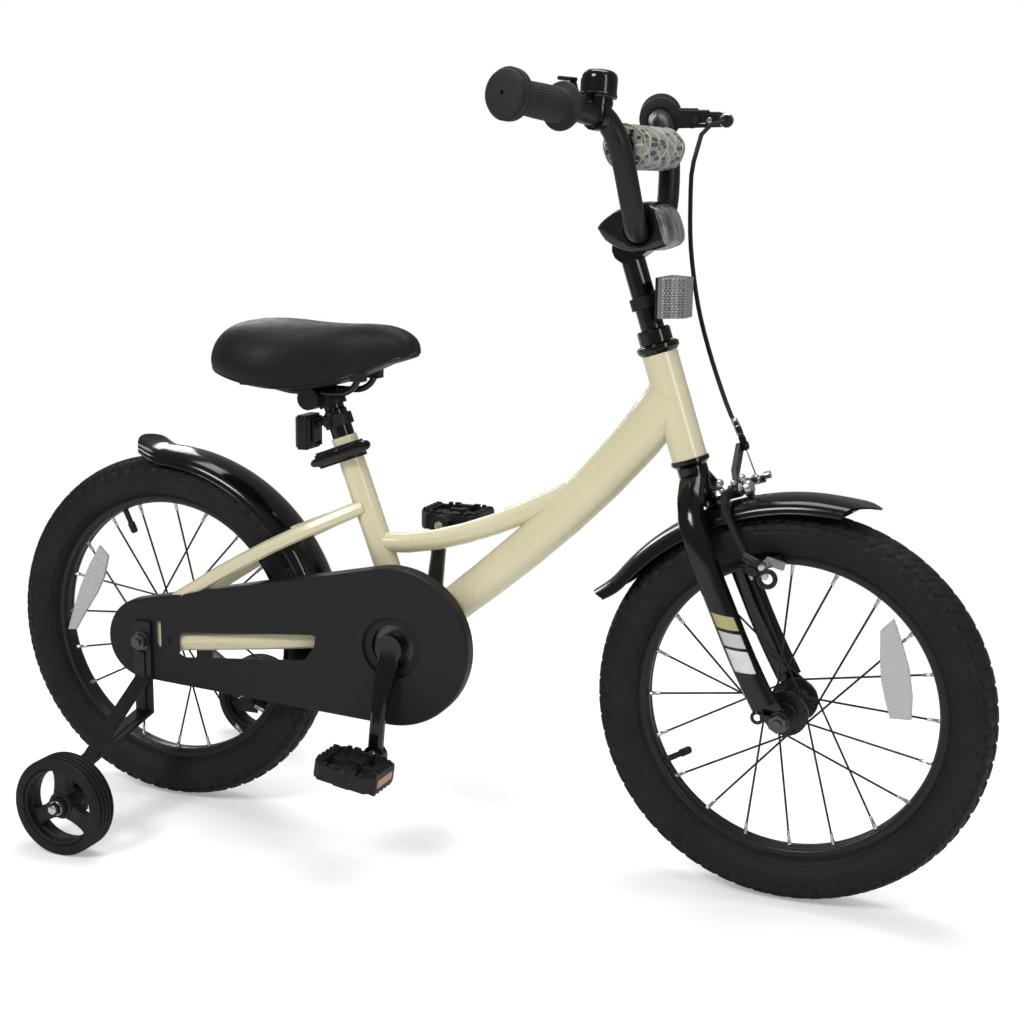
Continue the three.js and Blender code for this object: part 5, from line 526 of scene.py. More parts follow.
def shut(bm, mesh):
    """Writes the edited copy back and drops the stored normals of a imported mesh."""
    bm.to_mesh(mesh)
    bm.free()
    stored = mesh.attributes.get("custom_normal")
    if stored:
        mesh.attributes.remove(stored)


def place_in_scene(name, data):
    obj = bpy.data.objects.new(name, data)
    scene.collection.objects.link(obj)
    return obj


def dress(name, mesh, body, look, bevel=0.0, angle=34, replaces=()):
    """Makes the object of a mesh with its material, its body and its rounded edges."""
    obj = place_in_scene(name, mesh)
    mesh.materials.clear()
    mesh.materials.append(LOOKS[look].material)
    for polygon in mesh.polygons:
        polygon.use_smooth = True
    if bevel:
        round_edges(obj, bevel, angle)
    else:
        smooth_by_angle(obj, angle)
    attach(obj, body)
    if replaces:
        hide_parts(*replaces)
    return obj


def geometry_group(name, build):
    group = bpy.data.node_groups.new(name, "GeometryNodeTree")
    for way in ("INPUT", "OUTPUT"):
        group.interface.new_socket("Geometry", in_out=way, socket_type="NodeSocketGeometry")
    nodes = Nodes(group)
    enter = nodes.node("NodeGroupInput")
    leave = nodes.node("NodeGroupOutput")
    nodes.feed(leave.inputs[0], build(nodes, enter.outputs[0]))
    return group


def weld_nodes(nodes, geometry):
    """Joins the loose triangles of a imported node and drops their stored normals."""
    bare = nodes.node("GeometryNodeRemoveAttribute", {"Geometry": geometry, "Name": "custom_normal"})
    merge = nodes.node("GeometryNodeMergeByDistance", {"Geometry": bare.outputs[0], "Distance": PACKED_GAP})
    return nodes.node("GeometryNodeSetShadeSmooth", {"Geometry": merge.outputs[0]}).outputs[0]


def angle_nodes(limit):
    """Edges sharper than the limit stay sharp."""
    def build(nodes, geometry):
        angle = nodes.node("GeometryNodeInputMeshEdgeAngle").outputs["Unsigned Angle"]
        inputs = {0: angle, 1: math.radians(limit)}
        compare = nodes.node("FunctionNodeCompare", inputs, operation="LESS_EQUAL")
        inputs = {"Geometry": geometry, "Shade Smooth": compare.outputs[0]}
        return nodes.node("GeometryNodeSetShadeSmooth", inputs, domain="EDGE").outputs[0]
    return build


PACKED_GAP = 0.02 * MM
FLAT_ANGLE = math.radians(0.6)
WELD = geometry_group("weld", weld_nodes)
ANGLES = {}


def modifier(obj, name, kind, **settings):
    made = obj.modifiers.new(name, kind)
    for key, value in settings.items():
        setattr(made, key, value)


def smooth_by_angle(obj, limit):
    if limit not in ANGLES:
        ANGLES[limit] = geometry_group("smooth_%d" % limit, angle_nodes(limit))
    modifier(obj, "smooth", "NODES", node_group=ANGLES[limit])


def round_edges(obj, width, angle=34):
    modifier(obj, "edges", "BEVEL", limit_method="ANGLE", angle_limit=math.radians(angle), width=width * MM,
             segments=2, use_clamp_overlap=True)
    smooth_by_angle(obj, 46)
    modifier(obj, "weights", "WEIGHTED_NORMAL", keep_sharp=True)


def refine(node, look, width):
    """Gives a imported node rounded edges, smooth round faces and its material."""
    obj = NODES[node]
    modifier(obj, "weld", "NODES", node_group=WELD)
    modifier(obj, "flat", "DECIMATE", decimate_type="DISSOLVE", angle_limit=FLAT_ANGLE)
    round_edges(obj, width)
    for material_slot in obj.material_slots:
        material_slot.material = LOOKS[look].material


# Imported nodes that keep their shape, by look, with the width of their rounded edges in mm
KEPT = {
    "paint": {"frame": 1.1},
    "gloss": {
        "head_cup_upper": 0.8, "head_cup_lower": 0.8, "crank": 1.2, "seat_post": 0.5, "fork": 0.9,
        "headset_nut": 0.6, "stem": 0.9, "bell_base": 0.8,
    },
    "dark": {
        "bracket_cup_left": 0.6, "bracket_cup_right": 0.6, "chain": 0.15, "rear_brake_arm": 0.5,
        "rear_axle": 0.5, "rear_cog": 0.2, "chainring": 0.3, "front_axle": 0.5,
    },
    "satin": {
        "training_bracket_left": 0.7, "training_bracket_right": 0.7, "seat_collar": 0.9, "saddle_clamp": 0.8,
        "brake_perch": 1.0, "brake_lever": 1.2, "caliper_stop_arm": 0.7, "caliper_anchor_arm": 0.7,
    },
    "frosted": {"rear_spoke_reflector": 0.9, "front_spoke_reflector": 0.9},
    "zinc": {"pedal_spindle_left": 0.3, "pedal_spindle_right": 0.3, "brake_wire": 0.1, "brake_bolt": 0.5},
    "plastic": {"front_reflector_bracket": 0.8},
    "clear": {"front_reflector_lens": 1.0},
    "cable": {"cable_housing": 0.2},
}
for look_name, edge_widths in KEPT.items():
    for node_name, edge_width in edge_widths.items():
        refine(node_name, look_name, edge_width)


# Tyres: rows of (radius, half width) in mm from the bead to the shoulder, over the tread, and inside
SIDEWALL = [(152.6, 9.4), (155.5, 9.6), (158.7, 12.2), (159.6, 15.2), (160.8, 16.9), (161.9, 17.2),
            (162.6, 18.6), (163.8, 20.2), (166.2, 21.7), (167.0, 21.9), (168.0, 22.6), (171.5, 24.4),
            (176, 25.7), (179, 26), (182.5, 26), (184.2, 25.8), (185, 25.1)]
TREAD = [(186, 25.0), (187, 25.6), (190.4, 24.2), (192.6, 23.2), (195, 21.6), (197.4, 18.9), (199.4, 15.4),
         (201, 11.4), (202.2, 7.4), (202.8, 3.6), (203, 0)]
TYRE_INSIDE = [(157.0, -7.6), (164, -18.5), (180, -22), (194, -14), (197, 0)]
TREAD_STEPS = 29
TREAD_PITCHES = 64
PITCH_STEPS = 9
TREAD_DEPTH = 1.8
TREAD_EDGE = 0.985
TREAD_RAILS = (0.24, 0.6)
SECTION_CENTRE = 178


def groove(distance, width):
    return 1 - smoothstep(width * 0.45, width, abs(distance))


def slot_at(place, width):
    """A groove across the tread in the middle of each pitch."""
    return groove(place % 1 - 0.5, width)


def tread_depth(pitch, v):
    """Depth share of the tread pattern at a place in pitches and one from -1 to 1 across the tread."""
    side = abs(v)
    hand = 0.5 if v > 0 else 0.0
    inner, outer = (rail + 0.07 * abs(((pitch * 2 + hand) % 1) * 2 - 1) for rail in TREAD_RAILS)
    rails = max(groove(side - inner, 0.05), groove(side - outer, 0.05))
    t = pitch + hand
    if side < inner:
        cross = slot_at(pitch + v * 0.9, 0.13)
    elif side < outer:
        cross = max(slot_at(t - side * 0.8 + 0.3, 0.13), 0.6 * slot_at(t + side * 0.5, 0.05))
    else:
        cross = max(slot_at(t + side * 0.4, 0.15), 0.6 * slot_at(t * 2 + side, 0.13))
    return max(rails, cross)


def tyre_section():
    """Rows of (radius, across, place on the tread) round the section. Off the tread the place is None."""
    half = [(r, w, None) for r, w in SIDEWALL]
    half += [(r, w, 1 - k / TREAD_STEPS) for k, (r, w) in enumerate(curve_points(TREAD, TREAD_STEPS + 1))]
    mirrored = [(r, -w, None if v is None else -v) for r, w, v in reversed(half[:-1])]
    return half + mirrored + [(r, w, None) for r, w in both_sides(TYRE_INSIDE)]


def tyre(which):
    around = TREAD_PITCHES * PITCH_STEPS
    section = tyre_section()
    rows = []
    for k in range(around):
        row = []
        for r, w, v in section:
            if v is not None and abs(v) < TREAD_EDGE:
                edge = min(1.0, (TREAD_EDGE - abs(v)) / 0.08)
                depth = TREAD_DEPTH * edge * tread_depth(k / PITCH_STEPS, v)
                out = Vector((w * 1.35, r - SECTION_CENTRE)).normalized()
                r -= depth * out.y
                w -= depth * out.x
            row.append(polar(HUB[which], r, math.tau * k / around, w))
        rows.append(row)
    Shape().grid(rows, along=True).make(which + "_tyre_rubber", which + "_wheel", "tyre", "tyre", angle=60,
                                        replaces=(which + "_tyre",), weld=False)


# Rims: rows of (radius, half width) in mm outside and in the tyre well
RIM = [(158.4, 10.7), (157.6, 11.1), (154.0, 11.1), (151.8, 10.9), (150.4, 10.1), (149.6, 8.9), (149.2, 6.6),
       (148.2, 6.1), (148, 5.2), (148, 2.9), (148.6, 2.5), (148.7, 0)]
RIM_WELL = [(158.4, -9.9), (155, -9.6), (152.4, -8.6), (151.9, 0)]


def rim(which):
    band = Shape().turned(both_sides(RIM) + both_sides(RIM_WELL), along_y(HUB[which]), 180, closed=True)
    band.make(which + "_rim_band", which + "_wheel", "rim", "black_metal", angle=30,
              replaces=(which + "_rim",))


SPOKE_COUNT = 20
SPOKE_END = 148.2
SPOKE_RADIUS = 1.12
HEAD_OUT = 2.6 * MM
VALVE_FOOT = 148.4
NIPPLE = [(1.25, -13), (1.75, -12.4), (1.8, -5), (1.75, -4.6), (2.15, -4.2), (2.15, -0.4), (2.6, 0.4)]
# Hubs: radius and place of the spoke holes in mm, how the spokes cross, and the right half of the shell
HUB_SIZE = {
    "front": {
        "hole": 20.8, "offset": 24, "phase": 2, "cross": 80, "order": 2,
        "shell": [(4.8, -33), (12.2, -33), (13, -32.2), (13, -27), (22.4, -26.4), (23, -25.8), (23, -22.4),
                  (22.4, -21.8), (15, -21.4), (12, -18), (11, -12)],
    },
    "rear": {
        "hole": 28.5, "offset": 23.5, "phase": -1, "cross": 40, "order": 3,
        "shell": [(4.8, -30), (21.2, -30), (22, -29.2), (22, -26.4), (30.3, -25.9), (31, -25.2), (31, -21.9),
                  (30.3, -21.3), (23, -21), (20, -17), (19, -11)],
    },
}


def spoke_ends(which):
    """Out direction of the head, start and end of each spoke."""
    size = HUB_SIZE[which]
    for i in range(SPOKE_COUNT):
        side = 1 if i % 2 else -1
        lead = -1 if (i + size["order"]) % 4 < 2 else 1
        angle = math.radians(size["phase"]) + math.tau * i / SPOKE_COUNT
        crossed = angle + lead * math.radians(size["cross"])
        start = polar(HUB[which], size["hole"], crossed, side * (size["offset"] + lead * 1.1))
        yield Vector((0, lead * side, 0)), start, polar(HUB[which], SPOKE_END, angle, side * 2)


def spokes(which):
    wires = Shape()
    nipples = Shape()
    for out, start, end in spoke_ends(which):
        ahead = (end - start).normalized()
        head = start + out * HEAD_OUT
        bend = [head, start + out * 0.9 * MM, start + ahead * 2.2 * MM, start + ahead * 6 * MM]
        wires.tube(bend, [1.15, 1.2, 1.15, 1.15], 8)
        wires.tube([start + ahead * 5 * MM, end - ahead * 11 * MM], SPOKE_RADIUS, 8)
        wires.turned([(1.9, -0.8), (2.1, -0.2), (1.5, 0.5)], toward(head, out), 10)
        nipples.turned(NIPPLE, toward(end, ahead), 8)
    wires.make(which + "_spoke_wires", which + "_wheel", "spoke", "black_metal", angle=50)
    nipples.make(which + "_spoke_nipples", which + "_wheel", "zinc", "bright_steel", angle=40)


def hub_shell(which):
    shell = Shape().turned(both_sides(HUB_SIZE[which]["shell"]), along_y(HUB[which]), 48, closed=True)
    shell.make(which + "_hub_shell", which + "_wheel", "hub", "black_metal", angle=30,
               replaces=(which + "_hub",))


def valve(which, degrees):
    """Schrader valve stem with a ribbed cap."""
    base = polar(HUB[which], VALVE_FOOT, math.radians(degrees))
    place = toward(base, HUB[which] - base)
    stem = Shape().turned([(4.3, -0.4), (4.1, 0.6), (3.3, 1.6), (3.1, 9), (3.4, 10), (3.0, 11), (3.0, 17)],
                          place, 20)
    stem.make(which + "_valve_stem", which + "_wheel", "plastic", "rubber", angle=40)
    cap = Shape().turned([(3.5, 16.6), (3.9, 17.1), (3.9, 26.6), (3.5, 28.4), (2.4, 29.4)], place, 24,
                         wave=lambda k: 1.06 if k % 2 else 0.96)
    cap.make(which + "_valve_cap", which + "_wheel", "plastic", "rubber", angle=40)


for wheel_name, valve_degrees in (("front", 210.5), ("rear", 116)):
    tyre(wheel_name)
    rim(wheel_name)
    spokes(wheel_name)
    hub_shell(wheel_name)
    valve(wheel_name, valve_degrees)


# Training wheels: half profiles as (radius, along), and arms as [radius, half width, half depth, rise] in mm
TRAINER_TREAD = [(43.4, -13.6), (44.2, -14.6), (50.8, -15), (53.4, -14), (54.3, -12.4)]
TRAINER_RIM = [(38.6, -3.6), (39.8, -5), (40.4, -11.6), (42.2, -12.6), (43.6, -12)]
TRAINER_HUB = [(5.6, -22), (11.6, -22), (12.6, -21), (13, -14), (15.2, -9), (15.2, 6), (14.2, 8.4), (11, 9),
               (10.4, 14.4), (9.4, 15), (5.6, 15)]
TRAINER_ARM = [(13, 9.4, 7.6, 0), (18, 8.6, 6.6, 0.4), (26, 8.2, 5.6, 0.9), (33, 9, 5.4, 0.6),
               (39.4, 11.6, 6, 0)]
TRAINER_BOLT = [(8.2, 15.1), (8.2, 16.2), (7.6, 16.6), (5.4, 16.7), (5.4, 20.6), (4.6, 22.4), (2.4, 23.2),
                (0.05, 23.3)]
ARM_SECTION = [(-1, -0.8), (-0.8, -1), (0.8, -1), (1, -0.8), (1, 0.8), (0.8, 1), (-0.8, 1), (-1, 0.8)]


def training_wheel(side):
    out = SIDES[side]
    centre = Vector((-0.376, 0.205 * out, 0.0545))
    body = "training_wheel_" + side
    tread = TRAINER_TREAD + [(r, at + y) for at in (-9.3, -3.1) for r, y in
                             ((54.4, -1.5), (52.6, -1.0), (52.4, 0), (52.6, 1.0), (54.4, 1.5))]
    rubber = Shape().turned(both_sides(tread) + [(42.6, 4), (42.6, -4)], along_y(centre), 72, closed=True)
    rubber.make("training_tread_" + side, body, "tyre", "tyre")
    face = along_y(centre, out)
    wheel = Shape().turned(both_sides(TRAINER_RIM), face, 72, closed=True)
    wheel.turned(TRAINER_HUB, face, 40, closed=True)
    for k in range(3):
        angle = math.pi / 2 + k * math.tau / 3
        ahead = Vector((math.cos(angle), 0, math.sin(angle)))
        across = Vector((-math.sin(angle), 0, math.cos(angle)))
        outward = Vector((0, out, 0))
        rows = []
        for radius, half, deep, rise in TRAINER_ARM:
            middle = centre + ahead * radius * MM
            rows.append([middle + (across * u * half + outward * (v * deep + rise)) * MM
                         for u, v in ARM_SECTION])
        wheel.capped(rows)
    wheel.make("training_centre_" + side, body, "plastic", "wheel_plastic", replaces=(body,))
    bolt = Shape().turned(TRAINER_BOLT, face, 28)
    bolt.make("training_bolt_" + side, "frame", "zinc", "bright_steel", bevel=0.2)


for side_name in SIDES:
    training_wheel(side_name)


# Saddle: rows of [share of the length, half width, top, lower edge in mm], and half of its section
SADDLE_ROWS = [
    (0.0, 25, 530, 525), (0.012, 38, 540, 519), (0.035, 49, 552, 515), (0.08, 60, 561.5, 511.5),
    (0.16, 70.5, 567, 507.5), (0.26, 75, 568.8, 503), (0.36, 73, 568.6, 500.2), (0.46, 63.5, 567.4, 499.8),
    (0.56, 47.5, 566.8, 502.5), (0.66, 33.5, 567, 508.5), (0.76, 26, 567.8, 517.5), (0.86, 22.8, 566.8, 528),
    (0.93, 20.4, 562.5, 533.5), (0.975, 16, 556, 537), (0.995, 10, 549, 539), (1.0, 5, 545, 541),
]
SADDLE_SECTION = [(0.0, 0.995), (0.12, 1.0), (0.28, 0.985), (0.45, 0.945), (0.61, 0.88), (0.75, 0.79),
                  (0.86, 0.68), (0.935, 0.55), (0.98, 0.42), (1.0, 0.3), (0.995, 0.19), (0.97, 0.09),
                  (0.93, 0.02), (0.9, 0.0)]
SADDLE_BACK = -285.5
SADDLE_LENGTH = 233.5
PIPING_AT = 33
SKIRT_AT = 35
PAN_SHARE = 0.94
PAN_LIFT = 3 * MM
PAN_SECTION = [(-1, 0), (-0.97, -4.4), (-0.6, -6.4), (0, -7), (0.6, -6.4), (0.97, -4.4), (1, 0), (0, 1)]
SADDLE_WIRE = [(-248.7, 503.5), (-240, 501.5), (-220, 497.5), (-200, 493.8), (-189, 493), (-165, 493),
               (-142, 493), (-130, 494.2), (-121, 498.8), (-115, 506), (-111.5, 514)]
WIRE_OUT = 20


def saddle_ring(row):
    """Points round the saddle at one row: over the right half, in under the skirt, and back on the left."""
    along, half, high, low = row
    x = SADDLE_BACK + min(1, max(0, along)) * SADDLE_LENGTH
    right = [mm(x, out * half, low + up * (high - low)) for out, up in curve_points(SADDLE_SECTION, 37)]
    right.append(mm(x, max(0.5, 0.9 * half - 2.6), low + 0.2))
    right.append(mm(x, max(0.4, 0.9 * half - 3.2), low + 6))
    return right + [mirror(p) for p in right[:0:-1]]


def saddle_cover(rings):
    cover = Shape().capped(rings).make("saddle_cover", "seat", "saddle", "saddle_cover", angle=50,
                                       replaces=("saddle_cushion",))
    seam = Shape()
    line = [ring[PIPING_AT] for ring in rings]
    seam.tube(line, 0.85, 8).tube([mirror(p) for p in line], 0.85, 8)
    seam.make("saddle_piping", "seat", "gloss", "saddle_cover", angle=60)


def saddle_base(rings):
    rows = []
    for ring in rings[6:86]:
        skirt = ring[SKIRT_AT]
        half, low = skirt.y * PAN_SHARE, skirt.z + PAN_LIFT
        rows.append([Vector((skirt.x, half * out, low + drop * MM)) for out, drop in PAN_SECTION])
    pan = Shape().capped(rows)
    for spot in copies((-248.7, WIRE_OUT, 502), "y") + copies((-113, WIRE_OUT, 513), "y"):
        pan.block(shift(*spot), (7.5, 6.5, 5.5))
    pan.make("saddle_base", "seat", "plastic", "black_plastic", bevel=0.7, angle=38, replaces=("saddle_pan",))


def saddle_wires():
    line = [mm(x, WIRE_OUT, z) for x, z in curve_points(SADDLE_WIRE, 60)]
    wires = Shape().tube(line, 3.5, 16).tube([mirror(p) for p in line], 3.5, 16)
    wires.make("saddle_wires", "seat", "gloss", "black_metal", angle=50, replaces=("saddle_rails",))


saddle_rings = [saddle_ring(row) for row in curve_points(SADDLE_ROWS, 91)]
saddle_cover(saddle_rings)
saddle_base(saddle_rings)
saddle_wires()


# Padded pieces: a closed mesh, remeshed, swollen by a cloth simulation and smoothed
PAD_VOXEL = 4.0 * MM
CLOTH_STEPS = 20


def bake(obj):
    """Takes the modifiers' result as the mesh."""
    graph = bpy.context.evaluated_depsgraph_get()
    mesh = bpy.data.meshes.new_from_object(obj.evaluated_get(graph))
    obj.modifiers.clear()
    obj.data = mesh


def swell(obj, cap):
    """Blows the mesh up as cloth, by no more than cap in mm."""
    before = [v.co.copy() for v in obj.data.vertices]
    settings = obj.modifiers.new("cloth", "CLOTH").settings
    settings.use_pressure = True
    settings.uniform_pressure_force = 4
    settings.effector_weights.gravity = 0
    settings.tension_stiffness = 25
    settings.compression_stiffness = 25
    settings.bending_stiffness = 0.8
    for step in range(1, CLOTH_STEPS + 1):
        scene.frame_set(step)
    bake(obj)
    for v, old in zip(obj.data.vertices, before):
        move = v.co - old
        if move.length > cap * MM:
            v.co = old + move * (cap * MM / move.length)
    scene.frame_set(1)


def soften(node, name, mesh, look, cap, shrink):
    """Makes a pad of a closed mesh: shrunk, remeshed, swollen by up to cap in mm and smoothed."""
    mesh.name = name
    bm = opened(mesh, PACKED_GAP)
    bmesh.ops.recalc_face_normals(bm, faces=bm.faces)
    bm.normal_update()
    for v in bm.verts:
        v.co -= v.normal * shrink * MM
    shut(bm, mesh)
    obj = place_in_scene(name, mesh)
    modifier(obj, "remesh", "REMESH", mode="VOXEL", voxel_size=PAD_VOXEL)
    bake(obj)
    swell(obj, cap)
    modifier(obj, "even", "SMOOTH", factor=0.5, iterations=3)
    modifier(obj, "divide", "SUBSURF", levels=1, render_levels=1)
    bake(obj)
    result = obj.data
    bpy.data.objects.remove(obj)
    piece = dress(name, result, "steering", look, 0, 70, (node,))


CROSSBAR = Matrix.Translation((0.1941, 0, 0.7535)) @ turn(-90, "X")
SLEEVE = [(8.3, -68.6), (14, -69.4), (18.6, -69.2), (20.8, -67.4), (21.8, -63), (22.1, -56), (22.3, -40),
          (22.3, -20), (22.2, 0)]
TRIM_RADIUS = 20.6
SEAM_RADIUS = 21.4
SEAM_ANGLE = 0.5


def crossbar_sleeve():
    shape = Shape().turned(both_sides(SLEEVE), CROSSBAR, 40, closed=True)
    mesh = bpy.data.meshes.new("crossbar_sleeve")
    mesh.from_pydata(shape.verts, [], shape.faces)
    soften("crossbar_pad", "crossbar_pad_cover", mesh, "pad_print", 3, 0.4)


def crossbar_trim():
    trim = Shape()
    steps = 64
    for y in (-65.6, 65.6):
        loop = circle(CROSSBAR, TRIM_RADIUS, y, steps,
                      lambda k: 1 + 0.5 / TRIM_RADIUS * math.sin(5 * math.tau * k / steps + y))
        trim.tube(loop + loop[:1], 0.9, 8)
    seam = mm(-SEAM_RADIUS * math.cos(SEAM_ANGLE), SEAM_RADIUS * math.sin(SEAM_ANGLE), 0)
    trim.tube([CROSSBAR @ (seam + mm(0, 0, y)) for y in range(-63, 64, 6)], 0.9, 8)
    trim.make("crossbar_pad_trim", "steering", "pad_trim", "pad_cloth", angle=60)


crossbar_sleeve()
crossbar_trim()
soften("stem_pad", "stem_pad_cover", NODES["stem_pad"].data.copy(), "vinyl", 5, 1.5)


# Grips, with a plain flange at the inner end and a stepped disc at the outer one, as (radius, along) in mm
GRIP_START = Vector((0.1626, 0.15, 0.787))
GRIP_END = Vector((0.1381, 0.2332, 0.7949))
GRIP_FLANGE = [(11.2, 0), (20.8, 0), (22, 0.8), (22.4, 2.4), (21.8, 4), (19.8, 5.2), (16.8, 6.4), (14.6, 8.6),
               (11.2, 9.4)]
GRIP_DISC = [
    (11.2, -17), (14.6, -16.4), (17.5, -14.4), (21.6, -13.4), (22.9, -12.6), (23.2, -10.6), (22.7, -9.6),
    (22.3, -9.2), (22.3, -8.2), (23, -7.6), (23.3, -5.2), (22.6, -4.2), (21.3, -3.7), (21.1, -2.9),
    (21.3, -1.6), (20.6, -0.4), (18.6, 0.4), (12, 1.5), (2.2, 2.1), (1.9, 1.2), (1.8, -4),
]
GRIP_RADIUS = 14.2
GRIP_RIBS = 34
RIB_STEPS = 6


def grip(side):
    start, end = GRIP_START, GRIP_END
    if side == "right":
        start, end = mirror(start), mirror(end)
    place = toward(start, end - start)
    length = (end - start).length / MM
    rubber = Shape().turned(GRIP_FLANGE, place, 56, closed=True)
    rubber.turned([(r, length + y) for r, y in GRIP_DISC], place, 64)
    first, last = 7.4, length - 15.6
    rows = []
    for k in range(13):
        share = k / 12
        radius = GRIP_RADIUS + 1.6 * (1 - share) + 0.5 * math.sin(math.pi * share)
        depth = 0.3 * min(1, 8 * share * (1 - share)) / radius
        rows.append(circle(place, radius, first + (last - first) * share, GRIP_RIBS * RIB_STEPS,
                           lambda m: 1 + depth * math.cos(math.tau * m / RIB_STEPS)))
    rubber.capped(rows)
    rubber.make("grip_rubber_" + side, "steering", "grip", "rubber", angle=42, replaces=("grip_" + side,))


for side_name in SIDES:
    grip(side_name)


# Chain cover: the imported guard, with the arcs round its two ends drawn finer
COVER_TURN = math.atan2(14, 305.18)
COVER_AXIS = Vector((-math.sin(COVER_TURN), math.cos(COVER_TURN), 0))
COVER_FRONT = Vector((CRANK.x, -0.0485, CRANK.z))
COVER_BACK = Vector((-math.cos(COVER_TURN), -math.sin(COVER_TURN), 0))
COVER_REAR = COVER_FRONT + COVER_BACK * 0.3055 - Vector((0, 0, 0.023))
# What counts as a chord of an arc: limits in metres, and the greatest share of the radius that it may sag
SAME_PLACE = 0.04 * MM
SAME_RADIUS = 0.05 * MM
LEAST_RADIUS = 3 * MM
LEAST_SAG = 0.03 * MM
MOST_SAG = 0.12


def round_arcs(bm, centre, axis):
    """Cuts the chords of arcs about an axis and moves the new vertices out onto the arcs."""
    def parts(vert):
        off = vert.co - centre
        along = off.dot(axis)
        return along, off - axis * along

    chords = []
    rings = set()
    for edge in bm.edges:
        (along_a, out_a), (along_b, out_b) = (parts(vert) for vert in edge.verts)
        radius = (out_a.length + out_b.length) / 2
        level = abs(along_a - along_b) < SAME_PLACE and abs(out_a.length - out_b.length) < SAME_RADIUS
        sag = radius - ((out_a + out_b) / 2).length
        if level and radius > LEAST_RADIUS and LEAST_SAG < sag < radius * MOST_SAG:
            chords.append(edge)
            rings.add((round(along_a, 4), round(radius, 5)))
    known = set(bm.verts)
    bmesh.ops.subdivide_edges(bm, edges=chords, cuts=4, use_grid_fill=True)
    for vert in bm.verts:
        if vert in known:
            continue
        along, out = parts(vert)
        fits = [r for a, r in rings if abs(a - along) < 1e-4 and -1e-5 < r - out.length < r * MOST_SAG]
        if fits:
            vert.co = centre + axis * along + out.normalized() * min(fits)


def chain_cover():
    mesh = NODES["chain_guard"].data.copy()
    mesh.name = "chain_cover"
    bm = opened(mesh, PACKED_GAP)
    bmesh.ops.dissolve_limit(bm, angle_limit=FLAT_ANGLE, verts=bm.verts, edges=bm.edges)
    round_arcs(bm, COVER_FRONT, COVER_AXIS)
    round_arcs(bm, COVER_REAR, COVER_AXIS)
    bmesh.ops.recalc_face_normals(bm, faces=bm.faces)
    shut(bm, mesh)
    dress("chain_cover", mesh, "frame", "guard", 1.2, 34, ("chain_guard",))


chain_cover()


# Mudguards: half a section in mm as (half width, depth below the crown), and their length in steps
GUARD_WIDTH = 32
GUARD_HALF = [(u * GUARD_WIDTH, -v * 17) for u, v in (
    (1, 1), (0.995, 0.86), (0.97, 0.66), (0.9, 0.47), (0.78, 0.31), (0.6, 0.17), (0.4, 0.07), (0.2, 0.02),
    (0.07, 0.0), (0, 0),
)]
GUARD_OUTER = GUARD_HALF + [(-y, rise) for y, rise in reversed(GUARD_HALF[:-1])]
GUARD_INNER = [(y * 0.955, rise - 1.5 if abs(y) < 31.9 else rise + 0.6) for y, rise in GUARD_OUTER]
GUARD_STEPS = 96


def mudguard(which, body, centre, lean, crown, angles, flares, swelling, points, power):
    """A pressed guard with rolled lips. Its sides end short of its crown, by points in degrees."""
    def spot(share, y, rise, side):
        low = angles[0] + points[0] * side
        high = angles[1] - points[1] * side
        flare = sum(max(0, 1 - t * 10) ** 2 * end + max(0, 1 - t * 2.2) ** 1.5 * swelling
                    for t, end in ((share, flares[0]), (1 - share, flares[1])))
        return polar(centre, crown + flare + rise, math.radians(low + share * (high - low)) + lean, y)

    shares = [k / GUARD_STEPS for k in range(GUARD_STEPS + 1)]
    shell = Shape().capped([[spot(share, y, rise, abs(y / GUARD_WIDTH) ** power)
                             for y, rise in GUARD_OUTER + GUARD_INNER[::-1]] for share in shares])
    lip = Shape()
    for y in (31.2, -31.2):
        lip.tube([spot(share, y, -16.4, 1) for share in shares], 1.35, 8)
    lip.make(which + "_mudguard_lips", body, "gloss", "black_metal", angle=60)
    if which == "front":
        shell.block(STEER @ shift(16.5, 0, 222), (1, 8, 8.5))
    else:
        angle = math.radians(37.5)
        shell.tube([polar(centre, crown - 1.6, angle), polar(centre, 223.6, angle)], 5)
    shell.make(which + "_mudguard_shell", body, "gloss", "black_metal", angle=38,
               replaces=(which + "_mudguard",))


mudguard("front", "steering", STEER @ mm(31.4, 0, 0), STEER_LEAN, 217.5, (50.6, 136.1), (1, 9), 7,
         (8.5, 1.5), 1.1)
mudguard("rear", "frame", HUB["rear"], 0.0, 213.5, (17, 99), (0, 12), 2, (1, 3), 1.6)


# Colour bands on the fork legs: rows of [look, high and low end at the rear edge, then at the front edge]
BANDS = [("olive_band", (122.7, 107.2), (112.6, 98.0)), ("silver_band", (103.6, 87.8), (94.2, 79.4)),
         ("pale_band", (84.6, 60.2), (76.2, 53.2))]
BAND_STEPS = 12
BAND_WIDTH = 19.5
LEG_MIDDLE = 21.2
LEG_SLOPE = 0.112
RAY_FROM = 120
BAND_RISE = 0.28 * MM


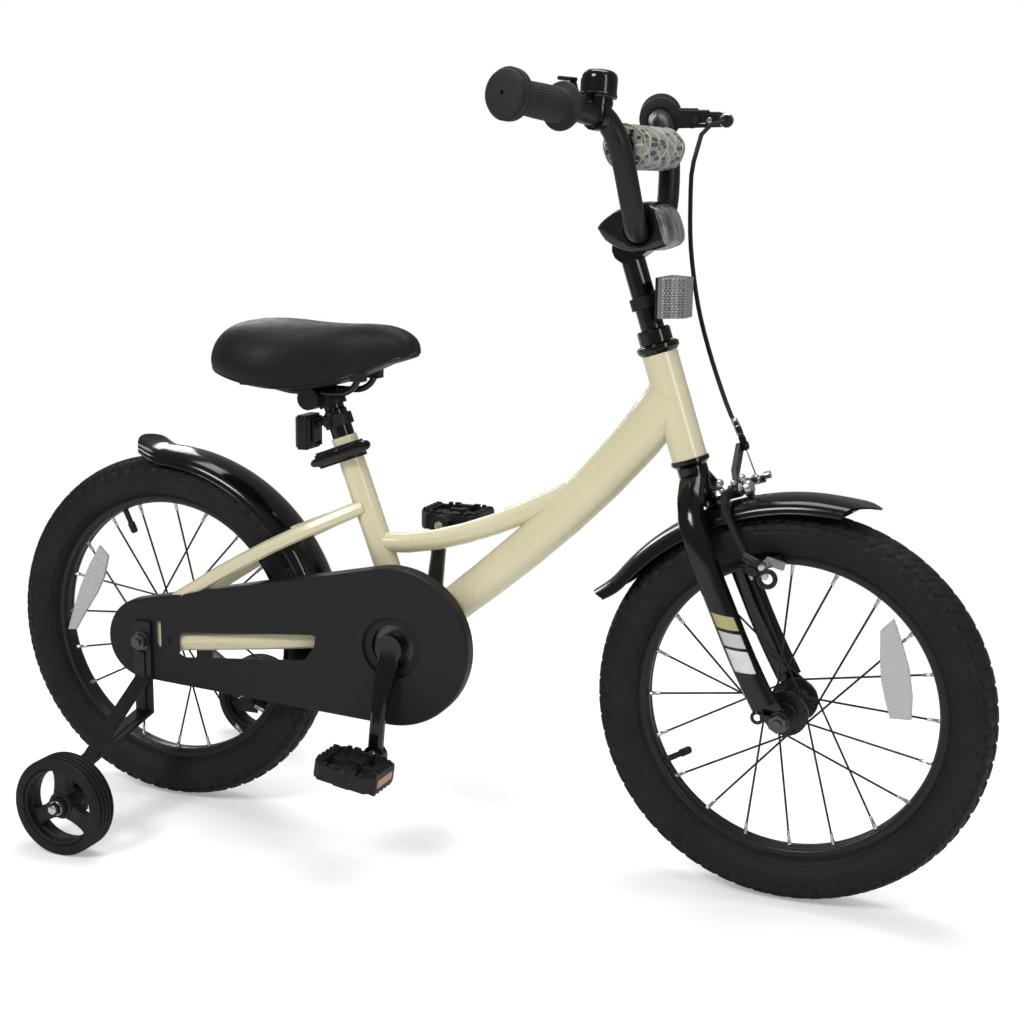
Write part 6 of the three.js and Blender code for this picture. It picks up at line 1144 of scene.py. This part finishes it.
def fork_bands():
    """Films laid on the fork's legs by rays cast in from the sides."""
    fork = NODES["fork"].data
    faces = [tuple(p.vertices) for p in fork.polygons]
    tree = BVHTree.FromPolygons([v.co.copy() for v in fork.vertices], faces)
    shares = [k / BAND_STEPS for k in range(BAND_STEPS + 1)]
    for (side, hand), (look, rear, front) in itertools.product(SIDES.items(), BANDS):
        rows = []
        for down in shares:
            row = []
            for ahead in shares:
                high, low = (back + (fore - back) * ahead for back, fore in zip(rear, front))
                up = high + (low - high) * down
                x = LEG_MIDDLE - up * LEG_SLOPE + (ahead - 0.5) * BAND_WIDTH
                row.append(tree.ray_cast(STEER @ mm(x, hand * RAY_FROM, up), Vector((0, -hand, 0)))[0])
            if all(hit is not None for hit in row):
                rows.append([hit + Vector((0, hand * BAND_RISE, 0)) for hit in row])
        if len(rows) > 2:
            band = Shape().grid(rows, around=False).make("fork_" + look + "_" + side, "steering", look,
                                                         "frame_paint", angle=60)
            modifier(band, "film", "SOLIDIFY", thickness=0.2 * MM)


fork_bands()


# Pedals: moulded cages of boxes as [spot, half sizes, mirrored over] in mm, with a barrel and reflectors
PEDAL_BOXES = [
    ((33.4, 0, 0), (2.4, 20, 8), "xyz"),
    ((31, 0, 8.6), (4.6, 21.5, 2.2), "xyz"),
    ((32, 0, 11.4), (3.2, 2, 1.2), "xyz"),
    ((32, 8.6, 11.4), (3.2, 2, 1.2), "xyz"),
    ((32, 17.2, 11.4), (3.2, 2, 1.2), "xyz"),
    ((13, 28.4, 0), (13.5, 2.6, 8.4), "xyz"),
    ((18.5, 0, 0), (12.6, 3.2, 7.4), "xyz"),
    ((12, 28, 10), (3.4, 2.4, 1.6), "xy"),
    ((21, 27.4, 10), (2.2, 2, 1.6), "xy"),
    ((0, 0, 8.6), (9, 3.4, 2), "xyz"),
    ((0, 25, 8.6), (9, 3.4, 2), "xyz"),
]
PEDAL_BARREL = [(8.8, -31.2), (9.8, -30.4), (9.8, -24), (8.6, -22), (8.6, 22), (9.8, 24), (9.8, 30.2),
                (8.6, 31.4), (6.4, 31.5), (6.2, 30.9), (1.5, 30.8)]
PEDAL_PLACE = {"left": (mm(-53.06, 111.3, 339.8), 0), "right": (mm(-66.58, -124.3, 112.2), math.asin(0.1564))}


def pedal(side):
    centre, tilt = PEDAL_PLACE[side]
    c, s = math.cos(tilt), math.sin(tilt)
    place = framed((c, 0, -s), (0, SIDES[side], 0), (s, 0, c), centre)
    body = "pedal_" + side
    cage = Shape()
    for spot, half, axes in PEDAL_BOXES:
        for copy in copies(spot, axes):
            cage.block(place @ shift(*copy), half)
    for x, y, z in copies((29.4, 24.4, 0)):
        cage.block(place @ shift(x, y, z) @ turn(-45 if x * y > 0 else 45, "Z"), (7.2, 2.6, 8.6))
    cage.turned(PEDAL_BARREL, place @ turn(-90, "X"), 28)
    cage.make("pedal_cage_" + side, body, "plastic", "wheel_plastic", bevel=0.55, angle=38, replaces=(body,))
    lens = Shape()
    for spot in copies((35.4, 0, 0)):
        lens.block(place @ shift(*spot), (0.9, 17, 4.6))
    lens.make("pedal_reflectors_" + side, body, "amber", "red_plastic", bevel=0.4, angle=38)


for side_name in SIDES:
    pedal(side_name)


# Bell: a drum with rounded shoulders over its stepped mount, as (radius, up) in mm
BELL_DRUM = [(14.4, 15.2), (17.2, 15), (17.8, 15.8), (17.8, 18.6), (17.2, 19.2), (17.2, 31.5), (16.9, 34.4),
             (15.8, 37), (13.8, 38.9), (11, 40), (7.4, 40.6), (4.2, 40.8), (0.01, 40.9)]
BELL_MOUNT = [(11.5, -7), (13.4, -6.4), (13.8, -5), (13.8, 8), (14.5, 8.6), (14.5, 12.4), (13.9, 13),
              (13.9, 15.1), (8, 15.2)]
BELL_ARM = [mm(150.2, -92.2, 813.5), mm(152.5, -92.5, 807), mm(154.5, -93.2, 800), mm(160.5, -95.5, 794.5),
            mm(166.5, -97.5, 793)]


def bell():
    across = Vector((0.9275, -0.3737, 0))
    up = Vector((0.0335, 0.0831, 0.996))
    place = framed(across, up.cross(across), up, Vector((0.17817, -0.10195, 0.78158)))
    drum = Shape().turned(BELL_DRUM, place, 64)
    drum.make("bell_drum", "steering", "gloss", "black_metal", angle=40, replaces=("bell_dome",))
    mount = Shape().turned(BELL_MOUNT, place, 48)
    mount.make("bell_mount_ring", "steering", "gloss", "black_plastic", angle=40)
    arm = Shape().block(shift(145.1, -92.2, 814.8) @ turn(-22, "Z") @ turn(6, "Y"), (8.6, 5, 1.9))
    arm.tube(BELL_ARM, [3.4, 3.2, 3, 3, 3], 10)
    arm.make("bell_thumb_lever", "bell_lever", "plastic", "black_plastic", bevel=0.8, angle=40,
             replaces=("bell_lever",))


bell()


# Handlebar: rows of [share of the half width, share of the reach, share of the rise] along its bends
BAR_ROWS = [(0.04, 0, 0), (0.098, 0, 0), (0.17, 0.06, 0.02), (0.25, 0.4, 0.17), (0.345, 0.88, 0.58),
            (0.365, 0.85, 0.7), (0.395, 0.76, 0.785), (0.425, 0.66, 0.808), (0.46, 0.54, 0.822),
            (0.52, 0.33, 0.85)]
CROSSBAR_ROW = 4
GRIP_ROW = (0.643, 0.075, 0.887)
BAR_END = (1, -0.79, 1)
BAR_FOOT = (21.9, 0, 497.4)
BAR_REACH = 24
BAR_HALF = 233.2
BAR_RISE = 135.9
BAR_RADIUS = 11
CROSSBAR_RADIUS = 8
CURVE_STEP = 4 * MM


def bar_point(row):
    out, ahead, up = row
    return STEER @ (mm(*BAR_FOOT) + mm(ahead * BAR_REACH, out * BAR_HALF, up * BAR_RISE))


def chord_curve(points, step):
    """Points along a centripetal Catmull-Rom curve."""
    points = [points[0] * 2 - points[1]] + points + [points[-1] * 2 - points[-2]]
    out = []
    for a, b, c, d in zip(points, points[1:], points[2:], points[3:]):
        t0 = 0
        t1 = t0 + math.sqrt((b - a).length)
        t2 = t1 + math.sqrt((c - b).length)
        t3 = t2 + math.sqrt((d - c).length)
        count = max(2, int((c - b).length / step))
        for k in range(count):
            t = t1 + (t2 - t1) * k / count
            p = a.lerp(b, (t - t0) / (t1 - t0))
            q = b.lerp(c, (t - t1) / (t2 - t1))
            r = c.lerp(d, (t - t2) / (t3 - t2))
            u = p.lerp(q, (t - t0) / (t2 - t0))
            v = q.lerp(r, (t - t1) / (t3 - t1))
            out.append(u.lerp(v, (t - t1) / (t2 - t1)))
    return out + [points[-2]]


def handlebar():
    start = bar_point(GRIP_ROW)
    along = (bar_point(BAR_END) - start).normalized()
    left = [bar_point(row) for row in BAR_ROWS] + [start - along * 0.018, start]
    line = chord_curve([mirror(p) for p in left[::-1]] + left, CURVE_STEP)
    tip = start + along * 0.079
    bar = Shape().tube([mirror(tip)] + line + [tip], BAR_RADIUS, 36)
    joint = bar_point(BAR_ROWS[CROSSBAR_ROW])
    bar.tube([mirror(joint), joint], CROSSBAR_RADIUS, 28)
    weld = [joint - mm(0, inward, 0) for inward in (8.6, 9.8, 11.4, 12.8)]
    for points in (weld, [mirror(p) for p in weld]):
        bar.tube(points, [11.2, 10.4, 8.9, 8.1], 28)
    bar.make("handlebar_tube", "steering", "bar", "black_metal", angle=40, replaces=("handlebar",))


handlebar()


# Rear reflector: upright housing on an arm from a band round the seat post
REFLECTOR_BAND = [(13.2, -6.5), (15.4, -6.5), (16, -5.8)]
REFLECTOR_SCREW = [(3.2, 0), (3.2, 1.6), (2.4, 2.6), (0.05, 2.6)]


def rear_reflector():
    place = SEAT @ shift(0, 0, 250.5)
    post = Matrix.Translation(place.translation)
    housing = Shape().turned(both_sides(REFLECTOR_BAND), place, 40, closed=True)
    arm = [post @ mm(-13.5, 0, 1), post @ mm(-24, 0, -4), post @ mm(-32, 0, -8.5)]
    housing.tube(arm, [5.2, 4.6, 5.4], 16)
    housing.block(post @ shift(-4, -16.8, 0), (4.4, 2.4, 5.4))
    housing.turned(REFLECTOR_SCREW, post @ facing_near(-4, -19, 0), 20)
    middle = shift(-185.5, 0, 446.5)
    housing.blocks(middle, ((0.5, 0, 0), (5.6, 15.6, 19)), ((8.5, 0, 2), (3.4, 9.5, 12.5)),
                   ((6.2, 12.8, 0), (3.6, 1.5, 16.5)), ((6.2, -12.8, 0), (3.6, 1.5, 16.5)))
    housing.make("rear_reflector_body", "seat", "plastic", "black_plastic", bevel=0.9, angle=38,
                 replaces=("rear_reflector_housing",))
    lens = Shape().block(middle @ shift(-6.8, 0, 0) @ turn(-90, "Y"), (18.2, 14.8, 1.9), 0.9)
    lens.make("rear_reflector_glass", "seat", "red", "red_plastic", bevel=0.7, angle=38,
              replaces=("rear_reflector_lens",))


rear_reflector()


# Quick release: half the length, height and depth of its blade in mm, and how far it arches out
BLADE_HALF = 38.5
BLADE_TALL = 5.3
BLADE_DEEP = 3.6
BLADE_ARCH = 2.2


def rounded(value):
    """Turns a sine into the side of a rounded square."""
    return math.copysign(abs(value) ** 0.5, value)


def quick_release():
    """Arched blade with rounded ends between its two tips."""
    back, front = Vector((-0.1705, -0.0215, 0.4128)), Vector((-0.0985, -0.0215, 0.4420))
    tilt = math.atan2(front.z - back.z, front.x - back.x)
    place = leaning((back + front) / 2, tilt)
    rows = []
    for k in range(25):
        u = math.sin(math.pi * (k / 24 - 0.5))
        narrow = max(0, 1 - abs(u) ** 12) ** 0.5
        tall = (BLADE_TALL + 0.7 * u) * max(0.3, narrow)
        deep = BLADE_DEEP * max(0.35, narrow)
        arch = BLADE_ARCH * (1 - u * u)
        ring = []
        for m in range(20):
            angle = math.tau * m / 20
            y = deep * rounded(math.cos(angle)) - arch
            ring.append(place @ mm(u * BLADE_HALF, y, tall * rounded(math.sin(angle))))
        rows.append(ring)
    Shape().capped(rows).make("quick_release_blade", "seat_lever", "gloss", "black_metal", angle=50,
                              replaces=("seat_lever",))


quick_release()


# Bright screws, nuts, washers and barrels of the brake, as (radius, along) in mm
LEVER_BARREL = [(3.2, -0.4), (7.2, -0.2), (7.8, 0.6), (7.8, 2.6), (7.0, 3.4), (6.6, 5.2), (6.9, 6.2),
                (6.9, 8), (6.2, 9), (3.2, 9.2)]
KNURL = [(5.4, -0.2), (6.4, 0.4), (6.4, 5.4), (5.4, 6)]
DOME_NUT = [(7.6, -1), (8.6, 0.4), (8.6, 3.4), (7.6, 6.2), (5, 8), (0.05, 8.6)]


def washer_screw(shape, place, washer, lift, radius, high, tip, top):
    """A screw on a washer, with its radii and heights in mm."""
    screw = [(radius, lift + 0.1), (radius, high), (tip, top), (0.05, top + 0.1)]
    shape.turned([(washer, 0), (washer, lift)] + screw, place, 24)


def screw_head(shape, place, radius, height):
    """A domed head with a round socket."""
    profile = [(1, 0), (1, 0.55), (0.86, 0.88), (0.5, 1), (0.42, 0.72), (0.05 / radius, 0.7)]
    shape.turned([(r * radius, up * height) for r, up in profile], place, 24)


def wire_ring(x, y, z, radius, thick):
    """An upright ring of wire, in mm."""
    points = [polar(mm(x, 0, z), radius, math.tau * k / 32, y) for k in range(33)]
    return Shape().tube(points, thick, 10)


def lever_fittings():
    bright = Shape().turned(LEVER_BARREL, LEVER @ facing_near(70, -8, 0), 32, closed=True)
    screw_head(bright, LEVER @ shift(34, 0, 9), 4.2, 2.2)
    screw_head(bright, LEVER @ facing_near(52, -7.9, 0), 3, 1.4)
    bright.make("lever_fittings", "steering", "zinc", "bright_steel")


def perch_ribs():
    """Moulded body of the brake perch over its two plates, with a stepped rib on top."""
    ribs = Shape().blocks(LEVER, ((13, 0, 0), (9, 7.2, 7.4), 0.9), ((25, -6.4, 0), (8, 1.2, 6.6)),
                          ((57, -5.6, 0), (9, 1.2, 6)), ((36, 0, 8.4), (17, 7.4, 1.6), 0.94),
                          ((30, 0, 10.4), (11, 5.6, 1.4), 0.9), ((58, 0, 6.4), (7, 5.2, 1.8), 0.94))
    ribs.make("perch_ribs", "steering", "satin", "black_metal", bevel=0.8, angle=38)
    knurl = Shape().turned(KNURL, LEVER @ facing_near(70, -13.4, 0), 48,
                           wave=lambda k: 1.06 if k % 4 > 1 else 1)
    knurl.make("barrel_knurl", "steering", "satin", "black_metal")


def caliper_screws():
    dome = Shape().turned(DOME_NUT, STEER @ shift(48, 0, 226) @ turn(90, "Y"), 32)
    dome.make("caliper_dome_nut", "steering", "zinc", "bright_steel")
    bright = Shape()
    for spot, radius, height in (((284.6, -8, 427.5), 4, 5), ((287.8, -9, 419.5), 3.2, 4),
                                 ((306.7, -6, 434.5), 3.6, 4.6), ((298.5, -8, 429.2), 2.9, 4)):
        screw_head(bright, facing_near(*spot), radius, height)
    nut = STEER @ shift(-17.5, 0, 226) @ turn(-90, "Y")
    bright.turned([(5.76, 0), (6, 0.6), (6, 4.2), (5.4, 5)], nut, 6)
    bright.turned([(3.4, 5), (3.4, 7.4), (2.8, 8), (0.05, 8)], nut, 20)
    bright.make("caliper_screws", "steering", "zinc", "bright_steel", bevel=0.25)


def near_shoe():
    bolts = Shape()
    for x, z, radius in ((340.5, 356.5, 3.2), (344.5, 348.0, 2.8)):
        washer_screw(bolts, facing_near(x, -52.8, z), radius * 1.35, 0.9, radius, 2.8, radius * 0.8, 3.4)
    bolts.make("near_shoe_bolts", "caliper_anchor_arm", "zinc", "bright_steel")
    eye = wire_ring(346.2, -50.5, 344.8, 7.8, 2.5)
    eye.tube([mm(321.5, -48.5, 365.5), mm(333, -50, 360), mm(340, -50.5, 356.5), mm(343.5, -50.5, 350)],
             [4.2, 5.2, 5.2, 4.6], 14)
    eye.make("near_arm_eye", "caliper_anchor_arm", "satin", "black_metal", angle=60)
    tilt = turn(14, "Y")
    shoe = Shape().block(shift(348.5, -29, 356) @ tilt, (10, 2.6, 4.2))
    shoe.block(shift(340.5, -40, 356) @ tilt, (3.4, 9, 3.2))
    shoe.make("near_shoe_holder", "caliper_anchor_arm", "shoe", "rubber", bevel=1.0, angle=38)


def cable_end():
    clamp = Shape()
    washer_screw(clamp, facing_near(305.2, 58, 422.5), 5.2, 1, 4.2, 4.2, 3.4, 5)
    clamp.tube([mm(313.5, 62, 425.8), mm(319.5, 62.1, 427.8)], 4.2, 18)
    clamp.make("cable_clamp_bolt", "caliper_anchor_arm", "zinc", "bright_steel", bevel=0.3)
    line = [mm(289.5, 46.2, 470), mm(287.2, 46.2, 475.5), mm(284.2, 47.8, 480), mm(281.5, 50.5, 483.5)]
    sleeve = Shape().tube(line, [3.7, 3.7, 3.6, 3.4], 18)
    sleeve.make("cable_sleeve", "steering", "zinc", "bright_steel", angle=40)


def fork_wire_loop():
    loop = wire_ring(344.8, -61.5, 207, 5.2, 1.8)
    loop.block(shift(352.2, -61.5, 208.5), (4.5, 1.4, 2.4))
    loop.make("fork_wire_loop", "steering", "gloss", "frame_paint", angle=60)


lever_fittings()
perch_ribs()
caliper_screws()
near_shoe()
cable_end()
fork_wire_loop()


# Camera, lights and floor
WHITE = (1, 1, 1, 1)
FLOOR_HALF = 6


def camera():
    data = bpy.data.cameras.new("camera")
    data.lens = 57.61
    data.sensor_width = 36
    obj = place_in_scene("camera", data)
    right = (0.92731, 0.37406, 0.01309)
    up = (-0.08666, 0.18056, 0.97974)
    back = (0.36411, -0.90966, 0.19985)
    obj.matrix_world = framed(right, up, back, (0.69004, -1.57849, 0.72333))
    scene.camera = obj


def lamp(name, spot, target, size, power):
    data = bpy.data.lights.new(name, "AREA")
    data.shape = "RECTANGLE"
    data.size, data.size_y = size
    data.energy = power
    obj = place_in_scene(name, data)
    obj.location = spot
    obj.rotation_euler = (Vector(target) - Vector(spot)).to_track_quat("-Z", "Y").to_euler()


def world():
    """A weak white sky that the camera and clear plastic see as full white."""
    data = bpy.data.worlds.new("studio")
    scene.world = data
    data.use_nodes = True
    nodes = Nodes(data.node_tree)
    light = nodes.tree.nodes["Background"]
    nodes.feed(light.inputs["Color"], WHITE)
    nodes.feed(light.inputs["Strength"], 0.24)
    white = nodes.node("ShaderNodeBackground", {"Color": WHITE})
    path = nodes.node("ShaderNodeLightPath").outputs
    seen = nodes.node("ShaderNodeMath", {0: path["Is Camera Ray"], 1: path["Is Transmission Ray"]},
                      operation="MAXIMUM")
    mix = nodes.node("ShaderNodeMixShader", {0: seen.outputs[0], 1: light.outputs[0], 2: white.outputs[0]})
    nodes.feed(nodes.tree.nodes["World Output"].inputs[0], mix.outputs[0])


def floor():
    """A pale floor that fades into white away from the bike."""
    mesh = bpy.data.meshes.new("floor")
    corners = [(x * FLOOR_HALF, y * FLOOR_HALF, 0) for x, y in ((-1, -1), (1, -1), (1, 1), (-1, 1))]
    mesh.from_pydata(corners, [], [(0, 1, 2, 3)])
    obj = place_in_scene("floor", mesh)
    look = Look("studio_floor", (0.88, 0.88, 0.88), 0.6, specular_ior_level=0.15)
    look.vary(look.noise(3, 2), 0.55, 0.65)
    seen = look.node("ShaderNodeLightPath").outputs["Is Camera Ray"]
    white = look.node("ShaderNodeEmission")
    glow = look.node("ShaderNodeEmission", {"Strength": look.math("MULTIPLY", seen, 0.3)})
    lit = look.node("ShaderNodeAddShader", {0: look.shader.outputs[0], 1: glow.outputs[0]})
    reach = look.node("ShaderNodeVectorMath", {0: look.place}, operation="LENGTH").outputs["Value"]
    far = look.node("ShaderNodeMapRange", {"Value": reach, "From Min": 0.7, "From Max": 1.25},
                    interpolation_type="SMOOTHSTEP")
    fade = look.math("MULTIPLY", far.outputs["Result"], seen)
    blend = look.node("ShaderNodeMixShader", {0: fade, 1: lit.outputs[0], 2: white.outputs[0]})
    look.feed(look.tree.nodes["Material Output"].inputs[0], blend.outputs[0])
    mesh.materials.append(look.material)


camera()
lamp("key", (-0.7, -2.3, 2.4), (0, 0, 0.3), (1.0, 0.8), 48)
lamp("fill", (2.3, -1.2, 1.6), (0.1, 0, 0.35), (0.4, 1.8), 18)
lamp("top", (0.1, 0.5, 2.8), (0, 0, 0.3), (2.0, 1.2), 43)
lamp("back", (-1.7, 2.0, 1.7), (0, 0, 0.4), (0.5, 1.6), 17)
world()
floor()
scene.view_settings.view_transform = "Standard"
